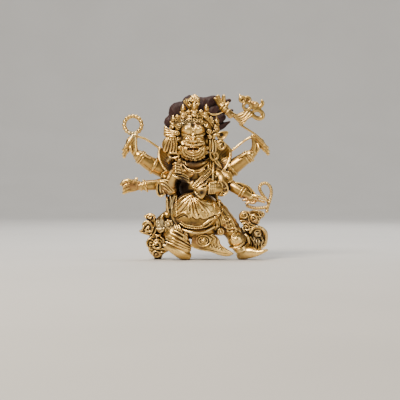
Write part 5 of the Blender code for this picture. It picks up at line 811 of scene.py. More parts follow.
def hip_flowers(c):
    """Leaves and flower heads of the sash at the hip."""
    c.pillow([(-32.8, 46.2), (-35.2, 41.4), (-38.6, 40.6), (-40.2, 36.0), (-39.6, 31.4), (-36.6, 27.6),
              (-33.0, 28.0), (-29.6, 31), (-29.0, 37), (-31, 41)], -8.4, 4.6)
    for line in ([(-32.8, 45.4), (-34.6, 41.6), (-34.4, 37.6), (-32.2, 34.6)],
                 [(-38.6, 39.8), (-39.2, 36.6), (-36.8, 33.8), (-34.0, 33.2)],
                 [(-39.0, 31.8), (-36.4, 30.8), (-33.6, 31.6)],
                 [(-35.6, 28.2), (-33.4, 29.4), (-31.6, 32.0)]):
        c.tube([(x, -12.4, z) for x, z in line], [0.7, 1.2, 1.1, 0.8][: len(line)], sides=8)
    for x, z in ((-36.8, 37.4), (-36.4, 34.6)):
        c.ball((x, -12.6, z), 1.3, sides=8)
    c.ball((-27.0, -10.6, 36.2), (4.6, 4.4, 4.6))
    for turn in range(7):
        a = 2 * math.pi * turn / 7
        c.ball((-27.0 + 3.2 * math.cos(a), -13.8, 36.2 + 3.2 * math.sin(a)), (1.7, 1.5, 1.7), sides=8)
    c.ball((-27.0, -15.0, 36.2), 2.0, sides=10)
    for i in range(4):
        c.tube([(-29.2 + 1.5 * i, -13.4, 32.8), (-30.4 + 2.0 * i, -14.0, 29.4)], [0.75, 0.6], sides=8)
    for x in (-19.6, -17.4, -15.2):
        c.tube([(x - 1.6, -16.2, 35.2), (x, -18.2, 31.4), (x + 1.6, -18.2, 27.8)], 0.8, sides=8)
    c.ball((-17.4, -14.6, 31), (4, 3.4, 4.4))


def left_cluster(c):
    """Scarf ends at the left, heaped from the hip down to the ground."""
    c.tube([(-28, -4, 44), (-34, 0, 38), (-40, 3, 30), (-40, 5, 22)], [6, 6.5, 6.5, 7], [5, 5, 5, 6])
    c.pillow([(-52.2, 44.2), (-48.5, 46.0), (-45.2, 46.9), (-41.8, 45.4), (-40.0, 42), (-40.6, 38.4),
              (-45, 37.6), (-48.6, 39.8), (-50.6, 41.4)], -1.4, 3.2, lean=-0.12)
    c.tube([(x, -4.4 - 0.12 * (x + 45), z) for x,
            z in [(-51.6, 44.0), (-48.4, 45.2), (-45.2, 45.9), (-41.9, 44.4), (-41.0, 41.2),
                  (-43.0, 38.6)]], [0.7, 0.9, 1.0, 1.0, 1.0, 0.8], sides=8)
    c.tube([(x, -4.8 - 0.12 * (x + 45), z) for x,
            z in [(-50.8, 42.8), (-48.0, 43.0), (-45.6, 41.2), (-44.2, 43.2), (-45.8, 44.2)]], 0.75,
            sides=8)
    c.pillow([(-57.2, 29.0), (-53.6, 31.8), (-54.2, 35.6), (-51.8, 38.6), (-47.4, 39.6), (-43.4, 39.0),
              (-41, 34), (-42, 27), (-46.4, 24.4), (-51.2, 25.4), (-55, 26.8)], -1.6, 3.6, lean=-0.1)
    for line, wide in (
        ([(-56.6, 29.0), (-53.6, 30.2), (-52.4, 33.0), (-53.0, 36.0), (-50.8, 38.2), (-47.0, 38.4),
          (-44.8, 36.4)], 0.95),
        ([(-51.4, 36.4), (-49.0, 37.2), (-46.4, 35.8), (-45.0, 33.0)], 0.7),
        ([(-52.6, 29.6), (-49.4, 31.6), (-46.6, 30.2), (-45.8, 27.2)], 0.9),
        ([(-54.8, 27.4), (-50.6, 27.4), (-47.6, 26.0)], 0.8),
        ([(-41.6, 41.4), (-41.0, 36.4), (-42.4, 31.4), (-45.6, 25.4)], 1.0),
        ([(-39.4, 38.8), (-39.0, 34.4), (-40.4, 29.4), (-43.0, 24.6)], 1.0),
    ):
        c.tube([(x, -5.2 - 0.1 * (x + 48), z) for x, z in line],
               [0.7 * wide] + [wide] * (len(line) - 2) + [0.7 * wide], sides=8)
    c.pillow([(-49.9, 17), (-47.6, 21.9), (-43.5, 24.4), (-38.6, 25), (-33.4, 24.0), (-30.4, 20),
              (-30.0, 14), (-26.9, 9.4), (-31.6, 6.2), (-35.4, 3.2), (-39.6, 2.0), (-44.4, 4.4),
              (-47.6, 8.6), (-48.4, 12.6)],
             2.4, 6.2)
    c.ball((-38.6, 9, 15), (8.4, 9.0, 10))
    c.curl((-38.4, -5.0, 15.2), 5.0, 1.25, 1.3, angle=80, tight=0.34)
    c.ball((-38.2, -4.0, 15.0), (1.3, 2.4, 1.3), sides=8)
    for line, wide, y in (
        ([(-48.6, 14.0), (-48.9, 18.0), (-45.4, 21.8), (-41.6, 23.0)], 1.15, -2.6),
        ([(-46.0, 12.6), (-45.6, 16.8), (-43.4, 19.8)], 0.9, -3.6),
        ([(-39.4, 23.8), (-39.2, 20.4)], 0.9, -4.8),
        ([(-34.8, 22.8), (-32.2, 20.6), (-32.6, 17.2)], 1.3, -4.6),
        ([(-36.8, 20.6), (-34.6, 19.2), (-34.0, 16.6)], 0.8, -4.8),
        ([(-46.8, 9.4), (-44.2, 7.6), (-40.4, 8.6), (-36.8, 7.4), (-33.4, 8.0), (-30.4, 7.8)], 0.95, -3.2),
        ([(-47.0, 11.6), (-43.8, 10.0), (-40.4, 9.8)], 0.8, -3.4),
        ([(-34.6, 11.6), (-31.4, 11.0), (-28.6, 9.8)], 1.2, -3.6),
        ([(-33.4, 14.6), (-30.6, 13.6)], 1.2, -3.8),
    ):
        c.tube([(x, y, z) for x, z in line], [0.75 * wide] + [wide] * (len(line) - 2) + [0.6 * wide],
               sides=8)
    c.tube([(-39, 10, 9), (-39, 15, 4), (-39, 17, 2.4)], [5.4, 5.0, 4.4], [5, 4.6, 4.0])
    c.tube([(-31, 0, 26), (-27, 2, 20), (-22, 0, 16)], [4.6, 4.4, 4])
    c.tube([(-34.6, -4, 26), (-37.4, -4.4, 24.2), (-40.6, -4.0, 25.4)], [1.0, 1.3, 1.0])


def right_cluster(c):
    """Scarf ends at the right, rising from behind the foot."""
    c.tube([(44, 4, 12), (50, 8, 17), (53, 8, 26), (53, 6, 36), (53, 4, 42)], [5, 6, 5, 5.5, 5],
           [4, 4, 3.6, 4, 4])
    c.pillow([(43.6, 46.4), (47.4, 49.6), (53.6, 49.0), (58.6, 50.2), (63.4, 49.8), (68.6, 47.4),
              (68.8, 43.6), (64.8, 40.4), (63.6, 36.8), (60.4, 33.4), (57.0, 28.4), (52.6, 26.6),
              (48.4, 27.4), (46.8, 31.2), (47.6, 34.4), (44.2, 38.0), (43.2, 41.4)], 0.6, 4.6)
    c.curl((48.6, -4.2, 44.8), 3.2, 1.3, 0.95, angle=150)
    c.curl((57.4, -4.6, 41.0), 4.0, 1.4, 1.0, angle=-60)
    for line, wide in (
        ([(52.4, 48.6), (54.4, 45.0), (58.6, 45.8), (62.6, 43.6), (66.6, 43.4), (68.0, 46.0)], 0.9),
        ([(61.2, 49.4), (63.0, 46.6), (62.6, 43.8)], 0.6),
        ([(63.6, 49.0), (65.2, 46.4), (65.0, 43.6)], 0.6), ([(66.0, 48.4), (67.4, 46.0)], 0.6),
        ([(44.2, 38.8), (48.0, 39.4), (51.6, 37.6), (55.2, 36.4), (58.8, 34.0)], 0.9),
        ([(46.0, 36.0), (49.6, 37.0), (53.6, 34.6), (56.6, 31.6)], 0.75),
        ([(47.8, 33.6), (50.6, 34.4), (53.0, 32.0), (51.2, 29.8), (48.4, 30.4)], 0.8),
        ([(60.4, 37.6), (57.4, 34.4), (53.8, 29.6)], 0.8),
    ):
        c.tube([(x, -3.9, z) for x, z in line], [0.7 * wide] + [wide] * (len(line) - 2) + [0.7 * wide],
               sides=8)
    rim = [(54.0, -3, 27.6), (57.0, -3.4, 31.4), (61.4, -3.6, 32.8), (66.2, -3.2, 31.2), (69.8, -2, 27.2),
           (70.6, 0, 21.0), (69.0, 0, 15.0), (65.0, 0, 11.6)]
    c.tube(rim, [1.4, 1.7, 1.9, 1.9, 1.8, 1.7, 1.6, 1.4], [1.6, 1.8, 2.0, 2.0, 1.9, 1.8, 1.6, 1.5])
    c.pillow([(52.6, 25), (56, 31), (61.4, 33.4), (67.4, 31.2), (70.6, 25), (70.2, 17), (66, 10.6),
              (60, 8.6), (54.6, 11.6), (51.8, 18)], 5.0, 2.6, lean=-0.05)
    c.curl((62, -1.8, 26.2), 3.7, 1.4, 1.0, angle=60)
    c.tube([(62, 5, 26.2), (62, -1.0, 26.2)], [3.4, 2.4])
    for i in range(3):
        c.tube([(55.0 + 3.6 * i, 2.2, 22.6 - i), (58 + 3.4 * i, 1.4, 18 - 0.8 * i),
                (60.4 + 3 * i, 2, 12.8)], [1.1, 1.5, 1.1], sides=8)
    c.tube([(65.4, 0.8, 23), (67.0, 0.4, 19), (65.6, 0.8, 14)], [0.8, 1.1, 0.8], sides=8)
    c.tube([(49.6, -3.6, 25.4), (51.8, -4.4, 22), (53.0, -3.4, 17)], [1.5, 1.9, 1.4])
    c.tube([(48, 0, 31), (47, 0, 26), (49, 0, 20)], [3, 3, 3])


BODY_PARTS = (torso, arms, hands, feet)
JEWEL_PARTS = (crown, ear_bows, collar, armlets)
HAIR_PARTS = (hair,)
DRESS_PARTS = (hide, sash, chest_hands, sleeves, apron, flap, trousers, hip_flowers)
SCARF_PARTS = (left_cluster, right_cluster)


def heap(parts):
    c = Clay()
    for part in parts:
        part(c)
    return c


# Held pieces

def trident():
    c = Clay()
    y = -6
    c.tube([(44, y, 135.2), (50.3, y, 131.2), (56, y - 0.6, 127.6), (61, y - 1.4, 124), (64.8, y - 2, 120),
            (68, y - 2.6, 115.8)],
           [STAFF_RADIUS] * 4 + [STAFF_RADIUS - 0.05, STAFF_RADIUS - 0.15])
    for path, wide in [
        ([(26, y, 152), (23.8, y, 157), (21.8, y, 163.6)], [2.6, 2.9, 2.0]),
        ([(27, y, 152), (27.4, y, 158), (27.7, y, 163.8)], [2.3, 2.3, 1.8]),
        ([(25, y, 151), (23.4, y, 154.6), (21.4, y, 158), (18.8, y, 161)], [2.1, 2.0, 1.8, 1.3]),
        ([(28, y, 152), (30, y, 154.6), (32.0, y, 156.6)], [2.4, 2.3, 1.6]),
    ]:
        c.tube(path, wide, 1.5, sides=10)
        c.tube([(p[0], p[1] - 1.3, p[2]) for p in path], 0.5, sides=8)
    grip = [(25.6, y, 154), (30, y, 149.6), (35, y, 144.6)]
    c.tube(grip, [3.6, 3.3, 3.8], 2.9)
    bands_round(c, grip, [0.06, 0.3, 0.42, 0.66], 3.2, 0.8)
    c.ball((30.4, y - 2.6, 149.8), (1.6, 1.0, 1.6), sides=10)
    c.pillow([(33.0, 148.0), (34.8, 144.8), (38.4, 141.0), (42.4, 137.0), (45.6, 133.9), (48.4, 136.2),
              (51.8, 140.2), (56.4, 143.2), (58.4, 146.0), (56.0, 149.0), (51, 149.6), (46.6, 148.4),
              (40.6, 145.6), (37.0, 147.4)], y, 1.9)
    for line in ([(36.1, 146.0), (41, 143.8), (45.8, 145.4), (47.8, 148.2)],
                 [(37.3, 143.8), (42.6, 141.8), (48.2, 144.0), (51.2, 148.0)],
                 [(39.0, 141.7), (44, 139.8), (50, 142.4), (54.2, 147.0)],
                 [(41.2, 139.4), (45.4, 137.8), (50.6, 140.8), (56.2, 145.2)],
                 [(43.4, 137.1), (46.2, 135.8), (49.6, 138.4)]):
        c.tube([(x, y - 1.7, z) for x, z in line], [0.5] + [0.85] * (len(line) - 2) + [0.6], sides=8)
    for at, radius, half, fill in [((46.3, 160.4), 2.6, 1.4, 2.2), ((51.2, 159.7), 2.9, 1.5, 2.4),
                                   ((50.9, 153.6), 3.5, 1.75, 0.0)]:
        hoop = hooped((at[0], y - 1, at[1]), radius, radius, 10)
        c.tube(hoop, half, 1.6, closed=True, steps=2, sides=8)
        if fill:
            c.ball((at[0], y - 0.4, at[1]), (fill, 0.9, fill), sides=10)
    c.tube([(45, y - 1, 161.6), (43.4, y - 1, 165.0)], [2.0, 0.8])
    c.tube([(50, y, 146), (50.8, y, 150.4)], [3.6, 2.6], 1.7)
    c.tube([(54, y, 152.4), (57.6, y, 153.6)], [2.3, 2.8], 1.7)
    c.ball((59.6, y - 0.4, 155.0), (3.2, 2.2, 3.4), sides=14)
    c.ball((56.8, y - 0.2, 157.0), (2.4, 1.9, 2.0), sides=12)
    c.ball((58.8, y, 151.4), (2.6, 1.8, 2.8), sides=12)
    c.tube([(60.6, y, 151.4), (64.2, y, 153.2), (66.4, y, 156.4), (65.8, y, 159.4)], [1.9, 2.1, 2.0, 1.2],
           1.5)
    c.tube([(58, y, 149.4), (62.4, y, 149.7), (66.0, y, 147.0), (66.4, y, 143.0), (63.3, y, 141.3),
            (59.6, y, 142.3), (56.6, y, 144.6)], [2.2, 2.1, 2.2, 2.3, 2.3, 2.2, 2.2], 1.7)
    return c


def rosary():
    c = Clay()
    x, y, z = ROSARY_CENTRE
    ring = []
    for i in range(ROSARY_BEADS):
        a = 2 * math.pi * i / ROSARY_BEADS
        at = (x + ROSARY_RADIUS * math.cos(a), y, z + ROSARY_RADIUS * math.sin(a))
        ring.append(at)
        c.ball(at, (ROSARY_BEAD, 2.0, ROSARY_BEAD), sides=10)
    c.tube(ring, 1.5, closed=True, steps=2, sides=8)
    return c


def noose():
    c = Clay()
    low = [(51.4, -7.6, 54.2), (55.6, -8, 52.6), (60, -8, 52), (66, -8, 52.2), (70.4, -7.6, 53)]
    loop = [(70.8, -7.4, 49), (71.6, -7.4, 53.4), (73.4, -7.4, 59), (74.8, -7.4, 64.4), (75.0, -7.4, 69.6),
            (73.2, -7.4, 74.4), (69, -7.4, 77),
            (64.8, -7.4, 75.4), (63.4, -7.4, 71.6), (65.6, -7.2, 66.6), (69.4, -6.8, 61.4),
            (72.6, -6.6, 57.6)]
    for path in (low, loop):
        c.tube(path, ROPE_RADIUS, sides=8)
        c.row(path, ROPE_RADIUS + 0.35, 2.3)
    c.ball((70.8, -7.4, 48.8), 1.7)
    return c


# Fine meshes

def baked(thing, name):
    """A new plain object with the shape that a thing's modifiers give it."""
    graph = bpy.context.evaluated_depsgraph_get()
    mesh = bpy.data.meshes.new_from_object(thing.evaluated_get(graph))
    mesh.name = name
    made = bpy.data.objects.new(name, mesh)
    bpy.context.scene.collection.objects.link(made)
    held = thing.data
    bpy.data.objects.remove(thing)
    bpy.data.meshes.remove(held)
    made.name = name
    return made


def read_points(mesh):
    flat = np.empty(3 * len(mesh.vertices), np.float32)
    mesh.vertices.foreach_get("co", flat)
    return flat.reshape(-1, 3).astype(float) * 1000


def read_normals(mesh):
    flat = np.empty(3 * len(mesh.vertices), np.float32)
    mesh.vertex_normals.foreach_get("vector", flat)
    return flat.reshape(-1, 3).astype(float)


def read_edges(mesh):
    flat = np.empty(2 * len(mesh.edges), np.int32)
    mesh.edges.foreach_get("vertices", flat)
    return flat.reshape(-1, 2)


def read_faces(mesh):
    mesh.calc_loop_triangles()
    flat = np.empty(3 * len(mesh.loop_triangles), np.int32)
    mesh.loop_triangles.foreach_get("vertices", flat)
    return flat.reshape(-1, 3)


def whole_bodies(points, edges, faces, least):
    """The points that belong to outward facing bodies of more than the least volume."""
    label = np.arange(len(points))
    while True:
        low = np.minimum(label[edges[:, 0]], label[edges[:, 1]])
        new = label.copy()
        np.minimum.at(new, edges[:, 0], low)
        np.minimum.at(new, edges[:, 1], low)
        new = new[new]
        if (new == label).all():
            break
        label = new
    corners = points[faces]
    volume = np.einsum("ij,ij->i", corners[:, 0], np.cross(corners[:, 1], corners[:, 2])) / 6
    total = np.bincount(label[faces[:, 0]], volume, minlength=len(points))
    return total[label] > least


def spread(values, edges, times, share=0.5):
    """Values at points, evened out over their neighbours."""
    count = len(values)
    degree = np.maximum(np.bincount(edges.ravel(), minlength=count), 1)[:, None]
    for _ in range(times):
        near = np.stack([
            np.bincount(edges[:, 0], values[edges[:, 1], k], minlength=count)
            + np.bincount(edges[:, 1], values[edges[:, 0], k], minlength=count)
            for k in range(values.shape[1])
        ], axis=1)
        values = values * (1 - share) + share * near / degree
    return values


def distance_to(points, path):
    """How far flat points are from a flat polyline."""
    best = np.full(len(points), 1e9)
    for a, b in zip(path[:-1], path[1:]):
        run = b - a
        size = max(float(run @ run), 1e-9)
        t = np.clip((points - a) @ run / size, 0, 1)
        best = np.minimum(best, ((points - a - t[:, None] * run) ** 2).sum(1))
    return np.sqrt(best)


def worked(points, normals, strokes, far=30.0):
    """How far the tool strokes of the front move each point along its normal.

    A stroke is a line, a half width and a height.
    """
    flat = points[:, [0, 2]] - (MIDDLE_TO_ORIGIN[0], MIDDLE_TO_ORIGIN[2])
    depth = points[:, 1] - MIDDLE_TO_ORIGIN[1]
    facing = np.clip((-normals[:, 1] - 0.08) * 2.2, 0, 1) * (depth < far)
    move = np.zeros(len(points))
    for line, wide, height in strokes:
        line = np.asarray(line, float)
        path = through(line, 5 * len(line)) if len(line) > 2 else line
        low = path.min(0) - 2.5 * wide
        high = path.max(0) + 2.5 * wide
        near = np.flatnonzero(((flat > low) & (flat < high)).all(1) & (facing > 0))
        if not len(near):
            continue
        if len(path) == 1:
            gap = np.hypot(*(flat[near] - path[0]).T)
        else:
            gap = distance_to(flat[near], path)
        move[near] += height * np.exp(-((gap / wide) ** 2)) * facing[near]
    return move


def both_sides(middle, strokes):
    """The strokes and their mirror images about a middle X."""
    made = []
    for line, wide, height in strokes:
        made.append(([(middle + x, z) for x, z in line], wide, height))
        made.append(([(middle - x, z) for x, z in line], wide, height))
    return made


# Cubic millimetres: a smaller body is a crumb that the fusing left.
LEAST_BODY = 2.0


def dense(clay, name, voxel, triangles, soften=2, relief=None, least=LEAST_BODY):
    """Fuses a heap of shells into a fine mesh, carves its relief and thins it to the wanted count."""
    heap = clay.object(name + "_heap")
    fuse = heap.modifiers.new("Fuse", "REMESH")
    fuse.mode = "VOXEL"
    fuse.voxel_size = voxel * MM
    soft = heap.modifiers.new("Soften", "SMOOTH")
    soft.factor = 0.5
    soft.iterations = soften
    thing = baked(heap, name + "_fine")
    mesh = thing.data
    points, edges, faces = read_points(mesh), read_edges(mesh), read_faces(mesh)
    keep = whole_bodies(points, edges, faces, least)
    normals = read_normals(mesh)
    move = relief(points, normals) if relief else np.zeros(len(points))
    points = points + normals * move[:, None]
    small = spread(points, edges, 3)
    large = spread(small, edges, 14)
    bulge = ((small - large) * normals).sum(1)
    edge = ((points - small) * normals).sum(1)
    points[:, 2] = np.maximum(points[:, 2], 0.0)
    mesh.vertices.foreach_set("co", (points * MM).ravel())
    layer = mesh.attributes.new("form", "FLOAT", "POINT")
    layer.data.foreach_set("value",
                           (bulge + 1.8 * edge + 0.3 * np.clip(move, -0.8, 0.3)).astype(np.float32))
    if not keep.all():
        drop_points(mesh, ~keep)
    thin = thing.modifiers.new("Thin", "DECIMATE")
    thin.ratio = min(1.0, triangles / (2.0 * len(mesh.polygons)))
    made = baked(thing, name)
    made.data.polygons.foreach_set("use_smooth", np.ones(len(made.data.polygons), bool))
    return made


def drop_points(mesh, dropped):
    """Deletes the marked points with everything on them."""
    work = bmesh.new()
    work.from_mesh(mesh)
    work.verts.ensure_lookup_table()
    index = np.flatnonzero(dropped)
    bmesh.ops.delete(work, geom=[work.verts[int(i)] for i in index], context="VERTS")
    work.to_mesh(mesh)
    work.free()


# Shade of the recesses, from a grid of filled cells

class Mass:
    """A coarse grid that holds how full the space is at each place."""

    CELL = 0.9

    def __init__(self, things):
        self.low = np.array([-84.0, -32.0, -6.0])
        self.shape = tuple(np.ceil((np.array([84.0, 34.0, 172.0]) - self.low) / self.CELL).astype(int))
        self.full = np.zeros(self.shape, np.float32)
        for thing in things:
            self.fill(thing)
        # The space below the floor counts as partly full, which paints shade on points near the ground.
        self.full[:, :, : int((0 - self.low[2]) / self.CELL)] = 0.6
        self.soft = {}
        for size in (1.5, 3.5, 7.0):
            self.soft[size] = self.blurred(size)

    def fill(self, thing):
        points, faces = read_points(thing.data), read_faces(thing.data)
        corners = points[faces]
        centre = corners.mean(1)
        area = np.cross(corners[:, 1] - corners[:, 0], corners[:, 2] - corners[:, 0])
        # Each triangle casts its area on the plane of X and Z: a signed sum along Y gives the filled cells.
        weight = area[:, 1] / 2 / self.CELL**2
        cell = np.floor((centre - self.low) / self.CELL).astype(int)
        ok = ((cell >= 0) & (cell < self.shape)).all(1)
        wall = np.zeros(self.shape, np.float32)
        np.add.at(wall, tuple(cell[ok].T), -weight[ok])
        inside = np.cumsum(wall, axis=1)
        self.full = np.maximum(self.full, np.clip(inside, 0, 1).astype(np.float32))

    def blurred(self, size):
        sigma = size / self.CELL
        reach = int(math.ceil(2.5 * sigma))
        kernel = np.exp(-0.5 * (np.arange(-reach, reach + 1) / sigma) ** 2)
        kernel /= kernel.sum()
        grid = self.full
        for axis in range(3):
            out = np.zeros_like(grid)
            for k, w in zip(range(-reach, reach + 1), kernel):
                here = [slice(None)] * 3
                there = [slice(None)] * 3
                here[axis] = slice(max(0, k), grid.shape[axis] + min(0, k))
                there[axis] = slice(max(0, -k), grid.shape[axis] + min(0, -k))
                out[tuple(here)] += w * grid[tuple(there)]
            grid = out
        return grid

    def at(self, points, size):
        grid = self.soft[size]
        spot = (points - self.low) / self.CELL - 0.5
        spot = np.clip(spot, 0, np.array(self.shape) - 1.001)
        base = spot.astype(int)
        part = spot - base
        total = np.zeros(len(points))
        for dx in (0, 1):
            for dy in (0, 1):
                for dz in (0, 1):
                    share = (part[:, 0] if dx else 1 - part[:, 0]) * (part[:, 1] if dy else 1 - part[:, 1])
                    share = share * (part[:, 2] if dz else 1 - part[:, 2])
                    total += share * grid[base[:, 0] + dx, base[:, 1] + dy, base[:, 2] + dz]
        return total


# Places in the front view with their own tarnish, and places with painted shade and painted highlight: the
# middle, the half sizes and the strength.
# Dark patches: tarnish, with painted shade in the hollows, strongest in the one left of the belly.
SOOTY_AND_SHADED = [((-14, 75), (6, 6.6), 2.4), ((-3, 37.6), (15, 4.0), 0.5), ((-2, 96), (10, 4), 0.55),
         ((4, 84), (14, 8), 0.4), ((-18, 96), (10, 10), 0.4), ((18, 100), (8, 10), 0.45),
         ((47, 93), (11, 10), 0.28),
         ((-50, 92), (11, 10), 0.22),
         ((-33, 70), (7, 6), 0.25), ((28, 72), (6, 6), 0.2), ((-42, 20), (9, 12), 0.15),
         ((60, 18), (7, 6), 0.5), ((0, 66.6), (20, 3.4), 0.45),
         ((5.8, 67.6), (2.4, 2.6), 0.6), ((-28, 100), (6, 9), 0.3), ((29, 103), (5, 9), 0.3),
         ((-38.2, 15), (3, 3), 0.4), ((25.2, 125.4), (1.5, 1.6), 0.8)]
RUSTY = [((-3, 110), (5, 3), 1.0), ((-63, 74), (6, 4), 0.8), ((60, 57), (6, 3), 0.7),
         ((-24, 74), (6, 5), 0.6), ((0, 30), (16, 3), 0.5), ((-2, 19), (5, 4), 0.7),
         ((48, 60), (5, 5), 0.6), ((30, 30), (6, 6), 0.5), ((-45, 27), (6, 4), 0.5),
         ((-2, 94), (12, 5), 0.7), ((54, 38), (6, 5), 0.5), ((-36, 8), (6, 5), 0.5)]
HAZY = [((-36, 36), (5, 7), 0.9), ((-24, 60), (4, 8), 0.9), ((15, 62), (8, 5), 0.7),
        ((-10, 137), (10, 4), 0.7), ((46, 26), (3, 6), 0.9), ((-64, 127), (5, 5), 0.9),
        ((62, 22), (6, 9), 0.7), ((-31, 17), (4, 5), 0.8), ((48, 55), (5, 6), 0.5),
        ((-26, 100), (4, 4), 0.6), ((60, 46), (8, 4), 0.4)]
# Pale, smooth patches: wear, with painted highlights on the feet, knees, belly, face and hands.
POLISHED_AND_HIGHLIGHTS = [((-20, 10), (12, 5), 0.5), ((41, 21), (7, 7), 0.5), ((58, 8), (12, 5), 0.5),
            ((1, 53), (15, 7), 0.3), ((-2.7, 122), (12, 12), 0.25), ((46, 95), (9, 8), 0.05),
            ((-46, 92), (9, 8), 0.05), ((-12, 82), (6, 4), 0.6), ((24, 9), (12, 4), 0.4),
            ((62, 62), (8, 3), 0.6), ((-60, 118), (3, 9), 0.5), ((9, 68), (4, 5), 0.4)]
# Patches where the dirt and painted shade are taken away.
RUBBED = [((-21, 20), (13, 9), 0.4), ((59, 14), (8, 8), 0.35), ((-26, 115), (8, 9), 0.3),
          ((-26, 128), (7, 5), 0.3), ((-2, 54), (16, 7), 0.12)]


# How strongly each piece takes its dirt and painted shade, next to the rest.
DIRT_AND_SHADE = {"head_gilt": 0.6, "body_gilt": 0.85, "jewels_gilt": 0.85, "trident_gilt": 0.8, "rosary_gilt": 0.9}


def patches(flat, facing, places):
    """The strength of soft round patches at points of the front view."""
    total = np.zeros(len(flat))
    for middle, half, strength in places:
        total += strength * np.exp(-((flat - middle) ** 2 / np.square(half)).sum(1))
    return total * facing


def shaded(things):
    """Writes on every point its dirt and painted shade, from how hidden it is, its wear and painted
    highlight, from how raised and how hidden it is, and its stains.
    """
    mass = Mass(things)
    for thing in things:
        mesh = thing.data
        points, normals = read_points(mesh), read_normals(mesh)
        tight = mass.at(points + 1.6 * normals, 1.5)
        near = mass.at(points + 3.4 * normals, 3.5)
        wide = mass.at(points + 7.0 * normals, 7.0)
        form = np.empty(len(points), np.float32)
        mesh.attributes["form"].data.foreach_get("value", form)
        hidden = 1.1 * np.clip(tight - 0.16, 0, 1) + 0.9 * np.clip(near - 0.16, 0,
                                                                   1) + 0.5 * np.clip(wide - 0.2, 0, 1)
        away = np.clip(1 - 0.85 * np.clip(normals[:, 1], 0, 1), 0, 1)
        # Painted shade, with dirt: points hidden in recesses, between parts and near the ground are darkened.
        soot_and_shade = np.clip((1.4 * hidden * away - 1.7 * form) * DIRT_AND_SHADE.get(thing.name, 1.0), 0, 1)
        # Raised edges paler and smoother, as wear and as painted highlight; hidden points less so, as painted
        # shade.
        wear_and_highlight = np.clip(0.25 + 2.2 * form - 0.9 * hidden, 0, 1)
        flat = points[:, [0, 2]] - (MIDDLE_TO_ORIGIN[0], MIDDLE_TO_ORIGIN[2])
        facing = np.clip(0.4 - 1.5 * normals[:, 1], 0, 1)
        # The listed patches add tarnish and painted shade, take some away, and add wear and painted
        # highlights.
        soot_and_shade = np.clip(soot_and_shade + patches(flat, facing, SOOTY_AND_SHADED) * np.clip(1 - 1.4 * form, 0.2, 1), 0, 1)
        soot_and_shade = np.clip(soot_and_shade - patches(flat, facing, RUBBED), 0, 1)
        wear_and_highlight = np.clip(wear_and_highlight + patches(flat, facing, POLISHED_AND_HIGHLIGHTS), 0, 1)
        for name, values in (("soot_and_shade", soot_and_shade), ("wear_and_highlight", wear_and_highlight), ("rust", patches(flat, facing, RUSTY)),
                             ("haze", patches(flat, facing, HAZY))):
            layer = mesh.attributes.new(name, "FLOAT", "POINT")
            layer.data.foreach_set("value", values.astype(np.float32))
        mesh.attributes.remove(mesh.attributes["form"])


# Finishes

class Wires:
    """Short calls for a material's nodes."""

    def __init__(self, name):
        self.material = bpy.data.materials.new(name)
        self.material.use_nodes = True
        self.tree = self.material.node_tree
        self.shader = self.tree.nodes["Principled BSDF"]
        self.place = self.node("ShaderNodeTexCoord").outputs["Object"]

    def node(self, kind, **facts):
        made = self.tree.nodes.new(kind)
        for key, value in facts.items():
            setattr(made, key, value)
        return made

    def join(self, value, socket):
        if hasattr(value, "is_output"):
            self.tree.links.new(value, socket)
        else:
            socket.default_value = value

    def layer(self, name):
        return self.node("ShaderNodeAttribute", attribute_name=name).outputs["Fac"]

    def noise(self, scale, detail=3.0, rough=0.55, bend=0.0):
        made = self.node("ShaderNodeTexNoise")
        self.join(self.place, made.inputs["Vector"])
        made.inputs["Scale"].default_value = scale
        made.inputs["Detail"].default_value = detail
        made.inputs["Roughness"].default_value = rough
        made.inputs["Distortion"].default_value = bend
        return made.outputs["Fac"]

    def math(self, what, a, b=0.5, clamp=False):
        made = self.node("ShaderNodeMath", operation=what, use_clamp=clamp)
        self.join(a, made.inputs[0])
        self.join(b, made.inputs[1])
        return made.outputs[0]

    def span(self, value, low, high, to_low=0.0, to_high=1.0):
        made = self.node("ShaderNodeMapRange", interpolation_type="SMOOTHSTEP")
        self.join(value, made.inputs["Value"])
        made.inputs["From Min"].default_value = low
        made.inputs["From Max"].default_value = high
        made.inputs["To Min"].default_value = to_low
        made.inputs["To Max"].default_value = to_high
        return made.outputs["Result"]

    def mix(self, share, a, b):
        made = self.node("ShaderNodeMix", data_type="RGBA")
        self.join(share, made.inputs[0])
        self.join((*a, 1) if isinstance(a, tuple) else a, made.inputs[6])
        self.join((*b, 1) if isinstance(b, tuple) else b, made.inputs[7])
        return made.outputs[2]

    def bump(self, height, strength, distance):
        made = self.node("ShaderNodeBump")
        made.inputs["Strength"].default_value = strength
        made.inputs["Distance"].default_value = distance
        self.join(height, made.inputs["Height"])
        self.join(made.outputs["Normal"], self.shader.inputs["Normal"])


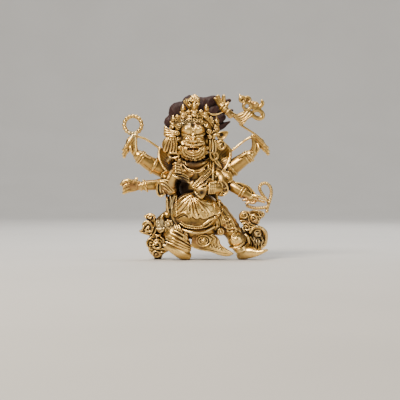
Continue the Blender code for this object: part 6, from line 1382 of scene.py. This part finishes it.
def gilt(name, gold=(0.44, 0.262, 0.070), pale=(1.0, 0.67, 0.22), dark=(0.024, 0.013, 0.005), dull=0.0):
    """Old mercury gilding: pale and polished where hands have worn it and where highlights are painted, brown
    and matt in its recesses, where dirt and painted shade lie.
    """
    w = Wires(name)
    soot_and_shade, wear_and_highlight = w.layer("soot_and_shade"), w.layer("wear_and_highlight")
    cloud = w.noise(48, 4, 0.6, 0.4)
    grit = w.noise(420, 5, 0.62)
    speck = w.noise(1900, 2, 0.5)
    mottle = w.math("ADD", w.math("MULTIPLY", w.math("SUBTRACT", cloud, 0.5), 0.55),
                    w.math("MULTIPLY", w.math("SUBTRACT", grit, 0.5), 0.5))
    # Painted shade with dirt: the mask that turns recesses dark, matt and less metallic.
    grime_and_shade = w.span(w.math("ADD", w.math("ADD", soot_and_shade, mottle), dull), 0.14, 0.86)
    # Wear with painted highlights: the mask that turns raised places pale.
    shine = w.span(w.math("ADD", wear_and_highlight, w.math("MULTIPLY", mottle, 0.8)), 0.16, 0.78)
    tone = w.mix(shine, gold, pale)
    reds = w.math("ADD", w.noise(95, 3, 0.55),
                  w.math("MULTIPLY", w.math("ADD", soot_and_shade, w.layer("rust")), 0.35))
    tone = w.mix(w.span(reds, 0.56, 0.86, 0.0, 0.6), tone, (0.30, 0.125, 0.06))
    greens = w.math("ADD", w.noise(70, 4, 0.6, 0.8), w.math("MULTIPLY", w.layer("haze"), 0.4))
    tone = w.mix(w.span(greens, 0.55, 0.76, 0.0, 0.5), tone, (0.36, 0.33, 0.22))
    # Painted shade: recesses take the dark brown-black colour.
    tone = w.mix(grime_and_shade, tone, dark)
    w.join(tone, w.shader.inputs["Base Color"])
    w.join(w.span(grime_and_shade, 0.2, 1.0, 1.0, 0.35), w.shader.inputs["Metallic"])
    rough = w.math("ADD", w.span(grime_and_shade, 0.0, 1.0, 0.35, 0.62),
                   w.math("MULTIPLY", w.math("SUBTRACT", grit, 0.5), 0.2))
    w.join(w.math("SUBTRACT", rough, w.math("MULTIPLY", shine, 0.07), True), w.shader.inputs["Roughness"])
    w.shader.inputs["Specular IOR Level"].default_value = 0.25
    w.bump(w.math("ADD", w.math("MULTIPLY", grit, 0.7), w.math("MULTIPLY", speck, 0.3)), 0.14, 0.0003)
    return w.material


def lacquer(name):
    """Hair painted over the gilding in a dull purplish brown red, thin on its raised strands."""
    w = Wires(name)
    soot_and_shade, wear_and_highlight = w.layer("soot_and_shade"), w.layer("wear_and_highlight")
    cloud = w.noise(60, 4, 0.6, 0.5)
    grit = w.noise(520, 4, 0.6)
    tone = w.mix(w.span(cloud, 0.32, 0.68), (0.022, 0.0085, 0.008), (0.042, 0.018, 0.0165))
    bare = w.span(w.math("ADD", wear_and_highlight, w.math("MULTIPLY", w.math("SUBTRACT", grit, 0.5), 0.9)), 0.55, 1.0,
                  0.0, 0.55)
    tone = w.mix(bare, tone, (0.20, 0.12, 0.08))
    # Painted shade with dirt: the paint darkens in the recesses.
    tone = w.mix(w.span(soot_and_shade, 0.15, 0.9), tone, (0.012, 0.006, 0.005))
    w.join(tone, w.shader.inputs["Base Color"])
    w.join(w.span(bare, 0.0, 0.55, 0.0, 0.55), w.shader.inputs["Metallic"])
    w.join(w.span(grit, 0.25, 0.75, 0.46, 0.66), w.shader.inputs["Roughness"])
    w.shader.inputs["Specular IOR Level"].default_value = 0.2
    w.bump(grit, 0.3, 0.0003)
    return w.material


# Relief

FACE_MIDDLE = -2.7
FACE = both_sides(FACE_MIDDLE, [
    ([(7.2, 129.6)], 2.9, 2.2),
    ([(4.2, 126.4)], 1.7, 0.5),
    ([(0.8, 127.4), (1.5, 124.8)], 0.32, -0.5),
    ([(2.1, 128.4), (2.9, 125.4)], 0.32, -0.4),
    ([(12.4, 127.9), (9.4, 126.1), (6.0, 124.9), (2.6, 124.2)], 0.45, -0.7),
    ([(12.0, 126.4), (9.4, 124.5), (6.2, 123.3), (3.2, 122.5), (1.4, 121.4)], 0.8, 1.7),
    ([(6.6, 120.6)], 1.3, 1.3),
    ([(9.6, 121.7), (7.6, 122.4), (5.2, 121.8), (3.4, 120.4)], 0.4, 0.8),
    ([(8.8, 120.8), (7.4, 121.5), (5.4, 121.3), (4.2, 120.5)], 0.22, -0.4),
    ([(9.2, 120.2), (7.4, 119.1), (5.0, 119.0), (3.6, 119.9)], 0.35, 0.5),
    ([(9.0, 120.4), (7.4, 119.7), (5.2, 119.6), (4.0, 120.2)], 0.22, -0.4),
    ([(6.3, 120.5)], 0.4, -0.3),
    ([(11.0, 121.2), (9.6, 118.2), (6.4, 117.0), (4.4, 117.4)], 0.4, -0.5),
    ([(0.0, 132.4), (0.0, 134.8)], 1.6, -0.9),
    ([(11.6, 131.6), (8.4, 134.2), (4.0, 134.6)], 0.7, -0.5),
    ([(2.9, 117.7)], 1.4, 1.5),
    ([(2.7, 116.7)], 0.42, -0.8),
    ([(0.0, 115.5), (2.0, 115.4), (3.8, 116.1)], 0.42, -1.1),
    ([(9.4, 115.6)], 2.2, 1.1),
    ([(1.2, 114.7), (3.4, 114.1), (5.8, 114.3), (8.4, 115.5), (9.7, 117.1), (8.9, 118.3), (7.7, 117.7)],
     0.75, 1.7),
    ([(2.0, 113.2), (4.6, 112.9), (7.2, 113.1), (10.0, 114.6)], 0.42, -0.8),
    ([(0.0, 113.5), (3.0, 113.0), (5.4, 111.8), (6.6, 110.2)], 0.5, 0.5),
    ([(6.6, 110.2), (5.2, 108.1), (2.8, 107.0), (0, 106.8)], 0.6, 0.8),
    ([(1.4, 110.4), (4.4, 110.6)], 1.2, -2.3),
    ([(3.9, 112.2), (4.0, 110.5)], 0.38, 1.5),
    ([(3.0, 107.8), (2.9, 108.9)], 0.33, 0.9),
    ([(8.2, 111.6), (7.5, 108.0), (5.2, 105.7), (2.6, 104.5), (0, 104.1)], 0.7, 0.6),
    ([(9.4, 111.7), (8.8, 107.7), (6.4, 104.7), (3.2, 103.2), (0, 102.7)], 0.35, -0.55),
    ([(10.8, 111.8), (10.2, 107.5), (7.6, 103.9), (4.0, 102.1), (0, 101.5)], 0.7, 0.7),
    ([(12.2, 112.0), (11.6, 107.2), (8.8, 103.0), (4.8, 100.9), (0, 100.3)], 0.35, -0.5),
    ([(11.6, 119.8), (12.2, 115.6)], 0.5, -0.5),
]) + [
    ([(FACE_MIDDLE, 124.4), (FACE_MIDDLE, 119.4)], 1.4, 2.1),
    ([(FACE_MIDDLE, 117.9)], 2.1, 2.4),
    ([(FACE_MIDDLE, 130.9)], 1.1, 0.9),
    ([(FACE_MIDDLE, 133.2), (FACE_MIDDLE - 1.6, 130.9), (FACE_MIDDLE, 128.6), (FACE_MIDDLE + 1.6, 130.9),
      (FACE_MIDDLE, 133.2)], 0.35, 0.5),
    ([(FACE_MIDDLE, 128.0), (FACE_MIDDLE, 125.4)], 0.4, -0.5),
    ([(FACE_MIDDLE, 108.6)], 1.4, 2.0),
    ([(FACE_MIDDLE, 110.0), (FACE_MIDDLE, 107.4)], 0.3, -0.5),
    ([(-14.8, 110.4), (-13.2, 111.6), (-11.9, 110.2), (-13.0, 109.0)], 0.38, 0.6),
    ([(9.6, 109.8), (8.0, 111.2), (6.6, 109.8), (7.6, 108.6)], 0.38, 0.6),
    ([(-9.4, 104.6), (-7.8, 103.4), (-8.6, 101.9)], 0.35, -0.5),
    ([(-5.0, 103.0), (-4.0, 101.6), (-5.2, 100.6)], 0.35, -0.5),
    ([(1.0, 102.6), (0.0, 101.4), (0.8, 100.2)], 0.35, -0.5),
    ([(4.6, 104.4), (3.0, 103.0), (3.8, 101.4)], 0.35, -0.5),
] + [([(FACE_MIDDLE + x, 112.0 - 0.04 * x * x)], 0.42, 1.2) for x in (-2.1, -1.05, 0.0, 1.05, 2.1)]


def fine_head(c):
    """The round masses of the head, on which the features are worked, and the curls of the beard."""
    x, y, z = HEAD
    c.ball((x - 0.4, y + 2, z + 2), (12.8, 12.6, 18.6), sides=24)
    c.ball((x - 0.4, y - 1.8, z + 11), (12.8, 11.8, 10.4), sides=24)
    c.ball((x - 0.4, y - 1.0, z - 1), (12.6, 11.8, 9.4), sides=24)
    c.ball((x - 0.4, y - 2.2, z - 9.4), (13.6, 11.4, 10.8), sides=24)
    c.ball((-1.6, -6.4, 95.5), (10.5, 7.4, 5.6), sides=24)
    for side in (-1, 1):
        c.ball((x + 12.8 * side, y + 1, z + 0.5), (2.2, 3.4, 5.0))
    for px, pz in BEARD_LOBES:
        out = (px + 2.6) / 14.0
        c.ball((px, y - 7.0 + 4.6 * out * out, pz), (2.5, 2.6, 2.4), sides=12)
    # Masses set back behind the ears, so that the painted shade of the recesses darkens them.
    c.ball((-17.5, 1.5, 117), (4.6, 5.0, 9.0))
    c.ball((13.5, 1.5, 117), (4.6, 5.0, 9.0))


BEARD_LOBES = [(-15.8, 111.6), (-15.0, 107.2), (-12.2, 103.6), (-8.6, 101.5), (-4.7, 100.7), (-0.7, 100.6),
               (3.4, 101.6), (6.8, 103.7), (9.6, 107.3), (10.4, 111.6)]


def face_relief(points, normals):
    curls = [((x, z), 2.7, 1.5, 0.25, 1.0 if x < FACE_MIDDLE else -1.0) for x, z in BEARD_LOBES]
    return worked(points, normals, FACE, far=-8.0) + coiled(points, curls) * frontward(normals)


def forelocks_relief(points, normals):
    front = frontward(normals)
    curls = [((x, z), size + 0.5, 1.9, 0.36, 1.0 if i % 2 else -1.0) for i,
             (x, z, size) in enumerate(HAIRLINE_CURLS)]
    return coiled(points, curls) * front


def frontward(normals):
    """1 where the surface faces the front, 0 from its flanks backward."""
    return np.clip(-normals[:, 1] * 1.5, 0, 1)


def rippled(points, regions):
    """Folds that run through a region.

    A region is a centre, half sizes, the direction in degrees, a spacing, a height and a bend.
    """
    flat = points - MIDDLE_TO_ORIGIN
    move = np.zeros(len(points))
    for (cx, cz), (wide, high), degrees, spacing, height, bend in regions:
        dx, dz = flat[:, 0] - cx, flat[:, 2] - cz
        window = np.clip(1.6 * (1 - (dx / wide) ** 2 - (dz / high) ** 2), 0, 1)
        a = math.radians(degrees)
        across = dx * math.cos(a) + dz * math.sin(a)
        other = -dx * math.sin(a) + dz * math.cos(a)
        move += height * window * np.cos(2 * math.pi * (across + bend * np.sin(other / 4.0)) / spacing)
    return move


def coiled(points, places):
    """Cloth drawn into whorls: each is a centre, a radius, the spacing, the height and its way of turning."""
    flat = points - MIDDLE_TO_ORIGIN
    move = np.zeros(len(points))
    for (cx, cz), radius, spacing, height, turn in places:
        dx, dz = flat[:, 0] - cx, flat[:, 2] - cz
        r = np.hypot(dx, dz)
        around = np.arctan2(dz, dx)
        window = np.clip(1.5 * (1 - (r / radius) ** 2), 0, 1)
        r = r * (1 + 0.10 * np.sin(2 * around + cx) + 0.07 * np.sin(3 * around + cz))
        move += height * window * np.cos(2 * math.pi * r / spacing - turn * around)
    return move


def fan_folds(top, bottom, count, ridge, groove):
    """Folds that spread from a short top line to a longer bottom line."""
    strokes = []
    for i in range(2 * count - 1):
        share = i / (2 * count - 2)
        ends = [(1 - share) * np.array(line[0]) + share * np.array(line[1]) for line in (top, bottom)]
        (x1, z1), (x2, z2) = ends
        bow = (share - 0.5) * 1.6
        strokes.append(([(x1, z1), (0.45 * x1 + 0.55 * x2 + bow, 0.45 * z1 + 0.55 * z2), (x2, z2)],
                        *(groove if i % 2 else ridge)))
    return strokes


BOWS = fan_folds([(-26.4, 122.4), (-20.6, 122.4)], [(-32.2, 109.0), (-19.6, 107.6)], 5, (0.8, 0.5),
                 (0.5, -0.6))
BOWS += fan_folds([(-20.0, 127.6), (-20.0, 125.4)], [(-31.4, 133.4), (-31.6, 124.8)], 4, (0.7, 0.35),
                  (0.45, -0.5))
BOWS += fan_folds([(14.0, 120.6), (19.0, 120.0)], [(13.8, 108.0), (19.8, 108.4)], 3, (0.8, 0.4),
                  (0.5, -0.6))
BOWS += [([(26.2, 124.6)], 1.5, -1.4), ([(27.4, 117.6), (28.0, 112.4)], 0.5, -0.5),
         ([(20.4, 98.6), (23.8, 94.4)], 0.5, -0.6)]


def jewels_relief(points, normals):
    front = frontward(normals)
    move = worked(points, normals, BOWS, far=-3.0)
    return move + coiled(points, [((-4.6, 159), 7.5, 2.6, 0.3, 2.0)]) * front


def scarves_relief(points, normals):
    front = frontward(normals)
    move = coiled(points, [((-47.5, 31.5), 8.5, 4.2, 0.5, 1.0), ((-45.6, 42.4), 5.6, 3.4, 0.35, -1.0),
                           ((-45, 17), 6, 3.4, 0.4, 1.0), ((-40, 5.4), 7, 3.6, 0.4, 0.0),
                           ((57.4, 41.0), 7.5, 3.4, 0.4, 1.0), ((48.6, 44.8), 5.6, 2.8, 0.3, -1.0),
                           ((51, 32.4), 5.5, 3.0, 0.35, 1.0), ((65, 46), 5.0, 2.6, 0.25, 1.0),
                           ((62, 26.2), 7.0, 3.2, 0.4, 1.0)])
    move += rippled(points,
                    [((60.5, 14.5), (8.0, 6.0), -20, 2.7, 0.4, 1.2), ((58, 35), (7, 4), 62, 2.4, 0.35, 0.9),
                     ((-36, 8), (7, 4), 70, 2.4, 0.3, 0.8),
                             ((64, 44), (5, 4), 30, 2.2, 0.3, 0.6)])
    back = np.clip(normals[:, 1] * 1.5, 0, 1)
    return move * front + 0.55 * back * np.cos(0.9 * points[:, 0] + 0.5 * np.sin(0.2 * points[:, 2]))


PLEATS = [
    ([(-6.6, 61.8), (-11.4, 58.0), (-16.4, 53.4), (-18.6, 50.6)], 0.5, -0.7),
    ([(-6.2, 61.0), (-10.4, 56.6), (-15.0, 52.2), (-18.0, 48.8)], 0.8, 0.7),
    ([(-5.8, 60.4), (-8.8, 55.6), (-12.6, 51.4), (-15.4, 48.4)], 0.5, -0.7),
    ([(-5.4, 60.4), (-7.0, 54.6), (-9.4, 50.0)], 0.9, 0.6),
    ([(-4.9, 61), (-6.0, 54.0), (-6.6, 49.0)], 0.45, -0.7),
    ([(-4.6, 61), (-4.7, 54.0), (-4.3, 46.0)], 0.8, 0.8),
    ([(-4.1, 61), (-3.2, 54.6), (-2.4, 47.0)], 0.45, -0.8),
    ([(-3.5, 61), (-1.8, 54.6), (-0.2, 48.0)], 0.7, 0.7),
    ([(-3.0, 61), (-0.6, 54.6), (1.6, 47.2)], 0.45, -0.8),
    ([(-2.4, 61), (0.9, 54.8), (3.8, 47.4)], 0.7, 0.8),
    ([(-1.8, 61), (2.4, 55.6), (6.4, 49.4)], 0.45, -0.8),
    ([(-1.2, 61.2), (4.2, 56.0), (9.4, 49.6), (11.0, 46.6)], 0.8, 0.8),
    ([(-0.6, 61.4), (5.6, 57.2), (11.6, 52.0), (14.4, 48.8)], 0.5, -0.7),
    ([(0.4, 61.6), (7.4, 58.4), (14.8, 55.8), (19.4, 55.4)], 0.5, -0.6),
    ([(9.0, 54.0), (12.6, 51.0), (15.4, 47.6)], 0.7, 0.5),
    ([(-20.0, 43.6), (-16.6, 46.0), (-12.0, 47.6), (-8.6, 46.2), (-6.6, 43.0)], 0.8, 0.9),
    ([(-18.0, 42.0), (-14.6, 44.0), (-11.4, 44.8), (-9.0, 43.4)], 0.5, -0.7),
    ([(-5.6, 46.0), (-4.4, 43.0)], 0.6, 0.6),
    ([(-0.2, 46.0), (1.2, 42.2)], 0.7, 0.6),
    ([(4.0, 46.4), (6.6, 42.4)], 0.7, 0.6),
    ([(9.6, 46.4), (11.4, 42.6)], 0.6, 0.5),
    ([(5.7, 50.5)], 0.8, -1.5),
    ([(2.6, 46.0)], 0.8, -1.5),
    ([(-3.0, 74.0), (-1.0, 79.0)], 1.0, -0.6),
]
APRON_EDGE = [(-22, 43.6), (-19, 43.4), (-15.6, 46.2), (-11.4, 47.4), (-7.4, 44.4), (-5.4, 43.0),
              (-3.2, 44.2), (-1.0, 42.4), (1.4, 41.4), (4.0, 43.2), (7.0, 41.4), (10.6, 42.2), (14, 43.8),
              (18, 45.4), (23, 45)]


def body_relief(points, normals):
    move = worked(points, normals, PLEATS, far=-6.0)
    x, y, z = (points - MIDDLE_TO_ORIGIN).T
    edge = np.interp(x, *np.array(APRON_EDGE).T)
    belly = (np.hypot((x - BELLY[0]) / 22.6, (z - BELLY[2]) / 19.4) < 1) & (y < -8)
    step = np.clip((z - edge) / 0.6 + 0.5, 0, 1)
    top = np.clip((62.4 - 0.016 * (x + 2) ** 2 - z) / 0.8 + 0.5, 0, 1)
    return move + np.where(belly, 0.9 * step * top - 0.3, 0)


DRESS = [
    ([(-20.6, 84.6), (-14.0, 83.0), (-8.0, 80.4)], 0.5, -0.7),
    ([(-18.6, 85.6), (-12.6, 84.8), (-8.0, 82.4)], 0.45, -0.6),
    ([(-19.4, 83.2), (-13.0, 81.0), (-7.4, 78.6)], 0.6, 0.5),
    ([(13.6, 24.6), (16.6, 21.8), (15.4, 18.6)], 0.5, -0.5),
    ([(15.8, 25.0), (19.0, 22.0), (18.0, 18.0)], 0.6, 0.6),
    ([(18.4, 24.4), (21.0, 21.4), (20.4, 17.4)], 0.5, -0.5),
    ([(12.6, 13.6), (14.4, 16.4), (16.0, 13.0), (17.6, 15.8), (19.2, 12.2), (21.0, 14.8), (22.6, 11.2),
      (24.4, 13.4), (26.0, 10.0)], 0.4, -0.55),
    ([(-2.0, 25.0), (3.0, 26.8), (10.0, 26.4)], 0.5, -0.5),
    ([(-1.6, 13.4), (6, 11.9), (15, 10.4), (24, 7.9), (31, 6.9)], 0.45, -0.3),
    ([(-24.0, 28.6), (-16.4, 26.0), (-9.8, 21.0), (-5.8, 17.2)], 0.45, -0.3),
    ([(-27.6, 26.0), (-18.8, 22.6), (-10.8, 17.8), (-5.2, 14.4)], 0.45, -0.45),
    ([(-29.4, 23.2), (-20.2, 19.4), (-11.8, 15.2), (-5.0, 12.2)], 0.45, -0.3),
    ([(-30.2, 20.2), (-21.0, 16.8), (-12.8, 12.8), (-5.4, 10.2)], 0.45, -0.4),
    ([(-20.0, 30.8), (-13.4, 27.8), (-8.0, 23.6)], 0.45, -0.4),
]


THIGH = [
    ([(18.0, 55.6), (23.0, 49.4), (27.4, 42.6), (30.0, 35.4), (31.4, 29.0)], 0.9, 0.9),
    ([(20.6, 56.8), (25.8, 50.4), (30.6, 43.6), (34.0, 36.6), (35.6, 30.6)], 0.5, -0.6),
    ([(22.4, 57.4), (28.0, 50.6), (33.2, 43.6), (37.4, 36.4), (40.0, 30.0)], 0.9, 0.9),
    ([(24.4, 56.4), (30.2, 49.4), (35.6, 42.6), (40.2, 35.4), (43.4, 28.6)], 0.5, -0.6),
    ([(17.6, 51.0), (21.0, 45.6), (23.6, 39.4), (24.4, 33.6)], 0.5, -0.6),
    ([(16.4, 48.8), (19.0, 43.4), (20.6, 38.6), (20.6, 33.6)], 0.9, 0.7),
    ([(26.4, 40.6), (30.0, 39.4), (33.6, 40.6)], 0.5, 0.6),
    ([(27.4, 37.0), (31.2, 35.4), (35.2, 36.4)], 0.5, 0.6),
    ([(28.8, 33.0), (33.0, 31.4), (37.6, 32.2), (41.0, 31.4)], 0.7, 0.8),
    ([(29.6, 31.0), (34.0, 29.6), (38.6, 30.2), (43.4, 28.4), (46.4, 25.4)], 0.5, -0.7),
    ([(33.4, 22.0), (34.0, 17.6), (36.6, 14.6)], 0.5, -0.35),
    ([(44.6, 25.4), (46.6, 21.8), (46.4, 18.0)], 0.5, -0.35),
]


def dress_relief(points, normals):
    move = worked(points, normals, DRESS, far=-2.0)
    x, y, z = (points - MIDDLE_TO_ORIGIN).T
    panel = (z > 84) & (z < 117) & (np.abs(x) > 14.0) & (y > -8) & (y < 6) & (np.abs(x) < 34.5)
    angle = np.arctan2(z - 88, np.abs(x) - 12)
    move += np.where(panel, 0.06 * np.sin(64 * angle + 0.25 * x), 0)
    move += worked(points, normals, THIGH, far=4.0)
    whorls = [
        ((37.6, 23.4), 4.2, 2.6, 0.25, 2.0),
        ((30.6, 41.0), 5.0, 2.8, 0.3, 1.0),
        ((24.0, 50.0), 4.4, 2.6, 0.25, -1.0),
    ]
    move += coiled(points, whorls) * frontward(normals)
    along, across = 0.69 * (x - 6.1) + 0.72 * (z - 81.2), -0.72 * (x - 6.1) + 0.69 * (z - 81.2)
    band = (np.abs(along) < 12.4) & (np.abs(across) < 3.0) & (y < -8)
    studs = np.where(np.abs(across) < 0.75, 0.22 * np.cos(2 * math.pi * along / 2.1), 0)
    move += np.where(band, 0.2 * np.cos(2 * math.pi * across / 1.55) + studs, 0)
    back = np.clip(2 * normals[:, 1] - 0.4, 0, 1) * (np.abs(x) < 27)
    broad = 0.42 * np.sin(0.62 * x + 0.9 * np.sin(0.09 * z) + 0.04 * x * np.cos(0.05 * z))
    drape = broad + 0.16 * np.sin(1.7 * x + 0.25 * z)
    move += back * (z < 112) * (z > 20) * drape
    return move


def hair_relief(points, _normals):
    """Combed strands that fan out from the crown of the head."""
    x = points[:, 0] + 2.5 - MIDDLE_TO_ORIGIN[0]
    z = points[:, 2] - 122
    angle = np.arctan2(x, z)
    reach = np.hypot(x, z)
    comb = np.sin(46 * angle + 0.35 * np.sin(0.35 * reach) + 1.5 * np.sin(5 * angle))
    fine = np.sin(97 * angle + 0.8)
    return 0.13 * comb + 0.06 * fine


def main():
    """Makes every fine piece.

    A plan is a name, a heap, a voxel size, a triangle count, a smoothing, a relief and a node.
    """
    pieces = []
    plans = [
        ("body_gilt", heap(BODY_PARTS), 0.38, 120000, 4, body_relief, "figure"),
        ("head_gilt", heap((fine_head,)), 0.24, 150000, 3, face_relief, "figure"),
        ("forelocks_gilt", heap((hairline,)), 0.27, 60000, 3, forelocks_relief, "figure"),
        ("jewels_gilt", heap(JEWEL_PARTS), 0.30, 180000, 3, jewels_relief, "figure"),
        ("hair_painted", heap(HAIR_PARTS), 0.38, 80000, 4, hair_relief, "figure"),
        ("dress_gilt", heap(DRESS_PARTS), 0.36, 185000, 3, dress_relief, "figure"),
        ("scarves_gilt", heap(SCARF_PARTS), 0.34, 120000, 3, scarves_relief, "figure"),
        ("trident_gilt", trident(), 0.28, 45000, 3, None, "trident"),
        ("rosary_gilt", rosary(), 0.27, 30000, 2, None, "rosary"),
        ("noose_gilt", noose(), 0.27, 20000, 2, None, "noose"),
    ]
    for name, clay, voxel, triangles, soften, relief, node in plans:
        pieces.append((dense(clay, name, voxel, triangles, soften, relief), node))
    shaded([piece for piece, _ in pieces])
    gold = gilt("gilt")
    finish = {
        "scarves_gilt": gilt("gilt_scarves", dull=0.06),
        "forelocks_gilt": gilt("gilt_worn_dark", dull=0.2),
        "hair_painted": lacquer("hair_lacquer"),
    }
    for piece, node in pieces:
        piece.data.materials.clear()
        piece.data.materials.append(finish.get(piece.name, gold))
        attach(piece, "root")
        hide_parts(node)


def plain(name, colour, rough):
    """A matt finish, a little uneven in tone."""
    w = Wires(name)
    w.join(w.mix(w.span(w.noise(6, 3, 0.5), 0.3, 0.7), colour, tuple(0.96 * c for c in colour)),
           w.shader.inputs["Base Color"])
    w.shader.inputs["Roughness"].default_value = rough
    return w.material


def soft_light(name, place, aim, size, power, tint):
    """A square area light that the camera doesn't see."""
    data = bpy.data.lights.new(name, "AREA")
    data.size = size
    data.energy = power
    data.color = tint
    light = bpy.data.objects.new(name, data)
    light.location = place
    light.rotation_euler = aim.to_track_quat("-Z", "Y").to_euler()
    light.visible_camera = False
    bpy.context.scene.collection.objects.link(light)


def studio():
    """A plain pale floor, soft lights and the camera."""
    sides = 96
    around = np.linspace(0, 2 * math.pi, sides, endpoint=False)
    profile = [(0.0, 0.0), (0.5, 0.0), (1.0, 0.0), (1.6, 0.0)]
    profile += [(1.6 + 1.2 * math.sin(a), 1.2 - 1.2 * math.cos(a)) for a in np.linspace(0.1, math.pi / 2,
                                                                                        16)] + [(2.8, 2.6)]
    points = [(0.0, 0.0, 0.0)] + [(r * math.cos(a), r * math.sin(a), h) for r,
                                  h in profile[1:] for a in around]
    faces = [(0, 1 + i, 1 + (i + 1) % sides) for i in range(sides)]
    for ring in range(len(profile) - 2):
        base = 1 + sides * ring
        for i in range(sides):
            k = (i + 1) % sides
            faces.append((base + i, base + sides + i, base + sides + k, base + k))
    mesh = bpy.data.meshes.new("floor")
    mesh.from_pydata(points, [], faces)
    mesh.polygons.foreach_set("use_smooth", np.ones(len(mesh.polygons), bool))
    floor = bpy.data.objects.new("floor", mesh)
    bpy.context.scene.collection.objects.link(floor)
    mesh.materials.append(plain("floor_pale", (0.58, 0.565, 0.54), 0.85))
    world = bpy.data.worlds.new("studio")
    world.use_nodes = True
    world.node_tree.nodes["Background"].inputs["Color"].default_value = (0.80, 0.82, 0.86, 1)
    world.node_tree.nodes["Background"].inputs["Strength"].default_value = 0.08
    bpy.context.scene.world = world
    for name, place, size, power, tint in (
        ("key", (-0.50, -0.80, 0.95), 0.42, 27.0, (1.0, 0.91, 0.78)),
        ("fill", (0.80, -0.8, 0.25), 0.4, 2.6, (1.0, 0.98, 0.95)),
        ("back", (0.3, 0.95, 0.6), 0.7, 2.0, (1.0, 0.98, 0.96)),
    ):
        soft_light(name, place, Vector((0, 0, 0.08)) - Vector(place), size, power, tint)
    soft_light("wall", (0.0, 0.3, 1.5), Vector((0.0, 0.8, -0.5)), 1.4, 42.0, (1.0, 1.0, 1.0))
    data = bpy.data.cameras.new("camera")
    data.lens = 100
    data.sensor_width = 36
    camera = bpy.data.objects.new("camera", data)
    target = Vector((0.0034, 0.0, 0.060))
    camera.location = target + Vector((0, -1.111, 0.012))
    camera.rotation_euler = (target - camera.location).to_track_quat("-Z", "Y").to_euler()
    bpy.context.scene.collection.objects.link(camera)
    bpy.context.scene.camera = camera


main()
studio()
